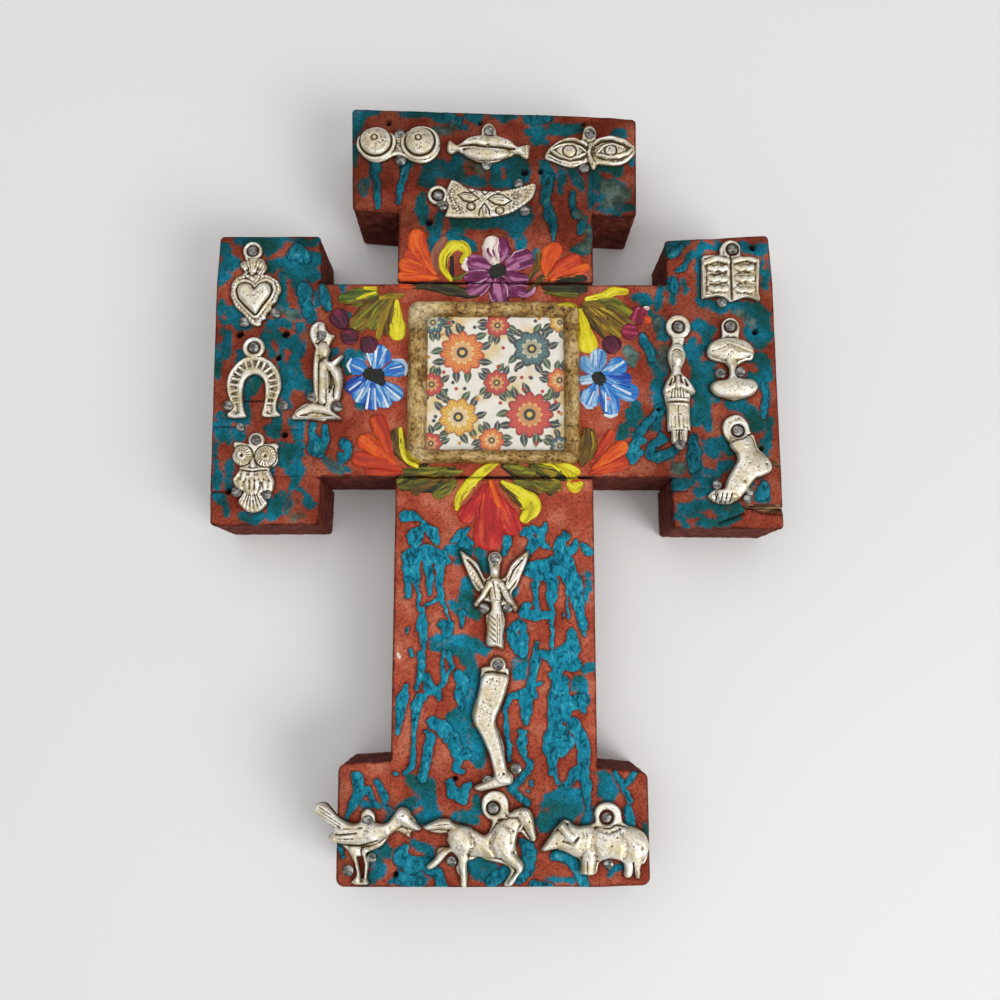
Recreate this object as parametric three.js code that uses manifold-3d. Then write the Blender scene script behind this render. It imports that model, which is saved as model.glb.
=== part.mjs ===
// A milagro cross: sawn and painted boards, a framed card, and cast charms held by small nails.
// Millimetres. The cross lies on its back: +X to its right, +Y to its top, +Z out of its face.
// The origin is under the middle of its bounding box, on the plane it lies on.
import * as THREE from 'three';
import { mergeVertices } from 'three/addons/utils/BufferGeometryUtils.js';
import Module from 'manifold-3d';

const wasm = await Module();
wasm.setup();

// Driving dimensions of the wood
const BOARD_THICKNESS = 25.4;
const HALF_SPAN = 81.7;
const HALF_HEIGHT = 112.1;
const HALF_STEM = 28.7;
const BEAM_TOP = 57.3;
const BEAM_BOTTOM = 0;
const CAP_HALF_WIDTH = 43;
const BLOCK_LENGTH = 31;
const BLOCK_WIDTH = 14.3;
const CRACK = 0.8;
const GLUE_LINE = 0.3;
const ARRIS = 0.9;
const CORNER_RADIUS = 1.3;

// Pegs across the two cracks
const PEG_RADIUS = 4;
const PEG_LENGTH = 34;
const PEG_OFFSET = 14;

// Picture
const PICTURE_CENTRE = [0.4, 27.3];
const CARD_WIDTH = 38.6;
const CARD_HEIGHT = 39;
const CARD_THICKNESS = 0.4;
const FRAME_CENTRE = [-0.5, 27.6];
const FRAME_WIDTH = 49.6;
const FRAME_HEIGHT = 47.8;
const FRAME_RISE = 3.5;
const FRAME_ROUNDING = 1.6;
const FRAME_CORNER = 3;

// Charms and nails
const GAP = 0.3;
const CHARM_BACK = BOARD_THICKNESS + GAP;
const CHARM_THICKNESS = 1.5;
const RELIEF_FOOT = 0.5;
const RELIEF_LIMIT = 6;
const SMALL_EYE = 1.15;
const LARGE_EYE = 1.85;
const NAIL_HEAD = 1.6;
const SUNK_HEAD = 1.5;
const HEAD_THICKNESS = 0.9;
const SHANK = 0.75;
const NAIL_LENGTH = 15;
const PILOT_CLEARANCE = 0.35;
const ROUND_STEPS = 10;
const EYE_STEPS = 12;
const RING_STEPS = 16;
const HOLE_STEPS = 6;
const MOUND_RINGS = 3;
const CURVE_STEPS = 2;
const OVER_EVERYTHING = 36;

function paint(color, roughness, metalness) {
  return new THREE.MeshStandardMaterial({ color, roughness, metalness });
}

const paintedWood = paint('#84392a', 0.75, 0);
const bareWood = paint('#b98a58', 0.8, 0);
const goldPaint = paint('#a07c44', 0.5, 0.3);
const printedCard = paint('#e8dfc8', 0.45, 0);
const charmMetal = paint('#c9c2ac', 0.35, 1);
const nailMetal = paint('#55534f', 0.5, 1);

// Solids that can be joined and cut

function solidOf(geometry) {
  geometry.deleteAttribute('normal');
  geometry.deleteAttribute('uv');
  const merged = mergeVertices(geometry, 1e-4);
  const vertProperties = new Float32Array(merged.attributes.position.array);
  const triVerts = new Uint32Array(merged.index.array);
  return new wasm.Manifold(new wasm.Mesh({ numProp: 3, vertProperties, triVerts }));
}

function geometryOf(solid) {
  const mesh = solid.getMesh();
  const geometry = new THREE.BufferGeometry();
  geometry.setAttribute('position', new THREE.BufferAttribute(mesh.vertProperties, 3));
  geometry.setIndex(new THREE.BufferAttribute(mesh.triVerts, 1));
  return geometry;
}

// A closed outline extruded from low to high
function prism(outline, low, high) {
  const shape = new THREE.Shape(outline.map(([x, y]) => new THREE.Vector2(x, y)));
  const geometry = new THREE.ExtrudeGeometry(shape, { depth: high - low, bevelEnabled: false });
  geometry.translate(0, 0, low);
  return solidOf(geometry);
}

// A closed curve through a few points
function smoothLoop(points) {
  const loop = new THREE.CatmullRomCurve3(points.map(([x, y]) => new THREE.Vector3(x, y, 0)), true);
  return loop.getPoints(CURVE_STEPS * points.length).slice(1).map(({ x, y }) => [x, y]);
}

function cylinder(x, y, radius, low, high, steps = ROUND_STEPS) {
  const geometry = new THREE.CylinderGeometry(radius, radius, high - low, steps);
  geometry.rotateX(Math.PI / 2);
  geometry.translate(x, y, (low + high) / 2);
  return solidOf(geometry);
}

// A flattened half-ellipsoid standing on a charm: its centre, half widths, turn in degrees and top
function mound([x, y, halfWidth, halfHeight, turn, top]) {
  const profile = [new THREE.Vector2(0, 0)];
  for (let i = 0; i < MOUND_RINGS; i++) {
    const angle = (i / MOUND_RINGS) * (Math.PI / 2);
    profile.push(new THREE.Vector2(Math.cos(angle), Math.sin(angle)));
  }
  profile.push(new THREE.Vector2(0, 1));
  const geometry = new THREE.LatheGeometry(profile, ROUND_STEPS);
  geometry.rotateX(Math.PI / 2);
  geometry.scale(halfWidth, halfHeight, top - RELIEF_FOOT);
  geometry.rotateZ(THREE.MathUtils.degToRad(turn));
  geometry.translate(x, y, RELIEF_FOOT);
  return solidOf(geometry);
}

// Wood

// Cuts each corner of an outline back by the radius and rounds it with one curve
function softCorners(corners, radius) {
  const shape = new THREE.Shape();
  corners.forEach((corner, i) => {
    const here = new THREE.Vector2(...corner);
    const before = new THREE.Vector2(...corners[(i + corners.length - 1) % corners.length]);
    const after = new THREE.Vector2(...corners[(i + 1) % corners.length]);
    const start = before.clone().sub(here).setLength(radius).add(here);
    const end = after.clone().sub(here).setLength(radius).add(here);
    if (i === 0) shape.moveTo(start.x, start.y);
    else shape.lineTo(start.x, start.y);
    shape.quadraticCurveTo(here.x, here.y, end.x, end.y);
  });
  shape.closePath();
  return shape;
}

// A board with four hand-sawn corners, given anticlockwise from the lower left, and eased arrises
function board(corners) {
  const shape = softCorners(corners, CORNER_RADIUS);
  const geometry = new THREE.ExtrudeGeometry(shape, {
    depth: BOARD_THICKNESS - 2 * ARRIS,
    bevelThickness: ARRIS,
    bevelSize: ARRIS,
    bevelOffset: -ARRIS,
    bevelSegments: 1,
    curveSegments: 2,
  });
  geometry.translate(0, 0, ARRIS);
  return solidOf(geometry);
}

// The saw wandered by a millimetre or two at the free ends, so their corners are each given
const capLine = HALF_STEM + GLUE_LINE;
const upperSeam = BEAM_TOP + GLUE_LINE;
const lowerSeam = BEAM_BOTTOM - GLUE_LINE;
const armInner = HALF_SPAN - BLOCK_LENGTH;
const capBottom = HALF_HEIGHT - BLOCK_LENGTH;
const footTop = -HALF_HEIGHT + BLOCK_LENGTH;

const boards = {
  beam: [
    [-HALF_SPAN + 0.8, BEAM_BOTTOM], [HALF_SPAN, BEAM_BOTTOM],
    [HALF_SPAN - 0.4, BEAM_TOP], [-HALF_SPAN, BEAM_TOP],
  ],
  upper_stem: [
    [-HALF_STEM, BEAM_TOP + CRACK], [HALF_STEM, BEAM_TOP + CRACK],
    [HALF_STEM, HALF_HEIGHT - 2.1], [-HALF_STEM, HALF_HEIGHT - 0.4],
  ],
  lower_stem: [
    [-HALF_STEM + 0.4, -HALF_HEIGHT], [HALF_STEM - 0.6, -HALF_HEIGHT],
    [HALF_STEM - 0.8, BEAM_BOTTOM - CRACK], [-HALF_STEM + 0.6, BEAM_BOTTOM - CRACK],
  ],
  cap_block_left: [
    [-CAP_HALF_WIDTH + 0.5, capBottom], [-capLine, capBottom - 1.1],
    [-capLine, HALF_HEIGHT - 0.4], [-CAP_HALF_WIDTH, HALF_HEIGHT],
  ],
  cap_block_right: [
    [capLine, capBottom - 1.8], [CAP_HALF_WIDTH - 1.1, capBottom - 2.3],
    [CAP_HALF_WIDTH - 0.6, HALF_HEIGHT - 2.8], [capLine, HALF_HEIGHT - 2.1],
  ],
  arm_block_upper_left: [
    [-HALF_SPAN + 0.4, upperSeam], [-armInner - 0.4, upperSeam],
    [-armInner - 1.1, BEAM_TOP + BLOCK_WIDTH], [-HALF_SPAN + 0.7, BEAM_TOP + BLOCK_WIDTH - 0.3],
  ],
  arm_block_upper_right: [
    [armInner - 0.4, upperSeam], [HALF_SPAN - 0.4, upperSeam],
    [HALF_SPAN - 1, BEAM_TOP + BLOCK_WIDTH + 0.8], [armInner - 0.6, BEAM_TOP + BLOCK_WIDTH - 0.9],
  ],
  arm_block_lower_left: [
    [-HALF_SPAN + 1.2, BEAM_BOTTOM - BLOCK_WIDTH], [-armInner + 0.7, BEAM_BOTTOM - BLOCK_WIDTH + 0.2],
    [-armInner + 1.2, lowerSeam], [-HALF_SPAN + 1, lowerSeam],
  ],
  arm_block_lower_right: [
    [armInner, BEAM_BOTTOM - BLOCK_WIDTH - 0.4], [HALF_SPAN, BEAM_BOTTOM - BLOCK_WIDTH - 0.7],
    [HALF_SPAN, lowerSeam], [armInner - 0.3, lowerSeam],
  ],
  foot_block_left: [
    [-CAP_HALF_WIDTH + 0.4, -HALF_HEIGHT], [-capLine + 0.4, -HALF_HEIGHT],
    [-capLine + 0.4, footTop + 2.2], [-CAP_HALF_WIDTH + 0.3, footTop + 1.3],
  ],
  foot_block_right: [
    [capLine - 0.6, -HALF_HEIGHT], [CAP_HALF_WIDTH - 0.9, -HALF_HEIGHT + 0.5],
    [CAP_HALF_WIDTH - 1, footTop - 0.8], [capLine - 0.6, footTop + 0.5],
  ],
};

// A wooden peg lying along Y across a crack, with the hole that takes it
function peg(x, y, radius, length) {
  const geometry = new THREE.CylinderGeometry(radius, radius, length, 2 * ROUND_STEPS);
  geometry.translate(x, y, 0);
  const solid = solidOf(geometry);
  return solid.translate([0, 0, BOARD_THICKNESS / 2]);
}

const pegs = {
  peg_upper_left: [-PEG_OFFSET, BEAM_TOP + CRACK / 2],
  peg_upper_right: [PEG_OFFSET, BEAM_TOP + CRACK / 2],
  peg_lower_left: [-PEG_OFFSET, BEAM_BOTTOM - CRACK / 2],
  peg_lower_right: [PEG_OFFSET, BEAM_BOTTOM - CRACK / 2],
};

// Picture

function rectangle([x, y], width, height) {
  return [
    [x - width / 2, y - height / 2], [x + width / 2, y - height / 2],
    [x + width / 2, y + height / 2], [x - width / 2, y + height / 2],
  ];
}

function pictureCard() {
  return prism(rectangle(PICTURE_CENTRE, CARD_WIDTH, CARD_HEIGHT), CHARM_BACK, CHARM_BACK + CARD_THICKNESS);
}

// A rounded rectangle with a rounded top, open in the middle for the card
function pictureFrame() {
  const shape = softCorners(rectangle(FRAME_CENTRE, FRAME_WIDTH, FRAME_HEIGHT), FRAME_CORNER);
  const openingWidth = CARD_WIDTH + 2 * GAP;
  const openingHeight = CARD_HEIGHT + 2 * GAP;
  const opening = rectangle(PICTURE_CENTRE, openingWidth, openingHeight).reverse();
  shape.holes.push(new THREE.Path(opening.map(([x, y]) => new THREE.Vector2(x, y))));
  const depth = 2 * (FRAME_RISE - FRAME_ROUNDING);
  const geometry = new THREE.ExtrudeGeometry(shape, {
    depth,
    bevelThickness: FRAME_ROUNDING,
    bevelSize: FRAME_ROUNDING,
    bevelOffset: -FRAME_ROUNDING,
    bevelSegments: 2,
    curveSegments: 3,
  });
  geometry.translate(0, 0, CHARM_BACK - depth / 2);
  const around = rectangle(FRAME_CENTRE, 2 * FRAME_WIDTH, 2 * FRAME_HEIGHT);
  const above = prism(around, CHARM_BACK, OVER_EVERYTHING);
  return solidOf(geometry).intersect(above);
}

// Charms
// Each is measured from its own nail: its edge, then the raised forms on it. An outline runs straight
// from point to point, a curve bends smoothly through its points, and a ring is the lug round the nail.
// A form is its centre, half widths, turn in degrees and height above the charm's back.

const charms = {
  charm_domes: {
    nail: [-28.8, 103.9],
    eye: 0,
    curve: [
      [0.2, -1], [3.7, 1.8], [6.8, 2.5], [11.8, -0.5], [11.6, -6.3], [7, -9.3], [2.1, -7.9],
      [-0.5, -6.9], [-4.4, -8.6], [-9.4, -8.5], [-12.6, -4.3], [-10.5, 0.7], [-4.6, 1.5],
    ],
    forms: [
      [-6.9, -3.1, 4.5, 4.3, 0, 3.6], [6.6, -3.1, 4.3, 4.3, 0, 3.6],
      [-7, -2.7, 1, 1, 0, 4.2], [6.1, -2.7, 1, 1, 0, 4.2],
    ],
  },
  charm_lips: {
    nail: [-2.1, 104.8],
    eye: SMALL_EYE,
    curve: [
      [-2.6, -1.2], [-5.8, -2], [-9.2, -4.4], [-12, -3.1], [-12.4, -6.4], [-11.2, -7.2], [-9, -6.6],
      [-3.6, -9.7], [2.9, -9.6], [8.3, -7.3], [10.9, -8.6], [12, -8.2], [12.3, -4.3], [8.6, -4.8],
      [6.3, -3], [2.7, -1.3], [1.1, 2.4], [-1.2, 2.3], [-2.2, 0.8],
    ],
    forms: [
      [-3.9, -4, 4.6, 1.6, 12, 3], [3.9, -4, 4.6, 1.6, -12, 3], [0, -7.7, 6.6, 1.8, 0, 3],
    ],
  },
  charm_eyes: {
    nail: [28.2, 104],
    eye: SMALL_EYE,
    curve: [
      [-2.7, -1.9], [-7.3, -2.1], [-12.9, -5.8], [-13.1, -8.1], [-5.1, -10.5], [-0.8, -9], [0.6, -11.1],
      [1.5, -10.9], [2.2, -9.6], [9.3, -9.6], [13.4, -6.5], [11.7, -2.7], [5.1, -1.1], [2, -1.4],
      [2.1, 0.4], [0, 2.9], [-1.5, 2.2],
    ],
    forms: [
      [-5.9, -6.3, 5, 2.3, -4, 2.5], [6.9, -5.8, 5, 2.4, 4, 2.5],
      [-5.6, -6.3, 1.8, 1.8, 0, 3], [6.7, -5.9, 1.8, 1.8, 0, 3],
    ],
  },
  charm_horn_plate: {
    nail: [-17.2, 84.6],
    eye: LARGE_EYE,
    ring: 3.1,
    outline: [
      [4.6, 4.8], [6.2, 4.1], [8, 2.7], [10.1, 1.9], [16.9, 1.3], [23.2, 2.2], [28.8, 3.8], [28.6, 0.1],
      [26.4, -2.5], [22.6, -5.1], [19.8, -6.1], [15.8, -6.9], [11.3, -7.1], [2.8, -6.9], [2.4, -5.7],
      [3, -3.3], [2.6, -2.4], [2.2, 0], [2.8, 2.4], [3.8, 4.6],
    ],
    forms: [
      [9.4, -1.1, 3, 1.2, -6, 2], [18.4, -2, 3.2, 1.5, -6, 2], [14.2, -4.9, 1.2, 1.8, 0, 2],
      [10.2, 1.1, 0.9, 0.9, 0, 2.4], [18.1, 0.6, 0.9, 0.9, 0, 2.4],
      [9.9, -4.2, 0.9, 0.9, 0, 2.4], [18.6, -5.1, 0.9, 0.9, 0, 2.4],
    ],
  },
  charm_heart: {
    nail: [-71.4, 66.9],
    eye: LARGE_EYE - 0.15,
    ring: 2.9,
    curve: [
      [-2, -1.7], [-2, -2.9], [-3, -3.6], [-3.1, -5.1], [-2.3, -6.4], [-3, -7.8], [-4.3, -8.4],
      [-5.9, -12.3], [-4.6, -16.9], [0.9, -22.6], [3.3, -23.1], [6.1, -16.8], [8.8, -12.2], [7.3, -8.5],
      [4.2, -6.7], [4.4, -4.9], [3.7, -3.2], [2.3, -2.2],
    ],
    forms: [
      [-1.4, -12.4, 3, 3.1, 0, 3], [3.7, -12.2, 3, 3.1, 0, 3], [1.2, -15.2, 3.6, 4.6, 8, 3],
      [0.7, -4.7, 3, 1.8, 0, 2.4],
    ],
  },
  charm_horseshoe: {
    nail: [-70, 37.5],
    eye: LARGE_EYE - 0.1,
    ring: 3.3,
    curve: [
      [-1.7, -2.7], [-6.9, -7.8], [-7, -13.7], [-5.3, -17.2], [-6.8, -19.7], [-6.4, -20.7],
      [-1.4, -20.5], [-2.1, -18.2], [-2.5, -11.6], [-1.8, -9.3], [0.4, -8], [3.5, -10.7], [3.5, -17.3],
      [2.9, -19.4], [3.5, -20.5], [8.1, -20.3], [7.2, -18.2], [8.3, -12.4], [7.4, -6.7], [3.6, -3.1],
    ],
    forms: [],
  },
  charm_owl: {
    nail: [-68.2, 10.1],
    eye: SMALL_EYE,
    ring: 2.4,
    curve: [
      [-2.1, -1], [-6.2, -0.4], [-6.1, -2.8], [-6.7, -4.5], [-6.2, -6.3], [-4.5, -7.8], [-6.2, -11.3],
      [-5.6, -13.2], [-3.3, -15.4], [-4.5, -17.9], [-1.3, -20.9], [2.9, -19.8], [3.8, -18.1],
      [2, -15.4], [5, -15], [5.6, -11.6], [4.2, -8.1], [5.6, -7.3], [6.4, -5.8], [6.1, -2.8],
      [6.5, -1.5], [5.2, -0.7],
    ],
    forms: [
      [-3.7, -4.4, 2.9, 2.9, 0, 2.7], [3.1, -4.6, 3, 3, 0, 2.7], [-0.6, -6.4, 0.8, 1.5, 0, 3.4],
      [-0.4, -11.6, 5.2, 4, 0, 2.6], [-0.4, -18.4, 3.6, 2.2, 0, 2.2],
    ],
  },
  charm_kneeling_figure: {
    nail: [-50.3, 40.9],
    eye: SMALL_EYE,
    curve: [
      [0.6, 4.2], [-1.5, 4.5], [-3.1, 3.3], [-3.4, -0.7], [-1.8, -4], [-2.2, -6.5], [-2, -16.1],
      [-1.3, -18.8], [-2.2, -19.7], [-4.2, -19.7], [-8.1, -24.2], [-2.7, -24.7], [1.1, -25.4],
      [2.3, -24.7], [5.7, -24.6], [6.2, -24], [3.4, -21.7], [3.8, -19.6], [6, -19], [6.5, -15.9],
      [6.9, -12.3], [5.2, -8.6], [6.5, -6.3], [6, -5.6], [2.7, -7.9], [2, -6.5], [2.6, -4.4],
      [2.4, -2.6], [3.9, 0.5], [2.4, 0.8], [1.2, 2.1],
    ],
    forms: [
      [0.4, -4.6, 1.9, 2.3, 0, 3], [1.9, -13.4, 3.9, 6, 0, 3.2], [-1.4, -22.7, 5.6, 1.7, 0, 2.4],
    ],
  },
  charm_book: {
    nail: [69.9, 68],
    eye: LARGE_EYE,
    outline: [
      [-9.3, -2.6], [-7.1, -1.7], [-4.1, -1.6], [-3.8, -0.1], [-2.9, 1.7], [-1.6, 2.7], [-0.2, 2.8],
      [1.2, 2.4], [2.4, 0.9], [2.6, -2.1], [5.5, -2.4], [7.3, -3], [8, -4.3], [7.7, -8.4], [7.4, -12.8],
      [7.8, -15.4], [7, -16.2], [5, -15.3], [3, -14.9], [0.8, -15.6], [-1.4, -16.1], [-3.3, -14.6],
      [-5.4, -15], [-8.9, -15.4], [-9.6, -14.6],
    ],
    forms: [
      [-4.9, -5.2, 3.7, 1.1, 0, 2.9], [-4.9, -8.7, 3.7, 1.1, 0, 2.9], [-4.9, -12.2, 3.7, 1.1, 0, 2.9],
      [3.7, -5.4, 3.5, 1.1, 0, 2.9], [3.7, -9, 3.5, 1.1, 0, 2.9], [3.7, -12.4, 3.5, 1.1, 0, 2.9],
    ],
  },
  charm_praying_figure: {
    nail: [53.3, 44.2],
    eye: LARGE_EYE,
    ring: 3.7,
    outline: [
      [-1.9, -3], [-1.9, -4.8], [-3.2, -7.5], [-3.4, -10.1], [-2.5, -12.8], [-2.8, -14.4], [-4.2, -16.8],
      [-5, -19.4], [-4.6, -21.5], [-4, -24.9], [-3.9, -30.8], [-3, -31.4], [-2.8, -34.6], [-0.6, -35.1],
      [1.5, -34.3], [2.1, -31], [2.9, -30.5], [2.9, -21.7], [4.2, -20.2], [4.4, -19.1], [3, -16.5],
      [1.3, -14.6], [0.6, -12.9], [1.7, -10.4], [2.1, -8.2], [1.3, -6.1], [1.6, -4.6], [1.6, -3],
    ],
    forms: [
      [-0.7, -9.6, 2, 3, 0, 3.2], [-0.2, -19, 3.9, 4, 0, 3.2], [-0.4, -27, 3, 4.6, 0, 2.6],
    ],
  },
  charm_mushroom: {
    nail: [68.5, 44.4],
    eye: LARGE_EYE,
    curve: [
      [-2.7, -3], [-6.2, -5.3], [-6.7, -9.5], [-2.7, -10.9], [-1.4, -12], [-1.1, -15.2], [-2.2, -16],
      [-5.7, -16.8], [-6.1, -19.7], [-2.6, -21.5], [0.6, -22.2], [5.2, -21], [7.6, -17.9], [5.4, -15.6],
      [1.3, -14.9], [1.9, -11.7], [3.9, -10.5], [5.9, -10.1], [6.6, -6.8], [3.8, -4.1], [2.5, -3.4],
      [2.9, -0.5], [0.4, 2.7], [-2.6, 0.6],
    ],
    forms: [
      [-0.2, -7, 6.2, 2.8, 0, 2.9], [0.6, -18.7, 6.2, 2.6, 4, 2.9], [0.2, -13.2, 1.4, 4, 0, 2.5],
    ],
  },
  charm_foot: {
    nail: [69.7, 13.3],
    eye: LARGE_EYE,
    curve: [
      [-3.9, 2.9], [0.1, 4.8], [3.2, 1.8], [3.7, -0.2], [4.7, -1.6], [6, -5.4], [9.2, -9.1],
      [8.4, -12.3], [4.4, -14.1], [-0.4, -20], [-4.5, -21.5], [-8.6, -20.4], [-9.2, -19.3], [-7, -17],
      [-4.9, -16.8], [-4.1, -15], [-0.8, -8.7], [-1, -6.9], [-2.4, -5.1], [-2.8, -3.5], [-4, -1.5],
    ],
    forms: [
      [2.2, -7.4, 3, 4.8, 18, 3.2], [4.6, -10.4, 4, 3, -10, 3.2], [-1.2, -15.6, 6.6, 2.6, 44, 3.2],
    ],
  },
  charm_angel: {
    nail: [0, -23.6],
    eye: SMALL_EYE,
    ring: 2,
    outline: [
      [-1.6, -1], [-1.5, -4.2], [-2.6, -5.5], [-3.9, -3.4], [-4.7, -1.4], [-7.1, 0.7], [-9.7, 2],
      [-9.4, 0.1], [-8.1, -3.1], [-6.7, -6.5], [-5.2, -9], [-3.9, -9.6], [-5.9, -12.2], [-5.7, -13.4],
      [-4.7, -13.5], [-3.3, -12], [-1.4, -12.5], [-1.2, -14.3], [-2.5, -16], [-2.3, -19.7],
      [-2.5, -23.5], [-1.5, -24.5], [0.4, -24.5], [2.1, -25.1], [2.5, -24.6], [2.5, -20.6], [3, -17.8],
      [2.5, -15.1], [2.2, -13.3], [4.3, -13.1], [5.1, -14.5], [6.1, -14.6], [6.4, -13.3], [4.8, -9.8],
      [6.2, -7.7], [7.4, -4.9], [9, -1.2], [9.6, 1.9], [8.6, 1.9], [6.1, 0], [4.3, -2], [3.1, -4.7],
      [1.7, -5.6], [1.4, -4.2], [1.4, -1],
    ],
    forms: [
      [0, -4, 1.3, 1.6, 0, 2.9], [0.3, -9, 2.2, 3.8, 0, 2.8], [0.2, -18.4, 2.3, 6.2, 0, 2.7],
      [-6.1, -4.3, 4.6, 1.3, 118, 2.3], [6.4, -3.9, 4.8, 1.5, 64, 2.3],
    ],
  },
  charm_leg: {
    nail: [0.9, -53.1],
    eye: SMALL_EYE,
    ring: 2.3,
    outline: [
      [-3.9, -0.4], [-4.8, -2.3], [-5.2, -6.2], [-6.4, -10], [-7.1, -13.5], [-6.7, -15.8], [-5.1, -18.3],
      [-3.6, -21.3], [-2.3, -24.3], [-1.5, -27.5], [-1.2, -29.8], [-3.3, -31], [-6.2, -32.3],
      [-6.1, -33.5], [-4.3, -33.9], [-2.2, -33.3], [0.3, -32.8], [2.4, -32.3], [3.6, -32.1], [4.3, -31],
      [4.2, -29.5], [3.1, -28.3], [2.4, -27], [2.1, -24.6], [1.6, -21.3], [0.6, -18.3], [-0.4, -15.3],
      [0.5, -12.2], [2.1, -8.2], [2.9, -5.6], [3.1, -2.6], [2.3, -0.6],
    ],
    forms: [
      [-1.7, -8.6, 3.4, 7.4, -14, 3.1], [-1.2, -21, 2.5, 9, 17, 3], [-0.6, -31.4, 4.6, 1.4, 10, 2.6],
    ],
  },
  charm_rooster: {
    nail: [-34.1, -94.6],
    eye: SMALL_EYE,
    curve: [
      [-14.7, 2.4], [-13.9, 4.3], [-11.6, 4.7], [-6.4, 0.2], [-2.2, -0.1], [-1.9, 1.8], [-0.1, 3.2],
      [1.7, 1.8], [2.2, -0.2], [5.7, 0.1], [8, 3.2], [11.2, 2.8], [12.3, 0.9], [14.4, -1.8],
      [13.7, -2.6], [11.8, -2.9], [11.4, -4.4], [8.1, -2.8], [5.4, -4.7], [3.8, -6.6], [-0.2, -8.6],
      [0.5, -10.9], [0.1, -14.5], [0.5, -16.2], [-4.2, -16], [-2.8, -13.9], [-5.6, -7.6], [-9.2, -5.5],
      [-10.9, -4.7], [-9.1, -2.4],
    ],
    gap: [[-2.6, -9.3], [-1.5, -14.4], [-0.9, -14.4], [-0.7, -11.4], [-1.5, -9.2]],
    forms: [
      [-3.4, -4, 6.4, 3, 6, 3.2], [4.9, -2.4, 4.4, 1.7, 38, 2.9], [9.9, 0.6, 2.3, 2.2, -30, 3],
      [-11.2, 1.9, 4, 1.6, -38, 2.4],
    ],
  },
  charm_horse: {
    nail: [-0.3, -91.3],
    eye: LARGE_EYE,
    curve: [
      [-19, -4.9], [-14.8, -2.7], [-12.1, -2.7], [-10.3, -3.9], [-6.5, -4.8], [-2.3, -6.9],
      [-0.1, -3.3], [-1.6, -2.4], [-3, -0.6], [-3, 2.4], [-1.4, 4.1], [2.8, 3.9], [4.1, 1.9],
      [4.4, -0.9], [8.2, 0.3], [10, -0.4], [11.7, -7.5], [11.1, -8.8], [9.7, -8.7], [7.2, -6.3],
      [6.2, -9.7], [6.8, -12.2], [8.2, -14.2], [8.2, -15.9], [6.8, -17.5], [5.3, -19.7], [3.6, -20.3],
      [2.9, -19.5], [4.6, -16.5], [3.1, -14.8], [-2, -13.5], [-3.9, -12.3], [-5.4, -13.5],
      [-6.9, -14.2], [-6.7, -18.2], [-7.1, -20.3], [-8, -20.6], [-8.9, -18.2], [-10, -15.6],
      [-9.4, -13.7], [-11.6, -11.5], [-15.5, -15.6], [-17.3, -15.9], [-18, -15], [-15.6, -12.7],
      [-14.9, -10.7], [-11.8, -9.9], [-12.6, -8.4], [-12.4, -6.7], [-14.3, -6.7],
    ],
    forms: [
      [-3.2, -9.8, 7.6, 3.2, -4, 3.3], [-8.6, -8.4, 3.8, 3.8, 0, 3.4], [2.8, -8.2, 3.4, 4.6, -12, 3.4],
      [4.6, -4.2, 2.6, 4.2, -40, 3.1], [9.6, -4.2, 1.8, 4.2, 16, 3.1], [-14.4, -4.6, 4.2, 1.5, 8, 2.6],
    ],
  },
  charm_pig: {
    nail: [30.4, -93.7],
    eye: LARGE_EYE,
    curve: [
      [-3.3, -1.3], [-8.5, -2], [-11.6, -0.6], [-17.8, -8.1], [-17.4, -8.8], [-13.3, -8.5],
      [-7.4, -11.3], [-7.4, -14.4], [-2.8, -14.4], [-2.2, -12.2], [1.1, -10.7], [3.7, -11.5],
      [4.3, -14.8], [5.1, -15.8], [6.5, -15.5], [7, -14.6], [7.8, -15.8], [8.8, -15.6], [9, -12.6],
      [10.1, -12], [11.4, -7.9], [10.2, -4], [5.3, -1.8], [4.3, -0.8], [3.9, 1.8], [2.3, 3.5],
      [-2.5, 3], [-3.4, 1],
    ],
    forms: [
      [1.6, -7.2, 8.6, 3.9, 0, 3.4], [-6.4, -5.8, 5, 3.2, 10, 3.2], [-12.6, -5.2, 4.6, 2.2, 34, 3.1],
    ],
  },
};

// Nails
// Those in a charm's eye are named after the charm. A small eye has the head on top of it and a
// large one has the head down in it. The others stand beside a charm with the head over its rim.

const rimNails = {
  nail_domes_rim: [-28.3, 95.3],
  nail_horn_plate_rim: [8.6, 79.6],
  nail_heart_rim: [-64, 47.9],
  nail_horseshoe_rim: [-60.8, 20.4],
  nail_kneeling_figure_rim: [-45.2, 19.8],
  nail_praying_figure_rim: [52.8, 9.1],
  nail_mushroom_rim: [65.2, 30.3],
  nail_leg_rim: [5.9, -80.8],
  nail_foot_rim: [71.9, -6.5],
};

function nailSolid([x, y], headRadius, headUnderside) {
  const profile = [
    [0, -NAIL_LENGTH], [SHANK, -NAIL_LENGTH + 2], [SHANK, 0], [headRadius, 0],
    [headRadius, HEAD_THICKNESS * 0.6], [headRadius - 0.4, HEAD_THICKNESS], [0, HEAD_THICKNESS],
  ].map(([radius, height]) => new THREE.Vector2(radius, height));
  const geometry = new THREE.LatheGeometry(profile, ROUND_STEPS);
  geometry.rotateX(Math.PI / 2);
  geometry.translate(x, y, headUnderside);
  return solidOf(geometry);
}

const onTop = CHARM_BACK + CHARM_THICKNESS + GAP;
const sunkIn = CHARM_BACK + CHARM_THICKNESS - HEAD_THICKNESS;

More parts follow.
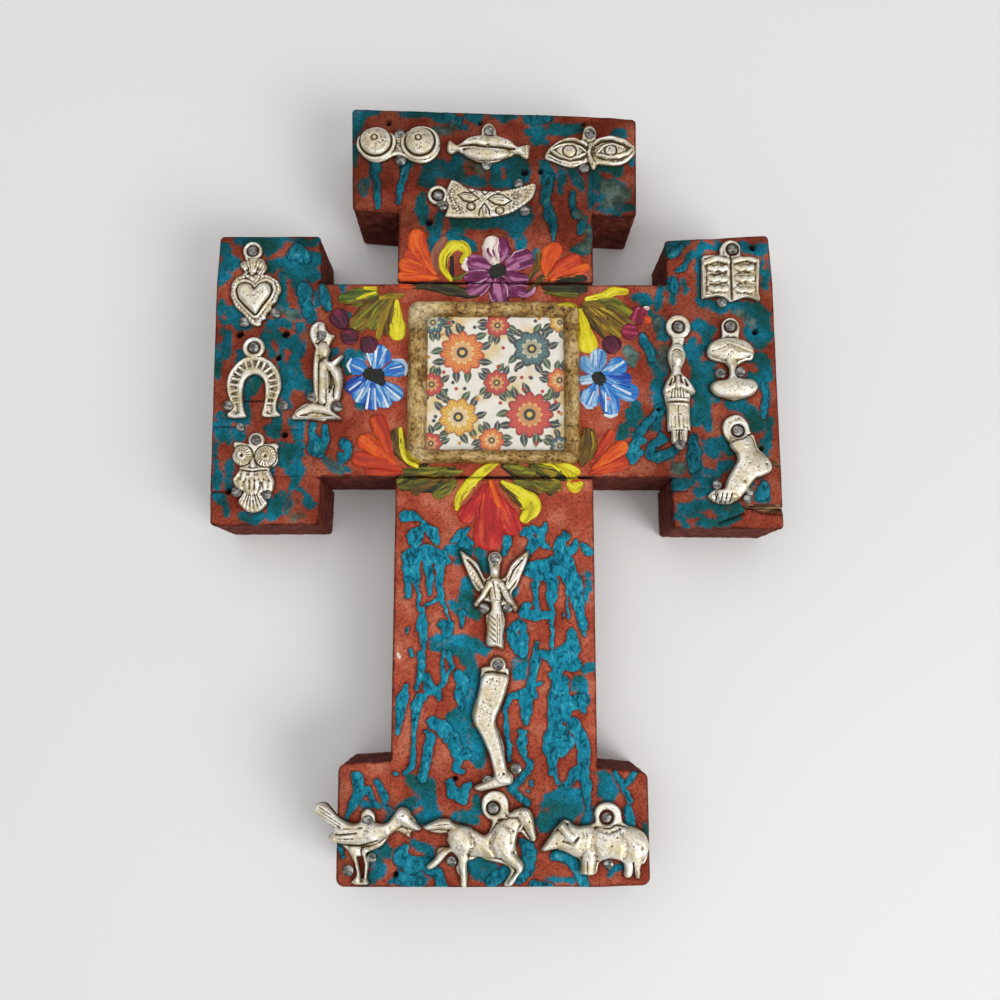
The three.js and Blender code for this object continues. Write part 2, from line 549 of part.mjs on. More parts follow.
const nails = {};
for (const [name, { nail, eye }] of Object.entries(charms)) {
  const sunk = eye > SMALL_EYE;
  const headRadius = sunk ? Math.min(SUNK_HEAD, eye - GAP) : NAIL_HEAD;
  nails[name.replace('charm', 'nail')] = { at: nail, headRadius, underside: sunk ? sunkIn : onTop };
}
for (const [name, at] of Object.entries(rimNails)) {
  nails[name] = { at, headRadius: NAIL_HEAD, underside: onTop };
}

function clearanceHoles() {
  const radius = SHANK + PILOT_CLEARANCE;
  const bottom = onTop - NAIL_LENGTH - 3 * GAP;
  const holes = Object.values(nails).map(({ at }) => cylinder(...at, radius, bottom, OVER_EVERYTHING, HOLE_STEPS));
  return wasm.Manifold.union(holes);
}

// The plate, its ring and its raised forms, cut by its eye, by nail shanks and by heads that stand over it
function charmSolid({ nail, eye, ring, outline, curve, gap, forms }, shanks) {
  const edge = outline ?? smoothLoop(curve);
  let solid = prism(edge, 0, CHARM_THICKNESS);
  if (ring) solid = solid.add(cylinder(0, 0, ring, 0, CHARM_THICKNESS, RING_STEPS));
  if (forms.length) {
    const relief = wasm.Manifold.union(forms.map(mound));
    solid = solid.add(relief.intersect(prism(edge, 0, RELIEF_LIMIT)));
  }
  if (gap) solid = solid.subtract(prism(gap, -1, RELIEF_LIMIT));
  if (eye > 0) solid = solid.subtract(cylinder(0, 0, eye, -1, RELIEF_LIMIT, EYE_STEPS));
  solid = solid.translate([nail[0], nail[1], CHARM_BACK]).subtract(shanks);
  for (const { at, headRadius, underside } of Object.values(nails)) {
    const reach = headRadius + GAP;
    if (underside === onTop) solid = solid.subtract(cylinder(...at, reach, onTop - GAP, onTop + RELIEF_LIMIT));
  }
  return solid;
}

// Assembly

const cross = new THREE.Group();

function place(name, solid, material) {
  const mesh = new THREE.Mesh(geometryOf(solid), material);
  mesh.name = name;
  cross.add(mesh);
}

const shanks = clearanceHoles();
const pegHoles = wasm.Manifold.union(
  Object.values(pegs).map(([x, y]) => peg(x, y, PEG_RADIUS + GAP, PEG_LENGTH + 2 * GAP)),
);

for (const [name, corners] of Object.entries(boards)) {
  place(name, board(corners).subtract(shanks).subtract(pegHoles), paintedWood);
}
for (const [name, [x, y]] of Object.entries(pegs)) {
  place(name, peg(x, y, PEG_RADIUS, PEG_LENGTH), bareWood);
}
place('picture_frame', pictureFrame(), goldPaint);
place('picture_card', pictureCard(), printedCard);
for (const [name, spec] of Object.entries(charms)) {
  place(name, charmSolid(spec, shanks), charmMetal);
}
for (const [name, { at, headRadius, underside }] of Object.entries(nails)) {
  place(name, nailSolid(at, headRadius, underside), nailMetal);
}

export default cross;
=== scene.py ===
import math
import bpy
import numpy as np
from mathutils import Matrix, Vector


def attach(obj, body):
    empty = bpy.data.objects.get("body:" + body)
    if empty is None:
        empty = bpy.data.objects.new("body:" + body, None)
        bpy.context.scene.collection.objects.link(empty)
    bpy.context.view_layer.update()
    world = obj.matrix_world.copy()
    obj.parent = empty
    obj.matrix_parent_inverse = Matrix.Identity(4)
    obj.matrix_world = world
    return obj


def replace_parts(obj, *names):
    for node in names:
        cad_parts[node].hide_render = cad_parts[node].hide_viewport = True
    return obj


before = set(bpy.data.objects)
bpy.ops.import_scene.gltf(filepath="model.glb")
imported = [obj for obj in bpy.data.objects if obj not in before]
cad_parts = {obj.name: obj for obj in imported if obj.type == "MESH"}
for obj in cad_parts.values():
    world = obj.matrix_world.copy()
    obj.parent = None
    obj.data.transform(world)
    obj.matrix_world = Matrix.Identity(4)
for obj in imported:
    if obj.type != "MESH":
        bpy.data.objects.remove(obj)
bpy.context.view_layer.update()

mm = 0.001


# Colours and materials

def linear(hexColour):
    # sRGB hex to linear light
    channels = [int(hexColour[i:i + 2], 16) / 255 for i in (1, 3, 5)]
    return tuple(c / 12.92 if c <= 0.04045 else ((c + 0.055) / 1.055) ** 2.4 for c in channels) + (1.0,)


def newMaterial(name):
    material = bpy.data.materials.new(name)
    material.use_nodes = True
    tree = material.node_tree
    tree.nodes.clear()
    output = tree.nodes.new("ShaderNodeOutputMaterial")
    shader = tree.nodes.new("ShaderNodeBsdfPrincipled")
    tree.links.new(shader.outputs[0], output.inputs[0])
    return material, tree, shader


def add(tree, kind, settings=None, links=None):
    # one node, its settings (attributes by name, inputs by number or socket name) and its links
    node = tree.nodes.new("ShaderNode" + kind)
    for key, value in (settings or {}).items():
        if isinstance(key, str) and hasattr(node, key):
            setattr(node, key, value)
        else:
            node.inputs[key].default_value = value
    for key, source in (links or {}).items():
        tree.links.new(source if isinstance(source, bpy.types.NodeSocket) else source.outputs[0], node.inputs[key])
    return node


def ramp(tree, source, stops, mode="LINEAR"):
    node = add(tree, "ValToRGB", links={0: source})
    node.color_ramp.interpolation = mode
    elements = node.color_ramp.elements
    while len(elements) < len(stops):
        elements.new(0.5)
    for element, (position, colour) in zip(elements, stops):
        element.position = position
        element.color = linear(colour) if isinstance(colour, str) else (colour, colour, colour, 1)
    return node


def blendColours(tree, factor, under, over, mode="MIX"):
    node = add(tree, "Mix", {"data_type": "RGBA", "blend_type": mode})
    for socket, value in ((node.inputs[0], factor), (node.inputs[6], under), (node.inputs[7], over)):
        if isinstance(value, (str, tuple, float, int)):
            socket.default_value = linear(value) if isinstance(value, str) else value
        else:
            tree.links.new(value if isinstance(value, bpy.types.NodeSocket) else value.outputs[0], socket)
    return node.outputs[2]


# Numbers worked out over whole arrays

def smooth(edge0, edge1, x):
    t = np.clip((x - edge0) / (edge1 - edge0), 0, 1)
    return t * t * (3 - 2 * t)


def noise(x, y, z, size, seed):
    # value noise from -1 to 1: random numbers at whole steps of the size, eased between
    table = np.random.default_rng(seed).random(8192) * 2 - 1
    fx, fy, fz = (np.asarray(v, float) / size + 500.0 for v in (x, y, z))
    ix, iy, iz = (np.floor(v).astype(np.int64) for v in (fx, fy, fz))
    tx, ty, tz = (t * t * (3 - 2 * t) for t in (fx - ix, fy - iy, fz - iz))
    total = 0
    for dx in (0, 1):
        for dy in (0, 1):
            for dz in (0, 1):
                key = ((ix + dx) * 73856093 ^ (iy + dy) * 19349663 ^ (iz + dz) * 83492791) & 8191
                weight = (tx if dx else 1 - tx) * (ty if dy else 1 - ty) * (tz if dz else 1 - tz)
                total = total + weight * table[key]
    return total


def addMesh(name, points, faces, material, attributes=None, smoothFaces=True):
    # points in millimetres; faces is one array of quads or a list of arrays of quads and triangles
    mesh = bpy.data.meshes.new(name)
    groups = faces if isinstance(faces, list) else [faces]
    groups = [g for g in groups if len(g)]
    loops = np.concatenate([g.ravel() for g in groups]).astype(np.int32)
    counts = np.concatenate([np.full(len(g), g.shape[1]) for g in groups])
    starts = np.concatenate([[0], np.cumsum(counts)[:-1]]).astype(np.int32)
    mesh.vertices.add(len(points))
    mesh.vertices.foreach_set("co", (np.asarray(points, float) * mm).astype(np.float32).ravel())
    mesh.loops.add(len(loops))
    mesh.loops.foreach_set("vertex_index", loops)
    mesh.polygons.add(len(counts))
    mesh.polygons.foreach_set("loop_start", starts)
    mesh.polygons.foreach_set("use_smooth", np.full(len(counts), smoothFaces))
    for key, values in (attributes or {}).items():
        values = np.asarray(values, np.float32)
        if values.ndim == 2:
            layer = mesh.attributes.new(key, "FLOAT_COLOR", "POINT")
            layer.data.foreach_set("color", values.ravel())
        else:
            layer = mesh.attributes.new(key, "FLOAT", "POINT")
            layer.data.foreach_set("value", values)
    mesh.update(calc_edges=True)
    mesh.validate()
    piece = bpy.data.objects.new(name, mesh)
    bpy.context.scene.collection.objects.link(piece)
    mesh.materials.append(material)
    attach(piece, "root")
    return piece


def gridFaces(rows, cols, closedRows=False, closedCols=False, first=0):
    # quads between neighbours of a grid numbered row by row
    r = np.arange(rows if closedRows else rows - 1)
    c = np.arange(cols if closedCols else cols - 1)
    r, c = np.meshgrid(r, c, indexing="ij")
    r1, c1 = (r + 1) % rows, (c + 1) % cols
    return np.stack([r * cols + c, r * cols + c1, r1 * cols + c1, r1 * cols + c], -1).reshape(-1, 4) + first


# Painted wood

# Paint over the red ground: each stroke is a run of points (x, y, half width) in millimetres
strokes = {
    "thickTeal": [   # dribbled on in blobs and drips
        [(-25.5, -11.3, 1.4), (-23.3, -11.3, 1.3), (-21, -12.8, 0.5), (-19.5, -14, 0.7), (-17.5, -16, 1.9),
         (-16.5, -18.8, 0.8)],
        [(-23.2, -16.5, 1.2), (-21, -15.6, 1)],
        [(-23.6, -17.5, 1), (-23, -19.4, 0.9), (-21.6, -19.2, 0.8), (-20.9, -17.5, 0.8)],
        [(-24.5, -22.6, 1.8), (-20, -22, 2.2), (-15.5, -22.8, 2), (-13, -24, 0.8)],
        [(-24.5, -24, 1.5), (-24, -29, 1.3), (-24.6, -34.3, 0.7)],
        [(-22.5, -25, 1.4), (-22, -28.5, 0.9), (-21.5, -33, 0.35), (-21.2, -38, 0.4)],
        [(-18.6, -25, 1.4), (-18.5, -30, 0.9), (-18.5, -33.4, 0.3)],
        [(-15.4, -25, 1.2), (-15.8, -31, 1.1), (-15.2, -34.5, 0.7), (-14, -37, 0.3), (-12.8, -40.5, 0.25)],
        [(-19.3, -36.5, 0.3), (-16.5, -34.8, 0.35)],
        [(-20.3, -37.5, 0.5), (-20.3, -40, 1.2), (-20.2, -43, 1.7), (-19.6, -46, 0.9), (-19.4, -50, 0.3)],
        [(-24.3, -43.4, 0.4), (-24.1, -44.1, 0.35)],
        [(-23.2, -49.2, 0.4), (-22.6, -50.6, 0.4)],
        [(-20.3, -50.3, 1.1), (-20.4, -55, 1), (-21.3, -59.4, 0.5)],
        [(-14.6, -42, 1.2), (-12.8, -42.2, 1), (-13.5, -44.2, 1.3)],
        [(-12.4, -50.5, 0.8), (-11.6, -53.4, 0.5), (-13.6, -56.4, 0.5), (-14.4, -59, 0.7)],
        [(-14.3, -50, 0.5), (-14.2, -57, 0.4)],
        [(-12, -18.4, 0.6), (-10, -17.4, 1.2), (-8.6, -16, 0.8), (-7.8, -15, 0.4)],
        [(-9.4, -18.6, 1.6), (-7.2, -19.8, 1.4)],
        [(3.8, -18.2, 1.4), (2.4, -21.4, 0.9)],
        [(8.4, -15.6, 1.1), (10.4, -15.2, 1), (13, -15.8, 1.1), (13.2, -18.2, 1), (11.6, -19.4, 0.9),
         (10.4, -20.6, 1), (9.2, -22.6, 0.4)],
        [(9.6, -16.6, 1), (10.6, -18.4, 0.9), (10, -20.4, 0.9)],
        [(14.3, -13.8, 0.35), (14, -15.4, 0.6)],
        [(13.8, -19.4, 0.8), (15.8, -20.8, 0.4)],
        [(9.8, -26.2, 2.1), (13, -26.8, 3.3), (15.8, -26, 2.6), (16.8, -24.4, 1.6)],
        [(11.4, -30.4, 0.7), (11.4, -36, 0.7), (12.2, -38.2, 0.7)],
        [(16, -30, 1.7), (16, -34, 1.3), (16, -37, 0.6), (16, -43, 0.5), (16, -48.5, 0.4)],
        [(9, -37, 1.1), (8, -38.8, 1.1), (11.5, -39.9, 1.2), (15.5, -39, 0.8)],
        [(7.2, -41.6, 1.1), (5.2, -43.6, 1.5), (5.6, -47, 1.6), (7.6, -49.8, 1.2)],
        [(8, -41.8, 0.8), (8.2, -46, 0.8), (8, -50.4, 0.7)],
        [(19, -18, 1.1), (18.6, -20.5, 1.7), (19.2, -23.5, 2.2), (20.5, -26.5, 2.6), (22, -30, 2.4), (23, -34, 1.6),
         (24, -39, 1.2), (25, -43, 0.8), (25.3, -45.2, 0.3)],
        [(19.3, -15.6, 0.3), (20.4, -17.4, 0.9)],
        [(22.8, -19.4, 0.8), (21.6, -21.2, 1)],
        [(25.2, -20.2, 1.2), (27, -21.4, 1.1)],
        [(20.4, -33, 0.3), (20.4, -40, 0.22)],
        [(19.2, -39.2, 0.3), (19.2, -39.4, 0.3)],
        [(21.6, -44.2, 1.3), (21.6, -47.5, 2.4), (19.5, -50.6, 2.9), (22, -52.6, 2.3)],
        [(18.2, -52.4, 2.4), (15.4, -50.8, 1.5), (13.2, -50, 0.8)],
        [(16.6, -55.8, 1.6), (18.4, -58, 2.3), (17.8, -62, 3), (18, -66, 3.1)],
        [(11.4, -46.8, 0.5), (11.3, -50, 0.9), (11.2, -53, 1.2), (10.4, -57, 0.9), (10, -60.4, 1.4)],
        [(10.6, -58.6, 0.6), (13.2, -57.8, 0.4)],
        [(-9.3, -39, 0.9), (-9.5, -42.4, 0.5)],
        [(-10, -55.6, 1.3), (-8.6, -58, 1.5), (-9.8, -61.2, 1.5), (-9, -64, 0.9)],
        [(-18.6, -56.4, 0.9), (-18, -59.8, 1.7), (-15.4, -60.6, 1), (-15.4, -62, 0.6)],
        [(-24, -58.4, 0.4), (-25.2, -61.4, 1.2), (-26, -66, 1.2), (-26.5, -71.5, 0.5)],
        [(-20.4, -62, 1.2), (-21.8, -64.4, 1.6), (-21.6, -66.6, 1), (-21.8, -70, 0.6), (-22.2, -75, 0.7),
         (-22.8, -80, 0.9), (-24.3, -82.2, 0.7)],
        [(-18.8, -71, 0.6), (-17.4, -72.6, 1.1), (-18, -76, 1.2), (-19, -80, 1.2), (-19.4, -83, 1.5)],
        [(-17, -68.6, 1.5), (-14.5, -70, 1.8), (-11.6, -73.4, 2), (-10.6, -76.4, 1.4), (-8, -77, 1.4)],
        [(-9.8, -79, 1), (-10.5, -81.2, 0.8), (-8.6, -82, 0.5)],
        [(-27.2, -82.6, 0.5), (-26.8, -83, 0.4)],
        [(-12.4, -84.6, 1.1), (-11, -87.6, 1.6), (-8.8, -88.6, 1.5), (-7.8, -86, 1.2), (-6.8, -85.2, 0.8)],
        [(10.6, -60.8, 1.2), (7.6, -61, 1.2), (4, -61.8, 1), (2.8, -65, 0.6), (3, -70, 0.8), (3.8, -75, 0.7),
         (4, -78.6, 0.4)],
        [(8.6, -61.4, 1.4), (8.6, -66, 1.5), (8.7, -68.6, 0.9)],
        [(7, -71.2, 0.5), (9, -71.4, 0.3)],
        [(7.6, -72.4, 0.9), (7.6, -74.6, 1.5), (8.3, -78.4, 0.7), (10, -79.4, 1.1), (9, -82, 1), (6.6, -84.4, 0.7),
         (4.6, -86, 0.9), (7.4, -88.8, 0.8), (9, -90.2, 0.9)],
        [(10, -85, 0.5), (10.1, -85.2, 0.5)],
        [(9.1, -86.8, 0.35), (9.2, -87, 0.3)],
        [(21.4, -63.4, 2.2), (24.6, -63, 1.7), (24.6, -65.6, 0.8)],
        [(16.6, -69, 1.7), (16, -72.5, 2.5), (16, -76.5, 2.3), (15.8, -80, 1.1), (15.5, -82.3, 0.7)],
        [(18.6, -72, 2.2), (20.4, -74.2, 1.6), (18.4, -77, 1.3)],
        [(21.6, -69, 1.4), (23.5, -71.5, 1.7), (24.6, -76, 1.9), (24.3, -81, 1.7), (25, -86, 1.3), (25.7, -91, 0.7)],
        [(16.6, -81.6, 0.5), (17.8, -85.4, 0.35)],
        [(20, -85.4, 0.8), (22.2, -82, 1.5)],
        [(-24, -101.6, 0.9), (-25, -104.6, 2.1), (-22, -106.2, 2.2), (-18.6, -106, 1.5), (-15, -108.6, 1.3),
         (-14, -111.5, 1.2)],
        [(-25.2, -109.6, 1.7), (-20.4, -111, 1.2)],
        [(7.6, -100.4, 1.2), (9.6, -102.6, 1.8), (8.8, -106.4, 1.6), (6.4, -109.6, 1.4)],
        [(16.6, -103.6, 1.3), (20, -104.6, 1.4), (22.6, -107.4, 1.8), (24, -111, 1.4)],
        [(10.4, -111.2, 1), (15.4, -111.6, 0.9)],
        [(-0.6, -110.6, 1.6), (3.6, -108.4, 1.5)],
        [(-37.6, -83.4, 1.6), (-36.8, -87, 1.7), (-38.4, -90.8, 0.9), (-40, -94, 0.6)],
        [(-35, -86.4, 0.8), (-31.6, -91.6, 0.4)],
        [(-32, -84.4, 0.9), (-30.2, -87.6, 0.9), (-29.6, -90.4, 0.4)],
        [(-41.6, -101.4, 0.5), (-41, -104.4, 0.6)],
        [(33, -82, 0.7), (35.2, -85.8, 0.9), (37.2, -90, 0.6)],
        [(38.2, -82.4, 0.7), (36.6, -84.8, 0.9)],
        [(36.2, -92, 1.3), (37, -96, 1.2)],
        [(-43.6, 9.4, 1.2), (-42, 8, 1.1), (-42.2, 5.6, 1), (-44, 4.2, 0.9), (-44.4, 6.6, 0.7)],
        [(42.2, 10.6, 1), (40.4, 10, 1.5), (38.8, 7.6, 1.3), (39.6, 5.2, 1.2), (41.6, 7, 0.9)],
        [(45.2, 9.6, 1.4), (44.4, 6.8, 1.3), (47, 5.2, 1.3), (50.4, 7, 1.4), (52.2, 9, 0.9)],
        [(48, 11.4, 1.3), (47.2, 9.6, 0.9)],
        [(51.6, 65.8, 0.7), (53.4, 67.6, 1.2), (55, 69, 0.7)],
        [(54.2, 61.8, 0.8), (55.6, 62.8, 1), (56.8, 64.2, 0.7)],
        [(52.6, 58.4, 0.8), (52.6, 55.6, 0.9)],
        [(-52.4, 14.6, 1), (-52.2, 11, 1.3), (-52, 8, 2), (-50.4, 7, 1.9)],
        [(-48.6, 14.4, 0.9), (-48.8, 11, 1.2), (-49.6, 8, 1.4)],
        [(-60, 66.2, 1.6), (-58.4, 68, 1.8), (-57, 65.6, 2.2)],
        [(-56, 56, 1.9), (-55.6, 52, 1.7), (-54.8, 48.6, 1.5)],
        [(-50.9, 56.4, 0.9), (-50, 53, 1.6), (-49, 50, 1.4)],
        [(43, 41.8, 0.9), (43.8, 39.6, 1.2), (45.2, 37.2, 1.1), (45.6, 34.8, 0.9)],
        [(48.6, 20.4, 1), (46, 18.2, 1.1), (44, 15.6, 1.2), (42, 13, 1.1)],
        [(56.8, 10.8, 1.1), (57.2, 6.6, 1.6), (56.8, 2.6, 1.5)],
        [(-36, 96, 1.1), (-35.8, 91, 1.1), (-35.7, 87, 1), (-35.3, 83.6, 0.8), (-35.1, 81.2, 0.5)],
        [(-26.6, 94, 1), (-27.4, 90.4, 1), (-28.4, 86.6, 0.9), (-29.3, 82.8, 0.4)],
        [(16, 90.4, 1.5), (15.4, 87, 1.4), (15.2, 83, 1.3), (15.8, 79.4, 1.3), (16.9, 76, 1.3), (17.3, 73, 0.9),
         (17.1, 70.9, 0.4)],
        [(12.2, 109.6, 1.7), (15.6, 109.6, 1.2)],
        [(-14.4, 109.6, 1.6), (-11.8, 108.8, 1.3)],
        [(22.7, 85.4, 0.8), (22.6, 81.8, 1), (24, 79.2, 1.2)],
        [(25.6, 76.4, 1.1), (24.8, 73.6, 0.8)],
        [(78, 27, 1), (78.2, 22.6, 1), (77.6, 18, 0.8)],
        [(75.6, -5.6, 1.4), (77, -3, 1.4)],
    ],
    "thinTeal": [   # brushed flat and rubbed
        [(-68.3, 69.5, 1.8), (-62.5, 70.1, 1.9)],
        [(-60.7, 70, 1.5), (-53.7, 70, 1.4)],
        [(-62.3, 66.1, 2.6), (-53, 64.9, 2.3)],
        [(-60.4, 61.2, 2.3), (-53.4, 60.2, 2)],
        [(-79.8, 67.9, 1.8), (-77.9, 63.3, 2), (-80.3, 58.4, 1.8)],
        [(-80.7, 37.4, 1), (-80.5, 29.1, 1)],
        [(-59.6, 36.3, 2.3), (-57, 27.5, 2.2)],
        [(-61.6, 28.9, 1.5), (-55.3, 26.9, 1.5)],
        [(-64.1, 3.1, 1.4), (-64, -0.4, 1.1)],
        [(-60.5, -6.1, 1.9), (-62.8, -10.6, 1.9)],
        [(-75.4, 16.9, 1.3), (-79.3, 14, 1.8)],
        [(-65.1, 14, 1.1), (-62.8, 11.7, 1.4)],
        [(-52.7, 54.3, 0.8), (-52, 50.7, 0.6)],
        [(-73.9, 36.3, 0.9), (-74.3, 31.5, 1.1), (-73.6, 28, 0.7)],
        [(60.5, 52.6, 1.4), (63.6, 50.8, 1.4), (67.1, 49.6, 1)],
        [(71.1, 49.6, 1.4), (77.5, 49.6, 1.6), (79.7, 47.2, 1.3)],
        [(58.6, 44.7, 1.6), (62.3, 43, 1.9), (62.1, 39.4, 1.4)],
        [(76.2, 46, 1.6), (77.7, 40, 2.2), (80.1, 42.4, 1.1)],
        [(76.9, 35.3, 2), (79.1, 32.3, 1.5), (75.5, 28.2, 1.4)],
        [(55.8, 37.6, 1.2), (58.3, 34.6, 1.5), (58.4, 30.5, 1.9)],
        [(59.8, 28.2, 1.9), (60, 23.5, 2.2), (61, 18.8, 1.4)],
        [(47, 31.6, 1.9), (48, 25.8, 1.6), (47.3, 19.9, 1.6), (46.6, 14.1, 1.3)],
        [(68.4, 21.2, 1.4), (74.1, 19.4, 1.6), (76.2, 14.8, 1.4)],
        [(61.2, 9, 1.6), (65.2, 10.1, 1.9), (67.4, 7.3, 1.3)],
        [(62.8, 3.2, 1.2), (67.3, 3.2, 1.2)],
        [(51.3, -2.5, 1.3), (56.4, -1.9, 1.2)],
        [(54.5, -11, 2), (60, -12.7, 1.9), (66.3, -10.4, 2)],
        [(62.5, -4.7, 1.1), (58.6, -5.3, 0.9)],
        [(75.6, -1.3, 1.4), (77.1, -5.3, 1.3)],
        [(79.1, 16.5, 1), (78.2, 9, 1.1)],
        [(45.9, 6.6, 1.6), (50.4, 5.5, 1.4)],
        [(-30.2, -90.7, 1.3), (-27.2, -92.9, 1.2), (-28.9, -96.3, 1.1)],
        [(-21.3, -100.3, 1.4), (-17.8, -103.1, 1.6), (-15.4, -108.6, 1.6)],
        [(-22.3, -107.5, 1.6), (-18.8, -110.3, 1.2)],
        [(-9.7, -93.5, 1.6), (-5, -94.6, 1.4)],
        [(-6.1, -105.3, 1.8), (-3.8, -109.2, 2), (0.9, -110.3, 1.2)],
        [(12.6, -94.6, 2), (16.7, -90.1, 2.4), (22, -90.7, 2.4), (18.4, -94.6, 1.8)],
        [(9, -101.4, 1.8), (9, -107.5, 1.8)],
        [(17.2, -103.6, 1.8), (22.4, -107.5, 1.8), (24.7, -110.3, 1.2)],
        [(29.1, -82.7, 1.6), (29.6, -87.8, 1.4)],
        [(31.7, -107.5, 1.6), (35.8, -107, 1)],
        [(14.8, -109.7, 1.1), (20.6, -109.7, 1)],
        [(-25.3, -103.1, 1.8), (-24.6, -108.6, 1.6), (-28.1, -110.8, 0.8)],
        [(-35.5, -90.1, 1.1), (-33.1, -90.7, 0.8)],
        [(-15.6, -47.4, 2.4), (-10, -47.4, 2.9), (-5.6, -48, 2), (-2.6, -49, 1.2)],
        [(-7.4, -50.6, 2), (-6.4, -55, 2.1), (-6, -60.5, 2.2), (-7, -65, 3), (-10, -69, 3.4)],
        [(-7.4, -72, 3.2), (-5.4, -76, 3), (-3.6, -79, 2)],
        [(-14, -21.4, 0.9), (-11, -21, 1.4), (-8, -22, 1.8), (-10.4, -24.4, 1)],
        [(-4, -22, 1.6), (-2.8, -26, 1.4)],
        [(-7.4, -30.8, 2.2), (-8, -34.6, 2.2), (-8.4, -37.8, 2.2), (-5.4, -39.4, 1.2)],
        [(-12.4, -36.2, 0.8), (-10, -38, 1.4)],
        [(7, -53, 2.5), (7.2, -55.8, 1.6)],
        [(25.8, -28.4, 0.8), (26, -32, 1), (25.6, -35, 0.6)],
        [(26.6, -53.6, 1.2), (24.6, -54.4, 0.8)],
        [(23.8, -58.6, 2.2), (25.2, -62.4, 1.4)],
        [(5.6, -32.4, 1.2), (4.4, -33.4, 1.2)],
        [(-22, -84.4, 2), (-18.6, -86, 3.2), (-17.6, -90, 2.4), (-16, -93.6, 2), (-20, -94, 2)],
        [(-24.6, -92, 2.4), (-21.6, -89.4, 2.2)],
        [(-8, -93.4, 2), (-4.4, -92, 1.4), (-4.6, -89, 1.3)],
        [(15, -90.4, 2.8), (19, -88.6, 3.2), (22.4, -88, 2.4), (17, -92.6, 2.8), (13.6, -96, 2)],
        [(-29, -103, 2), (-31, -101, 1.4)],
        [(-3, -106.6, 2.4), (-1, -108, 2.4)],
        [(20.6, -94.4, 1.4), (18, -95, 1.5)],
        [(24.6, -95, 1.5), (26, -91.4, 1.2)],
        [(2.6, -104, 2)],
        [(-33, -103, 1.8), (-31, -107.8, 2.4), (-33.6, -110.6, 1.4)],
        [(-38.6, -101, 1.2), (-40.6, -99.6, 0.8)],
        [(30.6, -84, 1.8), (32, -87.6, 2), (30.4, -90, 1.4)],
        [(40.4, -96, 1), (41.4, -99, 0.7)],
        [(32.6, -107.4, 1.8)],
        [(-41.6, 109.5, 2.2), (-42, 106.5, 1.6), (-42.6, 103, 1)],
        [(-41.8, 110.8, 1.6), (-36.2, 111.4, 1)],
        [(-42.5, 99.6, 1.1), (-42.4, 96, 1.1), (-42.4, 94, 0.6)],
        [(-36, 96.6, 1.3), (-35.8, 91, 1.2)],
        [(-25.4, 96.4, 1.4), (-27, 93.6, 1.4)],
        [(-39, 88.4, 1.6), (-39.8, 85.6, 1.2)],
        [(-29, 111.4, 0.9), (-24, 111.2, 1.1), (-19.5, 110.9, 1.2)],
        [(-17.8, 110.2, 1.5), (-14.4, 109.6, 2), (-11.6, 108.8, 1.6), (-11.4, 107, 0.9)],
        [(-11, 107.4, 1), (-8.4, 105.8, 0.7)],
        [(-8.6, 110.4, 1.2), (-6, 109.6, 1.8), (-4.4, 110.8, 0.9)],
        [(-0.6, 110.7, 0.9), (2.2, 110, 1.6), (5.2, 110.6, 0.9)],
        [(9.4, 109.6, 1.5), (12.6, 109.4, 2), (16.4, 109.8, 1.3)],
        [(10.4, 105.6, 1.4), (13.6, 105, 2), (12.4, 102.4, 1.7), (15, 101.6, 0.9)],
        [(17.6, 106.2, 1.7), (21, 105.8, 2.2), (24.6, 106.2, 1.8)],
        [(36, 105, 0.9), (38.6, 105, 1.2)],
        [(-18.6, 105.6, 1), (-14, 106, 1.2)],
        [(-19.6, 95.4, 1.8), (-19, 92, 2.6), (-20.4, 89.2, 2.4)],
        [(-16.6, 92.6, 2.4), (-12.4, 95.6, 2.6), (-11, 92.4, 2.4)],
        [(-13.6, 97.4, 1), (-9.6, 98.4, 1.2), (-6.4, 97.2, 1.2)],
        [(-10, 91, 2.2), (-6.4, 89.6, 2), (-3.8, 89, 1.2)],
        [(-0.4, 92, 2.6), (1.6, 95.4, 3), (5.4, 96.4, 2.8), (7.6, 94.6, 2.4), (5, 91.4, 3)],
        [(-0.4, 89.6, 1.8), (4, 89.4, 2.2), (8.4, 91, 1.6)],
        [(10.4, 92.6, 0.8), (12, 93.2, 0.7)],
        [(-22, 84.4, 1.4), (-21.8, 80.6, 1.9), (-21.6, 77.4, 1.6)],
        [(-19.2, 74.6, 1.5), (-17.6, 73, 2), (-18.8, 69.8, 1.3), (-18.6, 66.6, 0.9)],
        [(-16, 79, 1), (-16.6, 75.6, 1.2)],
        [(-12.2, 78, 2.2), (-6, 78.2, 2.6), (0, 78.4, 2.6), (6, 79.2, 2.4), (9.2, 80.6, 1.8)],
        [(-12.4, 75, 2.4), (-7, 76, 2.2), (-1, 76.8, 2.2), (5, 76, 2.6), (9, 77.6, 2.2)],
        [(-12.8, 72, 2), (-10.6, 70.8, 1.8), (-7.6, 70, 1.6), (-6, 68, 0.9)],
        [(5.6, 73.4, 2.2), (7.6, 71, 2), (6.8, 68.4, 1.3)],
        [(11.6, 66.8, 1.3), (12.6, 64.4, 1)],
        [(14.6, 94.6, 1.7), (16, 91.4, 2), (15.4, 87, 1.5)],
        [(13.4, 93.8, 1.2), (14, 91.4, 1.2)],
        [(19.8, 94.6, 1.2), (19.9, 90, 1), (19.6, 86.2, 0.6)],
        [(22.6, 93.8, 1.3), (24.4, 90.6, 1.3), (25.6, 87.8, 0.8)],
        [(24, 79.2, 1.5), (26, 78, 1.2)],
        [(28.6, 94.6, 1.4), (32, 94.2, 1.6), (36.4, 93.8, 1.4), (36.2, 91.4, 0.9)],
        [(29.6, 92, 1.7), (29.4, 88, 1.7), (29, 84.4, 1.5), (28.4, 81, 0.9)],
        [(32, 90, 1.2), (31.6, 87, 1.4)],
